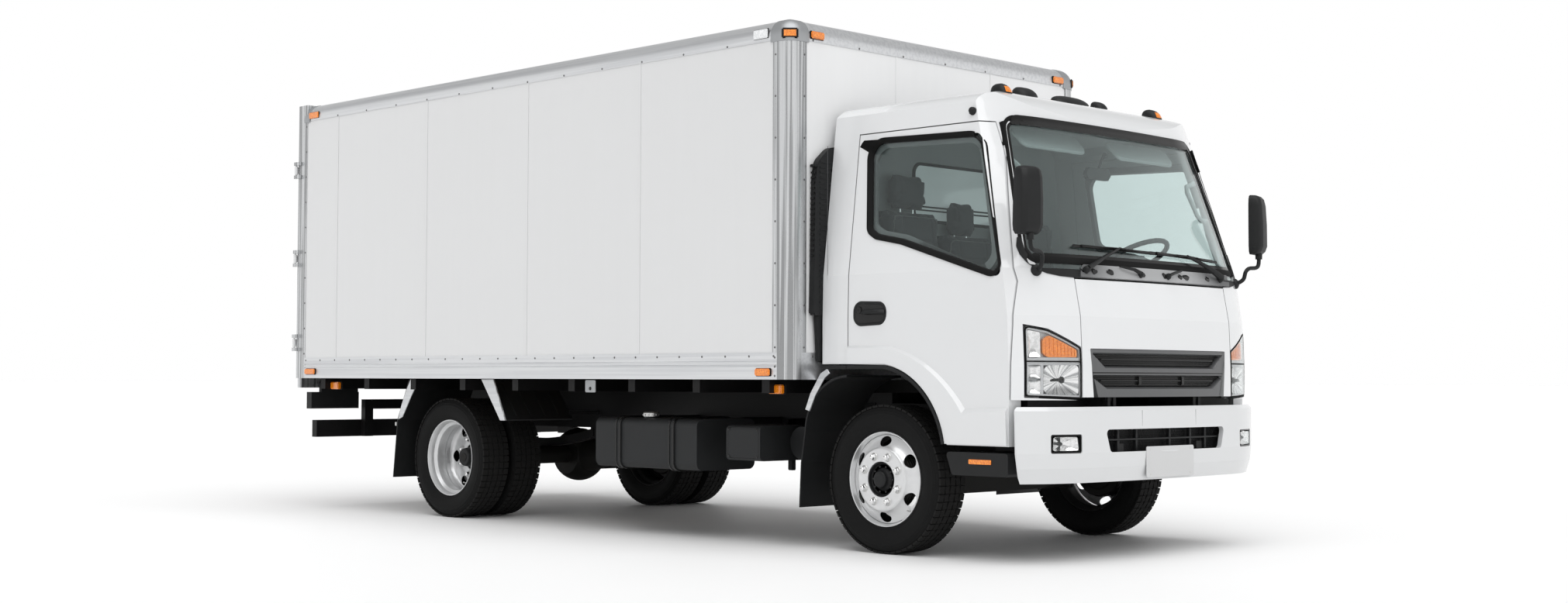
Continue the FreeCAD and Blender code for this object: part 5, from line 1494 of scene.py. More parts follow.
def doorFittings(side, word):
    body = bodyOf("cab_door_" + word)
    door = surfaceOf("cab_door_" + word)

    def onDoor(u, v, w):
        return sideAt(u, v, side, w, door)

    x0, x1 = handle["x"]
    z0, z1 = handle["z"]
    outline = rounded([(x0, z0), (x1, z0 + 0.008), (x1, z1 - 0.008), (x0, z1)], handle["radius"], 8)
    rim = Shape()
    line = paced(outline, 0.03)
    placedBand(rim, onDoor, (inset(line, -0.004), -0.002), (line, 0.005), (inset(line, 0.008), 0.006),
               (inset(line, 0.014), 0.001), (inset(line, 0.014), -0.002))
    rim.done("door_handle_rim_" + word, "blackPlastic", body, 50)
    cup = Shape()
    addPanel(cup, inset(outline, 0.01), onDoor, -0.002, 0.0012, 0.03)
    cup.done("door_handle_cup_" + word, "glossBlack", body, 50)
    middle = (z0 + z1) / 2 + 0.01
    path = [onDoor(x0 + 0.075, middle, 0.006), onDoor(x0 + 0.085, middle, 0.017), onDoor(x0 + 0.115, middle, 0.021),
            onDoor(x1 - 0.045, middle, 0.021), onDoor(x1 - 0.02, middle, 0.015), onDoor(x1 - 0.012, middle, 0.004)]
    Shape().tube(path, [0.02, 0.019, 0.018, 0.018, 0.019, 0.02], 14, flat=0.45).done(
        "door_handle_grip_" + word, "blackPlastic", body, 60)
    lock = Shape().lathe([(0, -0.001), (0.019, -0.001), (0.019, 0.004), (0.015, 0.006), (0.006, 0.006),
                          (0.005, 0.004), (0, 0.004)], onDoor(x0 + 0.038, middle + 0.01, 0.001), (0, side, 0), 28)
    lock.done("door_lock_" + word, "glossBlack", body)
    # shallow pressed step behind the door on the cab's side
    wall = surfaceOf("cab_side_frames")
    line = [(-0.352, 2.2), (-0.352, 1.8), (-0.352, 1.4), (-0.352, 1.1)]
    points = [sideAt(x, z, side, 0, wall) for x, z in paced(line, 0.05, False)]
    Shape().strip(points, Vector((0, side, 0)), [(-0.001, -0.0015), (0.0008, 0), (-0.001, 0.0015)], False).done(
        "cab_side_seam_" + word, "greyPlastic", cabBody)
    # black knob beside the roof, and the fin at the back of the roof
    spot = sideAt(0.59, 2.31, side, 0)
    out = Vector((0.1, side * 0.9, 0.35)).normalized()
    Shape().lathe([(0, -0.01), (0.02, -0.01), (0.022, 0.004), (0.016, 0.02), (0.008, 0.027), (0, 0.028)], spot,
                  out, 28).done("roof_side_knob_" + word, "blackPlastic", cabBody, 60)
    ring = rounded([(0.982, 2.262), (0.95, 2.256), (0.905, 2.328), (0.874, 2.384), (0.892, 2.392), (0.935, 2.352),
                    (0.972, 2.304)], [0.008, 0.008, 0.03, 0.006, 0.006, 0.03, 0.03], 4)
    Shape().slab(ring, lambda u, v, w: at(w, side * u, v), -0.381, -0.358, 0.006, 3, back=True).done(
        "roof_rear_fin_" + word, "blackPlastic", cabBody, 50)
    line = [(0.722, 2.13), (0.71, 2.175), (0.694, 2.225), (0.684, 2.255)]
    points = [sideAt(x, z, side, 0) for x, z in line]
    section = [(-0.004, -0.02), (0.004, -0.018), (0.004, 0.018), (-0.004, 0.02)]
    Shape().strip(points, Vector((0.3, side, 0)).normalized(), section, False).done(
        "pillar_gap_" + word, "seal", cabBody, 50)


mirror = {"y": (0.99, 1.15), "z": (1.65, 1.99), "x": 1.02, "turn": 0.26}


def mirrorHeads(side, word):
    # a soft-edged shell that narrows upwards, with its glass on the rear face and a pole below
    y0, y1 = mirror["y"]
    z0, z1 = mirror["z"]
    head = Shape()
    rings = []
    levels = [(0.0, 0.8, 0.62), (0.05, 0.95, 0.86), (0.14, 1.0, 1.0), (0.5, 0.99, 1.0), (0.82, 0.955, 0.93),
              (0.93, 0.9, 0.82), (0.98, 0.78, 0.62), (1.0, 0.6, 0.4)]
    middle = (y0 + y1) / 2
    cosine, sine = math.cos(mirror["turn"]), math.sin(mirror["turn"])

    def turned(x, y, z):
        # the whole head is turned outwards a little about its own upright middle
        return at(mirror["x"] + x * cosine - y * sine, side * (middle + y * cosine + x * sine), z)

    for share, width, depth in levels:
        half = (y1 - y0) / 2 * width
        front = 0.04 * depth + 0.036 * depth - 0.04
        section = rounded([(-0.04, -half), (front - 0.012, -half * 0.86), (front, -half * 0.5), (front, half * 0.5),
                           (front - 0.012, half * 0.86), (-0.04, half)], [0.006, 0.018, 0.02, 0.02, 0.018, 0.006], 3)
        rings.append([head.mesh.verts.new(turned(x, y - 0.006 * share, z0 + (z1 - z0) * share)) for x, y in section])
    made = head.ended(rings).done("mirror_head_" + word, "blackPlastic", cabBody, 50)
    half = (y1 - y0) / 2 - 0.016
    ring = rounded([(-half, z0 + 0.022), (half, z0 + 0.022), (half - 0.002, z1 - 0.026), (-half, z1 - 0.026)], 0.016, 5)
    Shape().slab(ring, lambda u, v, w: turned(-0.0385 - w, u, v), 0, 0.003, 0.001).done(
        "mirror_glass_" + word, "chrome", cabBody)
    arm = Shape()
    foot = frontAt(side * 0.925, 1.478, 0.0, shellSkin)
    path = [foot + Vector((-0.006, 0, 0.004)), foot + Vector((0.02, side * 0.004, 0.006)),
            at(0.995, side * 0.942, 1.505), at(1.005, side * 0.948, 1.545), at(1.012, side * 0.975, 1.566),
            at(1.018, side * 1.035, 1.572), at(1.02, side * 1.06, 1.59), at(1.02, side * 1.066, 1.64),
            at(1.018, side * 1.068, 1.74)]
    smooth = []
    for i in range(len(path) - 1):
        before, after = path[max(i - 1, 0)], path[min(i + 2, len(path) - 1)]
        for k in range(4):
            t = k / 4
            a, b = path[i], path[i + 1]
            smooth.append(0.5 * ((2 * a) + (b - before) * t + (2 * before - 5 * a + 4 * b - after) * t * t
                                 + (3 * a - before - 3 * b + after) * t ** 3))
    smooth.append(path[-1])
    arm.tube(smooth, 0.0115, 14)
    arm.lathe([(0, -0.002), (0.03, -0.002), (0.029, 0.01), (0.02, 0.018), (0.013, 0.022), (0, 0.023)], foot,
              Vector((0.86, side * 0.45, 0.2)), 24)
    arm.lathe([(0, 0), (0.019, 0.0), (0.02, 0.028), (0.014, 0.038), (0, 0.038)], at(1.02, side * 1.065, 1.622),
              (0, 0, 1), 20)
    arm.done("mirror_arm_" + word, "blackPlastic", cabBody, 50)
    if side < 0:
        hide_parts("mirrors")


markers = [{"name": "outer_right", "spot": (0.549, -0.695), "size": (0.058, 0.046, 0.044), "lit": True},
           {"name": "inner_right", "spot": (0.43, -0.343), "size": (0.06, 0.075, 0.042), "lit": False},
           {"name": "middle", "spot": (0.44, 0.055), "size": (0.058, 0.15, 0.034), "lit": False},
           {"name": "inner_left", "spot": (0.44, 0.33), "size": (0.046, 0.044, 0.034), "lit": False},
           {"name": "outer_left", "spot": (0.549, 0.695), "size": (0.058, 0.046, 0.044), "lit": True}]


def roofMarkers():
    # low black pods on the roof; the outer two have a small amber window that faces ahead
    roof = surfaceOf("cab_roof")
    for data in markers:
        x, y = data["spot"]
        length, wide, tall = data["size"]

        def onPod(turn, rise, grow=0.0):
            reach = math.cos(rise * math.pi / 2) ** 0.7
            sx, sy = math.cos(turn), math.sin(turn)
            u = (length + grow) * abs(sx) ** 0.75 * math.copysign(1, sx) * reach - 0.014 * rise
            v = (wide + grow) * abs(sy) ** 0.75 * math.copysign(1, sy) * reach
            hit = onSurface(roof, at(x + u, y + v, 3.4), (0, 0, -1))
            foot = hit[0].z if hit else top.z
            return Vector((x + axleX + u, y + v, foot - 0.005 + (tall + grow + 0.005) * math.sin(rise * math.pi / 2)))

        top = onSurface(roof, at(x, y, 3.4), (0, 0, -1))[0]
        pod = Shape()
        rings = [[pod.mesh.verts.new(onPod(fullTurn * i / 40, k / 9)) for i in range(40)] for k in range(9)]
        pod.ended(rings).done("roof_marker_" + data["name"], "blackPlastic", cabBody, 60)
        if data["lit"]:
            window = Shape()
            grid = [[window.mesh.verts.new(onPod(-0.5 + 0.22 * i, 0.16 + 0.1 * k, 0.0012)) for i in range(7)]
                    for k in range(5)]
            for a, b in zip(grid, grid[1:]):
                for i in range(6):
                    window.mesh.faces.new((a[i], a[i + 1], b[i + 1], b[i]))
            window.thicken(0.003).done("roof_marker_lens_" + data["name"], "amber", cabBody, 60)
    print("roof markers")


def airDuct():
    # the intake snorkel in the gap behind the cab: a curved top, a ribbed grating on its side and a narrower foot
    duct = Shape()
    ring = rounded([(-1.15, 1.275), (-0.9, 1.275), (-0.9, 2.205), (-1.02, 2.205), (-1.118, 2.12),
                    (-1.136, 2.0), (-1.14, 1.75)], [0.012, 0.02, 0.03, 0.1, 0.08, 0.1, 0.2], 6)
    duct.slab(ring, lambda u, v, w: at(w, u, v), -0.4235, -0.386, 0.009, 3, back=True)
    ring = rounded([(-1.105, 1.02), (-0.96, 1.02), (-0.96, 1.28), (-1.125, 1.28)], 0.015, 4)
    duct.slab(ring, lambda u, v, w: at(w, u, v), -0.42, -0.39, 0.007, 3, back=True)
    for z in (1.3, 1.56, 2.085):
        duct.box(at(-0.424, -1.1465, z), at(-0.3855, -1.1, z + 0.016), 0.003, 2)
    made = duct.done("air_duct", "blackPlastic", cabBody, 50)
    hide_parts("air_intake")
    ribs("air_duct_ribs", 17, at(-0.406, -1.144, 1.6), (0, 0.0004, 0.0285), (0.027, 0.01, 0.011), "glossBlack", cabBody)
    ribs("air_duct_face_ribs", 30, at(-0.385, -1.04, 1.29), (0, 0, 0.0285), (0.003, 0.13, 0.012), "blackPlastic",
         cabBody)
    print("air duct")


screenSeal()
onBothSides(cornerTrim, "corner trim")
onBothSides(windowSeals, "window seals")
onBothSides(doorFittings, "door fittings")
onBothSides(mirrorHeads, "mirrors")
roofMarkers()
airDuct()


# ---- front: headlamps, grille, bumper, cowl and wipers

lamp = {"outline": [(0.698, 0.834), (1.014, 0.846), (1.015, 1.199), (0.901, 1.178), (0.698, 1.091)],
        "radii": [0.006, 0.016, 0.022, 0.03, 0.02], "split": 1.02, "backX": 0.909,
        "amber": [(0.724, 1.042), (0.905, 1.042), (0.928, 1.062), (0.926, 1.128), (0.895, 1.152), (0.724, 1.08)],
        "clear": [(0.938, 1.042), (0.999, 1.042), (0.999, 1.178), (0.938, 1.166)],
        "upperBlock": [(0.94, 0.935), (0.999, 0.936), (0.999, 0.998), (0.94, 0.998)],
        "lowerBlock": [(0.94, 0.858), (0.999, 0.86), (0.999, 0.926), (0.94, 0.925)],
        "bowl": [(0.718, 0.852), (0.926, 0.854), (0.926, 1.002), (0.718, 1.002)]}


def bowlShape(outline, place, depth, rim, rings=9):
    # a hollow reflector: a smooth dish inside an outline, open towards the front
    shape = Shape()
    middle = sum((Vector(p) for p in outline), Vector((0, 0))) / len(outline)
    loops = []
    for k in range(rings + 1):
        share = 1 - k / (rings + 1)
        w = rim - depth * (1 - share ** 2)
        loops.append([shape.mesh.verts.new(place(middle.x + (u - middle.x) * share, middle.y + (v - middle.y) * share,
                                                 w)) for u, v in outline])
    for first, last in zip(loops, loops[1:]):
        for i in range(len(outline)):
            j = (i + 1) % len(outline)
            shape.mesh.faces.new((first[i], first[j], last[j], last[i]))
    shape.mesh.faces.new(loops[-1])
    return shape.thicken(0.0015), middle


def headlamps():
    skin = surfaceOf("headlamps")
    for side, word in sides:
        ahead = Vector((0.9, side * 0.36, 0))

        def onLamp(u, v, w):
            spot = frontAt(side * min(u, 1.0125), v, 0, skin)
            point = spot + ahead * w
            point.y += side * max(0, u - 1.0125)
            point.x = max(point.x, axleX + lamp["backX"])
            return point

        outline = rounded(lamp["outline"], lamp["radii"], 5)
        line = paced(outline, 0.025)
        lensShape = addPanel(Shape(), inset(outline, 0.0015), onLamp, -0.004, 0.0, 0.02, 0.002)
        made = lensShape.done("headlamp_lens_" + word, "lampGlass", cabBody, 40)
        if side < 0:
            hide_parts("headlamps")
        seam = Shape()
        placedBand(seam, onLamp, (line, -0.01), (line, 0.0006), (inset(line, 0.006), 0.001),
                   (inset(line, 0.006), -0.01))
        addPanel(seam, oblong(0.704, lamp["split"] - 0.003, 1.011, lamp["split"] + 0.004), onLamp, -0.01, 0.001, 0.03)
        seam.done("headlamp_seam_" + word, "seal", cabBody)
        housing = Shape()
        addPanel(housing, inset(outline, 0.004), onLamp, -0.04, -0.032, 0.025)
        placedBand(housing, onLamp, (inset(line, 0.003), -0.034), (inset(line, 0.004), -0.006),
                   (inset(line, 0.015), -0.007), (inset(line, 0.017), -0.034))
        addPanel(housing, oblong(0.705, 1.0, 1.008, 1.04), onLamp, -0.034, -0.007, 0.03, 0.003)
        addPanel(housing, oblong(0.925, 0.85, 0.94, 1.01), onLamp, -0.034, -0.008, 0.03, 0.003)
        housing.done("headlamp_housing_" + word, "lampGrey", cabBody, 40)
        cell = rounded(lamp["amber"], [0.01, 0.03, 0.018, 0.026, 0.02, 0.01], 5)
        addPanel(Shape(), cell, onLamp, -0.03, -0.01, 0.02, 0.006, 3).done(
            "indicator_cell_" + word, "amber", cabBody, 50)
        flutes = Shape()
        for k in range(9):
            u = 0.738 + k * 0.0215
            top = min(1.08 + (u - 0.724) * 0.42, 1.14)
            flutes.tube([onLamp(u, v, -0.0085) for v in (1.05, 1.05 + (top - 1.056) * 0.5, top - 0.006)], 0.0016, 6)
        flutes.done("indicator_flutes_" + word, "amber", cabBody, 50)
        for key in ("clear", "upperBlock", "lowerBlock"):
            ring = rounded(lamp[key], 0.008, 4)
            block, middle = bowlShape(ring, onLamp, 0.018, -0.01, 5)
            block.done("headlamp_" + key.lower() + "_" + word, "reflector", cabBody, 30)
        ring = rounded(paced(rounded(lamp["bowl"], [0.02, 0.035, 0.035, 0.02], 6), 0.02), 0.0)
        bowl, middle = bowlShape(ring, onLamp, 0.024, -0.006, 11)
        bowl.done("headlamp_bowl_" + word, "lampBowl", cabBody, 60)
        foot = onLamp(middle.x, middle.y, -0.03)
        Shape().lathe([(0, 0), (0.017, 0), (0.017, 0.004), (0.01, 0.007), (0.0085, 0.017), (0.006, 0.021), (0, 0.022)],
                      foot, ahead, 24).done("headlamp_bulb_" + word, "glossBlack", cabBody, 40)
        Shape().tube([onLamp(middle.x + 0.005, middle.y - 0.002, -0.018),
                      onLamp(middle.x + 0.03, middle.y + 0.002, -0.016),
                      onLamp(middle.x + 0.06, middle.y - 0.003, -0.018)], [0.005, 0.008, 0.005], 10).done(
            "headlamp_bulb_shield_" + word, "iron", cabBody, 60)
    print("headlamps")


grilleSlots = ({"low": 0.902, "high": 0.948, "halfLow": 0.5, "halfHigh": 0.59},
               {"low": 1.008, "high": 1.06, "halfLow": 0.5, "halfHigh": 0.575})


def honeycomb(name, slot, wires, rows, place, depth, finish, body):
    # a mesh of six-sided cells over a slot; rows are the first row's height in cells and how many more there are
    cell, wire = wires
    low, tall = slot["low"], slot["high"] - slot["low"]
    points = []
    for row in range(int(tall / (1.5 * cell)) + rows[1]):
        v = low + cell * rows[0] + row * 1.5 * cell
        half = slot["halfLow"] + (slot["halfHigh"] - slot["halfLow"]) * (v - low) / tall
        count = int(half / (math.sqrt(3) * cell))
        points += [place((i + 0.5 * (row % 2)) * math.sqrt(3) * cell, v, depth) for i in range(-count, count + 1)]
    data = grown("comb", {"Cell": cell, "Wire": wire, "Material": mat[finish]}, points)
    showPiece(name, data, finish, body, 40)


def grilleParts():
    body = bodyOf("grille")
    skin = surfaceOf("grille", "front_lid")
    low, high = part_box("grille")
    arc = [frontAt(y / 100, 1.062, 0, skin).x for y in range(0, 65, 5)]

    def onGrille(u, v, w):
        # the grille's face without its slots: a shallow arc across the front
        place = min(abs(u), 0.599) * 20
        k = int(place)
        return Vector((arc[k] + (arc[k + 1] - arc[k]) * (place - k) + (1.062 - v) * 0.003 + w, u, v))

    def sunk(u, v):
        # how deep the moulded scoops are: steep under their top edge, with a broad slope below and at the ends
        depth = 0.0
        for slot in grilleSlots:
            half = slot["halfLow"] + (slot["halfHigh"]
                                      - slot["halfLow"]) * (v - slot["low"]) / (slot["high"] - slot["low"])
            share = min((v - slot["low"] + 0.02) / 0.02, (slot["high"] - v + 0.003) / 0.003,
                        (half - abs(u) + 0.03) / 0.03)
            share = min(max(share, 0), 1)
            depth = max(depth, 0.05 * share * share * (3 - 2 * share))
        return -depth

    def side(v):
        return 0.602 + 0.33 * (v - 0.957)

    # the face takes the lighter grey, a painted highlight on its lips
    face = Shape()
    outline = rounded([(-side(low.z), low.z), (side(low.z), low.z), (side(high.z), high.z), (-side(high.z), high.z)],
                      0.006, 3)
    addPanel(face, outline, lambda u, v, w: onGrille(u, v, w or sunk(u, v)), -0.055, 0.0, 0.006)
    made = face.done("grille_face", "lipPaintedHighlight", body, 35)
    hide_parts("grille")
    for k, slot in enumerate(grilleSlots):
        z0, z1, a, b = slot["low"], slot["high"], slot["halfLow"], slot["halfHigh"]
        honeycomb("grille_mesh_" + str(k), slot, (0.0068, 0.0011), (0.5, 1), onGrille, -0.022, "glossBlack", body)
        bars = Shape()
        addPanel(bars, [(-a - 0.012, z0 - 0.004), (a + 0.012, z0 - 0.004), (b + 0.004, z1 + 0.002),
                        (-b - 0.004, z1 + 0.002)], onGrille, -0.03, -0.026, 0.05)
        middle = (z0 + z1) / 2
        addPanel(bars, oblong(-a - 0.02, middle - 0.003, a + 0.02, middle + 0.003), onGrille, -0.026, -0.016, 0.05)
        if k == 0:
            for y in (-0.2, 0.2):
                addPanel(bars, oblong(y - 0.012, z0, y + 0.012, z1), onGrille, -0.026, -0.012, 0.03, 0.003)
        bars.done("grille_bars_" + str(k), "glossBlack", body)
    seam = Shape()
    addPanel(seam, [(-side(0.962), 0.962), (side(0.962), 0.962), (side(0.968), 0.968), (-side(0.968), 0.968)], onGrille,
             -0.002, 0.0008, 0.05)
    seam.done("grille_split_line", "glossBlack", body)
    print("grille")


fog = {"y": (0.738, 0.922), "z": (0.563, 0.652), "lensY": (0.752, 0.912)}
intake = {"low": 0.56, "high": 0.676, "halfLow": 0.515, "halfHigh": 0.552}


def bumperParts():
    body = bodyOf("bumper")
    skin = surfaceOf("bumper")
    arc = [frontAt(y / 100, 0.72, 0, skin).x for y in range(0, 105, 5)]

    def onBumper(u, v, w):
        # the bumper's face as if it had no openings
        place = min(abs(u), 0.999) * 20
        k = int(place)
        x = arc[k] + (arc[k + 1] - arc[k]) * (place - k)
        lean = 0.0 if v > 0.56 else (0.56 - v) * 0.08 if v > 0.484 else 0.006 + (0.484 - v) * 0.24
        return Vector((x - lean + w, u, v))

    made = None
    for side, word in sides:
        def onSide(u, v, w):
            return onBumper(side * u, v, w) + Vector((0, side * 0.25 * w, 0))

        y0, y1 = fog["y"]
        z0, z1 = fog["z"]
        hole = rounded(oblong(y0, z0, y1, z1), 0.01, 4)
        frameShape = Shape()
        line = paced(hole, 0.03)
        placedBand(frameShape, onSide, (inset(line, -0.0015), -0.03), (inset(line, -0.0015), -0.002),
                   (inset(line, 0.004), -0.002), (inset(line, 0.01), -0.028))
        addPanel(frameShape, inset(hole, 0.002), onSide, -0.045, -0.04, 0.04)
        frameShape.done("fog_surround_" + word, "glossBlack", body)
        a, b = fog["lensY"]
        ring = rounded([(a, z0 + 0.009), (b, z0 + 0.009), (b - 0.004, z1 - 0.009), (a + 0.01, z1 - 0.009)], 0.012, 5)
        lensShape = addPanel(Shape(), ring, onSide, -0.0035, 0.0, 0.03, 0.0015)
        lens = lensShape.done("fog_lens_" + word, "lampGlass", body, 40)
        made = made or lens
        bowl, middle = bowlShape(paced(inset(ring, 0.002), 0.02), onSide, 0.03, -0.005, 7)
        bowl.done("fog_reflector_" + word, "reflector", body, 60)
        bulb = Shape().lathe([(0, 0), (0.011, 0), (0.01, 0.01), (0.005, 0.018), (0, 0.019)],
                             onSide(middle.x + 0.02, middle.y, -0.036), (1, 0, 0), 20)
        bulb.done("fog_bulb_" + word, "glossBlack", body)
    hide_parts("fog_lamps")
    low, high = intake["low"], intake["high"]
    bars = Shape()
    middle = (low + high) / 2 + 0.004
    addPanel(bars, oblong(-0.54, middle - 0.004, 0.54, middle + 0.004), onBumper, -0.048, -0.03, 0.06, 0.002)
    for y in (-0.405, -0.25, 0.05, 0.25, 0.405):
        addPanel(bars, oblong(y - 0.009, low, y + 0.009, high), onBumper, -0.055, -0.036, 0.05, 0.003)
    addPanel(bars, oblong(-0.64, low - 0.02, 0.64, high + 0.02), onBumper, -0.07, -0.067, 0.06)
    bars.done("intake_bars", "blackPlastic", body)
    honeycomb("intake_mesh", intake, (0.0085, 0.0013), (1, 0), onBumper, -0.06, "blackPlastic", body)
    plateX = cadHigh.x
    ring = rounded(oblong(-0.22, 0.421, 0.22, 0.583), 0.01, 5)
    plate = Shape().slab(ring, lambda u, v, w: Vector((plateX + w, u, v)), -0.004, -0.0005, 0.0012, 2)
    plate.done("front_plate_blank", "plate", body)
    spots = [Vector((plateX - 0.0008, y, z)) for y in (-0.185, 0.185) for z in (0.437, 0.567)]
    studs("front_plate_screws", spots, forwards, "zinc", body, 0.006, 0.0008, 0.8, 12)
    seam = Shape()
    for y in (-0.25, 0.25):
        line = [onBumper(y, z, 0.0004) for z in (0.69, 0.72, 0.745, 0.772)]
        seam.strip(line, forwards, [(-0.001, -0.0012), (0.0003, 0), (-0.001, 0.0012)], False)
    seam.done("bumper_seams", "greyPlastic", body)
    print("bumper parts")


def cowlParts():
    skin = surfaceOf("cowl", "cab_front_corners", "front_lid", "windscreen")
    lean = Vector((0.82, 0, 0.55))

    def onCowl(u, v, w):
        return frontAt(u, v, 0, skin) + lean * w

    ring = rounded([(-0.65, 1.4515), (0.77, 1.4515), (0.8, 1.517), (-0.6, 1.517), (-0.64, 1.48)],
                   [0.008, 0.01, 0.01, 0.02, 0.02], 4)
    addPanel(Shape(), ring, onCowl, -0.001, 0.0075, 0.02, 0.0012).done("cowl_insert", "cowlGrey", cabBody, 50)
    # the holes are black patches laid on the insert: painted shade for the dark inside the openings
    holes = Shape()
    for y, wide, tall in ((-0.535, 0.02, 0.011), (-0.405, 0.026, 0.01), (-0.135, 0.028, 0.011), (0.085, 0.024, 0.01),
                          (0.232, 0.016, 0.009), (0.292, 0.03, 0.01), (0.52, 0.018, 0.009)):
        blob = []
        for k in range(14):
            turn = fullTurn * k / 14
            swell = 1 + 0.16 * math.sin(3 * turn + y * 20)
            blob.append((y + wide * math.cos(turn) * swell, 1.482 + 1.5 * tall * math.sin(turn) * swell))
        addPanel(holes, blob, onCowl, 0.0, 0.0105, 0.012)
    holes.done("cowl_holes", "glossBlack", cabBody)

    glass = surfaceOf("windscreen", "cowl", "cab_front_corners")

    def overGlass(y, z, lift):
        return frontAt(y, z, 0, glass) + Vector((0.9, 0, 0.42)) * lift

    def wiper(name, pivotY, elbow, bladeFrom, bladeTo, bladeLow, bladeHigh):
        hubPoint = onCowl(pivotY, 1.486, 0.004)
        arm = Shape()
        arm.lathe([(0, -0.002), (0.019, -0.002), (0.019, 0.012), (0.016, 0.024), (0.009, 0.029), (0, 0.03)], hubPoint,
                  lean, 24)
        start = hubPoint + lean * 0.02
        top = overGlass(elbow[0], elbow[1], 0.026)
        way = [start.lerp(top, k / 6) + lean * (0.01 * math.sin(math.pi * k / 6)) for k in range(7)]
        arm.tube(way, [0.019, 0.017, 0.015, 0.012, 0.01, 0.009, 0.009], 8, flat=0.7)
        arm.done(name + "_arm", "blackPlastic", cabBody, 50)
        blade = Shape()
        count = 25
        line = []
        for k in range(count):
            share = k / (count - 1)
            y = bladeFrom + (bladeTo - bladeFrom) * share
            z = bladeLow + (bladeHigh - bladeLow) * share
            line.append(overGlass(y, z, 0.004))
        outs = [Vector((0.9, 0, 0.42)).normalized()] * count
        blade.strip(line, outs, [(-0.002, -0.002), (0.007, -0.008), (0.009, 0.008), (-0.002, 0.002)], False)
        blade.strip([p + outs[0] * 0.01 for p in line[2:-2]], outs[2:-2],
                    [(-0.001, -0.009), (0.005, -0.007), (0.006, 0.006), (0.0, 0.01)], False)
        middle = count // 2
        for offset in (-7, -3, 3, 7):
            near = line[middle + offset] + outs[0] * 0.012
            blade.tube([line[middle] + outs[0] * 0.024, near.lerp(line[middle] + outs[0] * 0.024, 0.5)
                        + outs[0] * 0.004, near], [0.0045, 0.0038, 0.003], 6)
        blade.tube([line[middle] + outs[0] * 0.01, line[middle] + outs[0] * 0.028], 0.006, 8)
        blade.done(name + "_blade", "glossBlack", cabBody, 40)

    wiper("wiper_right", -0.6, (-0.285, 1.606), -0.64, 0.09, 1.612, 1.6)
    wiper("wiper_left", 0.66, (0.35, 1.596), 0.01, 0.7, 1.606, 1.584)
    for name, y, tip in (("wiper_link_right", -0.15, -0.31), ("wiper_link_left", 0.105, 0.265)):
        link = Shape()
        base = onCowl(y, 1.478, 0.005)
        link.lathe([(0, -0.002), (0.017, -0.002), (0.017, 0.01), (0.012, 0.02), (0, 0.022)], base, lean, 20)
        far = onCowl(tip, 1.512, 0.01)
        link.tube([base + lean * 0.014, base.lerp(far, 0.4) + lean * 0.022, far + lean * 0.006], [0.012, 0.01, 0.005],
                  8, flat=0.7)
        link.done(name, "blackPlastic", cabBody, 50)
    print("cowl and wipers")


def archTrim(side, word):
    body = bodyOf("cab_door_" + word)
    start, via, end = Vector((0.492, 0.6)), Vector((0.322, 0.894)), Vector((0.08, 1.003))
    # circle through the three points of the arch
    ax, ay, bx, by, cx, cy = *start, *via, *end
    d = 2 * (ax * (by - cy) + bx * (cy - ay) + cx * (ay - by))
    ux = ((ax * ax + ay * ay) * (by - cy) + (bx * bx + by * by) * (cy - ay) + (cx * cx + cy * cy) * (ay - by)) / d
    uy = ((ax * ax + ay * ay) * (cx - bx) + (bx * bx + by * by) * (ax - cx) + (cx * cx + cy * cy) * (bx - ax)) / d
    centre = Vector((ux, uy))
    radius = (start - centre).length
    first, last = (math.atan2(p.y - uy, p.x - ux) for p in (start, end))
    arc = [(ux + radius * math.cos(first + (last - first) * k / 24),
            uy + radius * math.sin(first + (last - first) * k / 24)) for k in range(25)]
    line = arc + [(x, 1.0045) for x in (0.03, -0.02, -0.08, -0.14, -0.186)]
    outs = [Vector((0, side, 0))] * len(line)
    Shape().strip([at(x, side * 1.08, z) for x, z in line], outs,
               [(-0.025, -0.002 * side), (0.024, -0.002 * side), (0.026, -0.012 * side), (0.018, -0.022 * side),
                (-0.025, -0.022 * side)], False).done("arch_trim_" + word, "blackPlastic", body, 40)
    points = [at(x, side * 1.08, 1.0045) for x in (-0.2, -0.26, -0.32, -0.376)]
    Shape().strip(points, outs[:4], [(-0.025, -0.002 * side), (0.014, -0.002 * side), (0.015, -0.012 * side),
                                     (0.008, -0.022 * side), (-0.025, -0.022 * side)], False).done(
        "arch_trim_rear_" + word, "blackPlastic", cabBody, 40)
    y = sorted((side * 1.0795, side * 1.0865))
    lampBlock("step_reflector_" + word, (0.638, y[0], 0.498), (0.789, y[1], 0.528), "amber", bodyOf("side_steps"),
              (0, side, 0), 0.3, 0.002)


headlamps()
grilleParts()
bumperParts()
cowlParts()
onBothSides(archTrim, "arch trim")


# ---- inside the cab

seat = {"frames": 20, "places": {"left": (0.25, 0.75), "middle": (-0.3, 0.15), "right": (-0.77, -0.32)}, "width": 0.45,
        "voxel": 0.006, "pressure": 4.0, "reach": 0.018, "shrink": 0.012}
cushionLine = [(-0.2, 1.16), (0.322, 1.16), (0.326, 1.318), (-0.196, 1.286)]
backLine = [(-0.214, 1.296), (-0.116, 1.284), (-0.194, 1.872), (-0.292, 1.872)]
headLine = [(-0.292, 1.88), (-0.206, 1.88), (-0.218, 2.076), (-0.284, 2.076)]


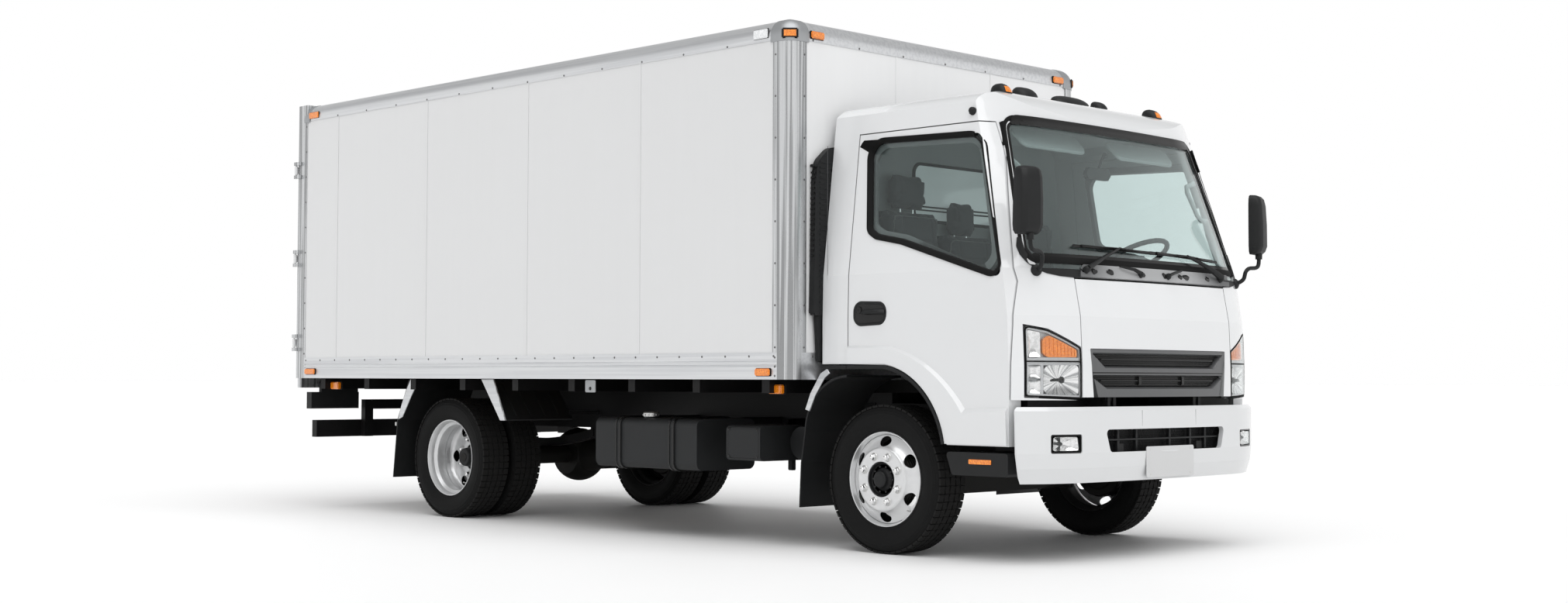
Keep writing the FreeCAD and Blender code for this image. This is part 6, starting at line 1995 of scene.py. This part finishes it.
def remeshed(shape, name):
    # an even closed skin of small faces, which the cloth needs
    bmesh.ops.recalc_face_normals(shape.mesh, faces=shape.mesh.faces)
    data = bpy.data.meshes.new(name + "_base")
    shape.mesh.to_mesh(data)
    shape.mesh.free()
    work = bpy.data.objects.new(name + "_work", data)
    bpy.context.collection.objects.link(work)
    skin = work.modifiers.new("voxels", "REMESH")
    skin.mode = "VOXEL"
    skin.voxel_size = seat["voxel"]
    bpy.context.view_layer.update()
    even = bpy.data.meshes.new_from_object(work.evaluated_get(bpy.context.evaluated_depsgraph_get()))
    bpy.data.objects.remove(work)
    return even


def puffed(data, name, rest):
    # blows the pad up with cloth, then holds every point within reach of where it began; rest(co) keeps it on its base
    work = bpy.data.objects.new(name + "_cloth", data)
    bpy.context.collection.objects.link(work)
    start = [v.co.copy() for v in data.vertices]
    cloth = work.modifiers.new("cloth", "CLOTH")
    cloth.settings.quality = 5
    cloth.settings.mass = 0.3
    cloth.settings.use_pressure = True
    cloth.settings.uniform_pressure_force = seat["pressure"]
    cloth.settings.effector_weights.gravity = 0
    cloth.point_cache.frame_start = 1
    cloth.point_cache.frame_end = seat["frames"]
    for frameNumber in range(1, seat["frames"] + 1):
        bpy.context.scene.frame_set(frameNumber)
    swollen = bpy.data.meshes.new_from_object(work.evaluated_get(bpy.context.evaluated_depsgraph_get()))
    moved = [v.co.copy() for v in swollen.vertices]
    bpy.context.scene.frame_set(1)
    bpy.data.objects.remove(work)
    for vertex, first, last in zip(data.vertices, start, moved):
        step = last - first
        if step.length > seat["reach"]:
            step = step * (seat["reach"] / step.length)
        vertex.co = rest(first + step)
    return data


def pad(name, line, radius, half, channels, rest):
    # a stuffed block from its side outline, with sewn channels pressed in after the cloth
    shape = Shape()
    ring = rounded(line, radius, 5)
    shape.slab(ring, lambda u, v, w: at(u, w, v), -half, half, radius * 0.7, 3, back=True)
    data = puffed(remeshed(shape, name), name, rest)
    normals = [v.normal.copy() for v in data.vertices]
    for vertex, normal in zip(data.vertices, normals):
        x, y, z = vertex.co.x - axleX, vertex.co.y, vertex.co.z
        sink = 0.0
        for depth, width, distance in channels(x, y, z):
            sink = max(sink, depth * math.exp(-(distance / width) ** 2))
        vertex.co -= normal * sink
    return data


def upholstery():
    def cushionChannels(x, y, z):
        top = z > 1.25 - 0.05 * x
        return [(0.007 * top, 0.005, abs(abs(y) - 0.12)), (0.006 * top, 0.005, abs(x - 0.235) + (abs(y) > 0.12) * 0.4),
                (0.006 * top, 0.005, abs(x - 0.08) + (abs(y) > 0.12) * 0.4),
                (0.005 * top, 0.005, abs(x + 0.07) + (abs(y) > 0.12) * 0.4)]

    def backChannels(x, y, z):
        face = x > -0.195 - 0.16 * (z - 1.55)
        return [(0.007 * face, 0.005, abs(abs(y) - 0.118)),
                (0.006 * face, 0.005, abs(z - 1.42) + (abs(y) > 0.118) * 0.4),
                (0.006 * face, 0.005, abs(z - 1.56) + (abs(y) > 0.118) * 0.4),
                (0.006 * face, 0.005, abs(z - 1.7) + (abs(y) > 0.118) * 0.4)]

    def headChannels(x, y, z):
        return [(0.004, 0.004, abs(abs(y) - 0.098))]

    def onBase(co):
        return Vector((co.x, co.y, max(co.z, 1.1575)))

    def onShell(co):
        along = (co.z - 1.296) / 0.576
        return Vector((max(co.x, at(-0.2175 - 0.078 * along, 0, 0).x), co.y, co.z))

    width = seat["width"] / 2
    kinds = {"cushion": pad("seat_cushion", cushionLine, 0.036, width - seat["shrink"], cushionChannels, onBase),
             "back": pad("seat_back", backLine, 0.032, width - 0.01 - seat["shrink"], backChannels, onShell),
             "headrest": pad("seat_headrest", headLine, 0.033, 0.136 - seat["shrink"], headChannels, lambda co: co)}
    made = None
    for word, (low, high) in seat["places"].items():
        middle, wide = (low + high) / 2, (high - low) / seat["width"]
        for kind, source in kinds.items():
            data = source.copy()
            small = word == "middle"
            stretch = wide if kind != "headrest" else 0.7 if small else 1.0
            for vertex in data.vertices:
                vertex.co.y = vertex.co.y * stretch + middle
                if small and kind == "back":
                    vertex.co.x += max(vertex.co.z - 1.3, 0) * 0.2 * 0.135
                    vertex.co.z -= max(vertex.co.z - 1.3, 0) * 0.2
                elif small and kind == "headrest":
                    vertex.co.z -= 0.125
            smooth = bmesh.new()
            smooth.from_mesh(data)
            bmesh.ops.smooth_vert(smooth, verts=smooth.verts, factor=0.5, use_axis_x=True, use_axis_y=True,
                                  use_axis_z=True)
            smooth.to_mesh(data)
            smooth.free()
            piece = showPiece(f"seat_{kind}_{word}", data, "seatCloth", cabBody, 60)
            made = made or piece
        # piping round the cushion and the back, carried on the pads' own faces
        surfaces = {}
        for kind in ("cushion", "back"):
            source = bpy.data.objects[f"seat_{kind}_{word}"].data
            surfaces[kind] = BVHTree.FromPolygons([v.co for v in source.vertices],
                                                  [list(f.vertices) for f in source.polygons])
        half = (high - low) / 2
        cushionRing = paced(rounded([(0.295, -half + 0.038), (0.295, half - 0.038), (-0.165, half - 0.038),
                                     (-0.165, -half + 0.038)], 0.03, 5), 0.02)
        backRing = paced(rounded([(1.345, -half + 0.045), (1.345, half - 0.045), (1.835, half - 0.045),
                                  (1.835, -half + 0.045)], 0.03, 5), 0.02)
        drop = 0.115 if word == "middle" else 0.0
        backRing = [(1.345 + (z - 1.345) * (1 - drop / 0.49), y) for z, y in backRing]
        piping = Shape()
        line = [onSurface(surfaces["cushion"], at(x, middle + y, 1.6), (0, 0, -1), (at(x, middle + y, 1.3), None))[0]
                for x, y in cushionRing]
        piping.tube(line, 0.0032, 6, closed=True)
        line = [onSurface(surfaces["back"], at(0.3, middle + y, z), (-1, 0, 0), (at(-0.16, middle + y, z), None))[0]
                for z, y in backRing]
        piping.tube(line, 0.0032, 6, closed=True)
        piping.done("seat_piping_" + word, "interior", cabBody, 60)
        frameShape = Shape()
        for y in (middle - 0.054, middle + 0.054):
            frameShape.tube([at(-0.251, y, 1.855 - drop), at(-0.251, y, 1.922 - drop)], 0.0058, 12)
        frameShape.done("seat_posts_" + word, "chrome", cabBody)
        base = Shape()
        plinth = rounded(oblong(-0.19, 1.1505, 0.3, 1.159), 0.002, 2)
        base.slab(plinth, lambda u, v, w: at(u, w, v), low + 0.03, high - 0.03, 0.003, 2, back=True)
        if high > 0.445:
            base.box(at(-0.19, 0.452, 1.046), at(0.29, high - 0.045, 1.152), 0.01, 2)
        if low < -0.445:
            base.box(at(-0.19, low + 0.045, 1.046), at(0.29, -0.452, 1.152), 0.01, 2)
        shell = rounded([(-0.2175, 1.3), (-0.2165, 1.302), (-0.2945 + drop * 0.13, 1.866 - drop),
                         (-0.2985 + drop * 0.13, 1.866 - drop), (-0.2225, 1.3)], 0.0015, 2)
        base.slab(shell, lambda u, v, w: at(u, w, v), low + 0.02, high - 0.02, 0.002, 2, back=True)
        base.lathe([(0, 0), (0.034, 0), (0.036, 0.008), (0.03, 0.02), (0, 0.021)],
                   at(-0.165, high - 0.012 if low > 0 else low + 0.012, 1.235), (0, 1 if low > 0 else -1, 0), 28)
        base.done("seat_frame_" + word, "blackPlastic", cabBody)
    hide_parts("seats")
    print("seats")


steering = {"centre": (0.6, 0.5, 1.525), "axis": (-0.4698616, 0, 0.8827401), "ring": 0.205, "raised": 0.105}


def steeringWheel():
    axis = Vector(steering["axis"])
    centre = at(*steering["centre"]) + axis * steering["raised"]
    body = bodyOf("steering_wheel")
    across = Vector((0, 1, 0))
    down = axis.cross(across)
    rim = Shape()
    points, sizes = [], []
    for k in range(96):
        turn = fullTurn * k / 96
        points.append(centre + across * (math.cos(turn) * steering["ring"])
                      + down * (math.sin(turn) * steering["ring"]))
        sizes.append(0.0142 + 0.0007 * math.cos(turn * 32))
    rim.tube(points, sizes, 14, closed=True)
    made = rim.done("steering_wheel_rim", "blackPlastic", body, 60)
    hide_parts("steering_wheel")
    spokes = Shape()
    for turn in (0.0, math.pi, math.pi / 2 - 0.28, math.pi / 2 + 0.28):
        way = across * math.cos(turn) + down * math.sin(turn)
        spokes.tube([centre - axis * 0.03 + way * 0.04, centre - axis * 0.026 + way * 0.09,
                     centre - axis * 0.012 + way * 0.15, centre + way * (steering["ring"] - 0.008)],
                    [0.022, 0.016, 0.013, 0.011], 12, flat=0.55)
    spokes.done("steering_wheel_spokes", "interior", body, 50)
    outline = rounded([(-0.07, -0.048), (0.07, -0.048), (0.055, 0.062), (-0.055, 0.062)], 0.026, 6)
    Shape().slab(outline, lambda u, v, w: centre + across * u + down * v + axis * w, -0.044, -0.006, 0.01, 4).done(
        "steering_wheel_pad", "interior", body, 50)
    column = Shape()
    outline = rounded([(-0.048, -0.04), (0.048, -0.04), (0.044, 0.048), (-0.044, 0.048)], 0.018, 5)
    column.slab(outline, lambda u, v, w: centre + across * u * (1 - w * 0.6) + down * v * (1 - w * 0.6) + axis * w,
                -0.28, -0.051, 0.008, 3)
    for side, lift in ((1, 0.0), (-1, 0.01)):
        column.tube([centre - axis * 0.09 + across * side * 0.04 - down * lift,
                     centre - axis * 0.078 + across * side * 0.11 - down * lift,
                     centre - axis * 0.066 + across * side * 0.17 - down * lift], [0.0058, 0.005, 0.0085], 10, flat=0.8)
    column.done("steering_column_shroud", "blackPlastic", cabBody, 50)
    print("steering wheel")


def dashDetails():
    dash = Shape()
    hood = rounded([(0.33, 1.44), (0.67, 1.44), (0.64, 1.5), (0.56, 1.52), (0.44, 1.52), (0.36, 1.5)],
                   [0.01, 0.01, 0.03, 0.05, 0.05, 0.03], 5)
    dash.slab(hood, lambda u, v, w: at(w - (v - 1.44) * 0.2, u, v), 0.69, 0.8, 0.008, 3, back=True)
    dash.box(at(0.6, -0.3, 1.466), at(0.79, 0.16, 1.478), 0.006, 2)
    dash.box(at(0.548, -0.13, 1.215), at(0.6, 0.13, 1.395), 0.012, 3)
    dash.done("dash_hood", "interior", cabBody, 40)
    dials = Shape()
    for y in (0.43, 0.57):
        dials.lathe([(0.04, 0), (0.052, 0), (0.054, 0.004), (0.05, 0.007), (0.04, 0.004)], at(0.7, y, 1.478),
                    (-1, 0, 0.12), 36, closed=True)
    for y, z, r in ((-0.075, 1.35, 0.017), (0.0, 1.35, 0.017), (0.075, 1.35, 0.017)):
        dials.lathe([(0, 0), (r, 0), (r * 0.95, 0.012), (r * 0.8, 0.015), (0, 0.015)], at(0.549, y, z), (-1, 0, 0), 24)
    dials.box(at(0.544, -0.09, 1.255), at(0.552, 0.09, 1.31), 0.003, 2)
    dials.done("dash_dials", "glossBlack", cabBody, 40)
    slats = Shape()
    for y in (-0.84, -0.24, 0.24, 0.84):
        for k in range(6):
            slats.box(at(0.552, y - 0.07, 1.322 + k * 0.01), at(0.566, y + 0.07, 1.325 + k * 0.01), 0.001, 1)
        slats.box(at(0.548, y - 0.078, 1.312), at(0.56, y + 0.078, 1.317), 0.002, 1)
        slats.box(at(0.548, y - 0.078, 1.379), at(0.56, y + 0.078, 1.384), 0.002, 1)
    slats.done("dash_vents", "blackPlastic", cabBody)
    ring = rounded(oblong(-0.78, 1.222, -0.33, 1.302), 0.02, 5)
    Shape().slab(ring, lambda u, v, w: at(0.56 + (1.3 - v) * 0.667 + w, u, v), -0.006, 0.01, 0.003, 2).done(
        "dash_glovebox", "interior", cabBody, 40)
    lever = Shape()
    lever.tube([at(0.44, 0.06, 1.15), at(0.436, 0.062, 1.26), at(0.42, 0.066, 1.36)], [0.009, 0.008, 0.007], 12)
    lever.lathe([(0, -0.004), (0.016, 0.0), (0.024, 0.018), (0.024, 0.034), (0.014, 0.046), (0, 0.048)],
                at(0.419, 0.066, 1.355), (-0.1, 0, 1), 24)
    lever.lathe([(0.06, 0), (0.052, 0.012), (0.036, 0.03), (0.02, 0.052), (0.01, 0.07), (0.0, 0.07)],
                at(0.44, 0.06, 1.15), (0, 0, 1), 28)
    lever.done("gear_lever", "blackPlastic", cabBody, 60)
    print("dash")


def cabLinings():
    roof = surfaceOf("cab_roof")

    def underRoof(x, y):
        hit = onSurface(roof, at(x, y, 1.9), (0, 0, 1))
        return hit[0].z if hit else 2.46

    liner = Shape()
    outline = [(-0.3, -0.86), (0.56, -0.8), (0.56, 0.8), (-0.3, 0.86)]
    addPanel(liner, rounded(outline, 0.06, 4), lambda u, v, w: Vector((u + axleX, v, min(underRoof(u, v), 2.52) + w)),
             -0.026, -0.004, 0.09)
    liner.done("headlining", "headlining", cabBody, 60)
    for side, word in sides:
        ring = rounded([(side * 0.13, 0), (side * 0.72, 0), (side * 0.69, 0.15), (side * 0.15, 0.15)], 0.03, 5)
        Shape().slab(ring, lambda u, v, w: at(0.61 + v * 0.55 + w * 0.5, u, 2.245 - v * 0.62 + w), -0.008, 0.008,
                     0.005, 3, back=True).done("sun_visor_" + word, "headlining", cabBody, 60)
        path = [at(0.812, side * 0.84, 1.838), at(0.806, side * 0.8, 1.842), at(0.794, side * 0.78, 1.868),
                at(0.77, side * 0.772, 1.93), at(0.735, side * 0.768, 2.005), at(0.722, side * 0.785, 2.04),
                at(0.73, side * 0.85, 2.062)]
        Shape().tube(path, [0.015, 0.014, 0.0125, 0.0125, 0.0125, 0.014, 0.015], 12).done(
            "pillar_handle_" + word, "headlining", cabBody, 60)
        trim = Shape()
        body = bodyOf("cab_door_" + word)
        line = paced(rounded([(0.79, 1.47), (0.625, 2.15), (-0.088, 2.172), (-0.045, 1.76), (0.03, 1.72), (0.19, 1.69)],
                             [0.07, 0.09, 0.09, 0.05, 0.07, 0.12], 8), 0.04)
        out = inset(line, -0.045)
        inner = surfaceOf("door_glass_" + word)

        def across(x, z, w):
            held = min(z, 2.175)
            hit = onSurface(inner, at(x, 0, held), (0, side, 0)) or onSurface(inner, at(0.3, 0, held), (0, side, 0))
            y = abs(hit[0].y) if hit else 1.0
            return Vector((x + axleX, side * (y - w), z))

        placedBand(trim, across, (line, 0.006), (inset(line, -0.006), 0.03), (out, 0.034), (out, 0.006))
        trim.done("door_window_liner_" + word, "interior", body, 50)
    # the window in the cab's back wall, with its seal and a guard bar
    opening = rounded(oblong(-0.405, 1.835, 0.405, 2.16), 0.06, 6)
    # its pane glows, painted light for the bright view through the window
    Shape().slab(opening, lambda u, v, w: at(-0.322 + w, u, v), 0.0, 0.005, 0.001).done(
        "cab_rear_window", "rearPane", cabBody)
    edge = Shape()
    line = paced(opening, 0.05)
    edge.strip([at(-0.322, y, z) for y, z in line], forwards,
               [(-0.001, -0.01), (0.012, -0.007), (0.012, 0.007), (-0.001, 0.01)])
    for z in (1.895, 1.915):
        edge.tube([at(-0.306, -0.4, z), at(-0.306, 0.4, z)], 0.0045, 8)
    edge.done("cab_rear_window_seal", "seal", cabBody, 50)
    mirrorShape = Shape()
    ring = rounded([(-0.115, 0), (0.115, 0), (0.105, 0.062), (-0.105, 0.062)], 0.02, 6)
    mirrorShape.slab(ring, lambda u, v, w: at(0.655 + v * 0.1 + w, u, 2.025 + v), -0.012, 0.014, 0.007, 3, back=True)
    mirrorShape.tube([at(0.672, 0, 2.085), at(0.69, 0, 2.13), at(0.715, 0, 2.165)], [0.008, 0.007, 0.014], 12)
    mirrorShape.done("inner_mirror", "blackPlastic", cabBody, 60)
    Shape().slab(inset(ring, 0.006), lambda u, v, w: at(0.6425 + v * 0.1 + w, u, 2.025 + v), -0.0012, 0.001, 0.0005,
                 1).done("inner_mirror_glass", "chrome", cabBody)
    print("linings")


def doorLinings(side, word):
    body = bodyOf("cab_door_" + word)
    node = surfaceOf("cab_door_" + word)

    def inside(u, v, w):
        hit = onSurface(node, at(u, 0, v), (0, side, 0))
        y = abs(hit[0].y) if hit else 0.985
        return Vector((u + axleX, side * (y - w), v))

    card = Shape()
    outline = rounded([(-0.16, 1.09), (0.3, 1.09), (0.56, 0.86), (0.84, 0.86), (0.846, 1.36), (-0.16, 1.36)],
                      [0.03, 0.06, 0.06, 0.03, 0.04, 0.04], 5)
    addPanel(card, outline, inside, -0.001, 0.0035, 0.08, 0.0015)
    card.done("door_card_" + word, "interior", body, 50)
    Shape().tube([inside(-0.1, 1.3, 0.0), inside(-0.06, 1.3, 0.004), inside(0.14, 1.3, 0.004), inside(0.18, 1.3, 0.0)],
                 [0.012, 0.014, 0.014, 0.012], 10, flat=0.9).done("door_armrest_" + word, "blackPlastic", body, 60)


# ---- back of the box

rearDoor = {"x": -5.449, "bars": (0.17, 0.9), "y": (0.004, 1.234), "z": (1.05, 2.785), "strap": 0.016,
            "hinges": (1.18, 1.79, 2.43)}


def rearFittings():
    for side, word in sides:
        body = bodyOf("cargo_door_" + word)
        back = rearDoor["x"] + axleX
        y0, y1 = rearDoor["y"]
        z0, z1 = rearDoor["z"]
        ring = rounded(oblong(side * (y0 + 0.006), z0 + 0.006, side * (y1 - 0.006), z1 - 0.006), 0.02, 4)
        line = paced(ring, 0.2)
        Shape().strip([Vector((back, y, z)) for y, z in line], backward,
                      [(-0.003, -0.004), (0.0035, -0.003), (0.0035, 0.004), (-0.003, 0.006)]).done(
            "cargo_door_gasket_" + word, "seal", body, 50)
        inner = inset(ring, 0.02)
        Shape().strip([Vector((back, y, z)) for y, z in paced(inner, 0.2)], backward,
                      oblong(-0.002, -0.012, 0.0028, 0.012)).done("cargo_door_edging_" + word, "postZ", body, 30)
        rivets = [Vector((back - 0.0024, y, z)) for y, z in paced(inner, 0.1)]
        studs("cargo_door_rivets_" + word, rivets, backward, "rivet", body, 0.0042, 0.0022, 0.6, 6)
        # a cover on each hinge strap, with its bolts
        straps = Shape()
        face = back - rearDoor["strap"]
        for z in rearDoor["hinges"]:
            outline = rounded([(side * (y1 - 0.03), z - 0.021), (side * (y1 - 0.03), z + 0.021),
                               (side * (y1 - 0.27), z + 0.021), (side * (y1 - 0.292), z),
                               (side * (y1 - 0.27), z - 0.021)], 0.006, 4)
            straps.slab(outline, lambda u, v, w: Vector((face - w, u, v)), -0.001, 0.0025, 0.001, 2)
        straps.done("cargo_hinge_straps_" + word, "zinc", body)
        bolts = [Vector((face - 0.002, side * (y1 - d), z)) for z in rearDoor["hinges"] for d in (0.065, 0.14, 0.225)]
        studs("cargo_hinge_bolts_" + word, bolts, backward, "zinc", body, 0.009, 0.004, 0.8, 6)
        guides, keepers = Shape(), []
        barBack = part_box("lock_bars_" + word)[0].x
        for y in rearDoor["bars"]:
            for z in (1.09, 1.32, 1.62, 2.05, 2.45, 2.745):
                guides.box((barBack + 0.006, side * y - 0.034, z - 0.018), (back + 0.001, side * y + 0.034, z + 0.018),
                           0.004, 2)
                keepers += [Vector((barBack + 0.0065, side * y + d, z)) for d in (-0.026, 0.026)]
        guides.done("lock_bar_guides_" + word, "zinc", body)
        studs("lock_bar_bolts_" + word, keepers, backward, "rivet", body, 0.006, 0.004, 0.8, 6)
        plate = Shape()
        for y in rearDoor["bars"]:
            toward = side * (1 if y < 0.5 else -1)
            ring = rounded(oblong(side * y + toward * 0.2, 1.35, side * y + toward * 0.285, 1.442), 0.012, 4)
            plate.slab(ring, lambda u, v, w: Vector((back - w, u, v)), 0.0, 0.006, 0.002, 2)
        plate.done("lock_handle_keepers_" + word, "zinc", body)
    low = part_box("rear_frame")[0]
    bumpers = Shape()
    for y in (-1.06, -0.62, 0.62, 1.06):
        bumpers.box((low.x - 0.0005, y - 0.055, 0.955), (low.x + 0.02, y + 0.055, 1.025), 0.01, 3)
    bumpers.done("dock_bumpers", "seal", frameBody)
    for side, word in sides:
        lampBlock("rear_top_lamp_" + word, (low.x - axleX - 0.0002, side * 1.2 - 0.05, 2.815),
                  (low.x - axleX + 0.014, side * 1.2 + 0.05, 2.845), "red", frameBody, (-1, 0, 0), 0.35, 0.0015)
        lampBlock("rear_reflector_" + word, (low.x - axleX - 0.0002, side * 1.16 - 0.055, 0.935),
                  (low.x - axleX + 0.01, side * 1.16 + 0.055, 0.952), "red", frameBody, (-1, 0, 0), 0.3, 0.001)
    print("rear fittings")


upholstery()
steeringWheel()
dashDetails()
cabLinings()
onBothSides(doorLinings, "door linings")
rearFittings()


# ---- floor, lights and camera

studio = {"floor": 400.0, "horizon": 1.0, "zenith": 0.42, "skyEdge": 0.26, "skyTop": 0.55,
          "sunPower": 2.3, "sunAngle": 70.0, "sunFrom": (0.34, -0.22, 0.9)}
floorShade = Shade("paleFloor")
floorMix = floorShade.blend(floorShade.noise(2.5, 2.0), rgb(0.9), rgb(0.915))
floorMaterial = floorShade.put({"Base Color": floorMix, "Roughness": 0.55 + floorShade.noise(0.5) * 0.05})
floorMesh = bpy.data.meshes.new("floor")
half = studio["floor"]
floorMesh.from_pydata([(-half, -half, 0), (half, -half, 0), (half, half, 0), (-half, half, 0)], [], [(0, 1, 2, 3)])
floor = bpy.data.objects.new("floor", floorMesh)
bpy.context.collection.objects.link(floor)
floorMesh.materials.append(floorMaterial)

world = bpy.data.worlds.new("studio")
bpy.context.scene.world = world
world.use_nodes = True
skyTree = world.node_tree
direction = skyTree.nodes.new("ShaderNodeTexCoord")
heights = skyTree.nodes.new("ShaderNodeSeparateXYZ")
band = skyTree.nodes.new("ShaderNodeMapRange")
band.interpolation_type = "SMOOTHSTEP"
for key, value in enumerate((studio["skyEdge"], studio["skyTop"], studio["horizon"], studio["zenith"])):
    band.inputs[key + 1].default_value = value
skyTree.links.new(direction.outputs["Generated"], heights.inputs[0])
skyTree.links.new(heights.outputs[2], band.inputs[0])
skyTree.links.new(band.outputs[0], skyTree.nodes["Background"].inputs["Strength"])
skyTree.nodes["Background"].inputs["Color"].default_value = rgb(1.0)

sun = bpy.data.lights.new("softbox", "SUN")
sun.energy = studio["sunPower"]
sun.angle = math.radians(studio["sunAngle"])
sunObject = bpy.data.objects.new("softbox", sun)
sunObject.rotation_euler = Vector(studio["sunFrom"]).to_track_quat("Z", "Y").to_euler()
bpy.context.collection.objects.link(sunObject)

view = {"lens": 43.99, "spot": (9.028, -8.621, 0.928), "yaw": 134.95, "pitch": 2.32, "roll": 0.17}
camera = bpy.data.cameras.new("camera")
camera.lens = view["lens"]
camera.sensor_width = 36.0
cameraObject = bpy.data.objects.new("camera", camera)
yaw, pitch, roll = (math.radians(view[key]) for key in ("yaw", "pitch", "roll"))
forward = Vector((math.cos(yaw) * math.cos(pitch), math.sin(yaw) * math.cos(pitch), math.sin(pitch)))
right = forward.cross(Vector((0, 0, 1))).normalized()
up = right.cross(forward)
tilted = right * math.cos(roll) + up * math.sin(roll)
turn = Matrix((tilted, tilted.cross(forward), -forward)).transposed()
cameraObject.matrix_world = Matrix.Translation(view["spot"]) @ turn.to_4x4()
bpy.context.collection.objects.link(cameraObject)
bpy.context.scene.camera = cameraObject
bpy.context.scene.view_settings.view_transform = "Standard"
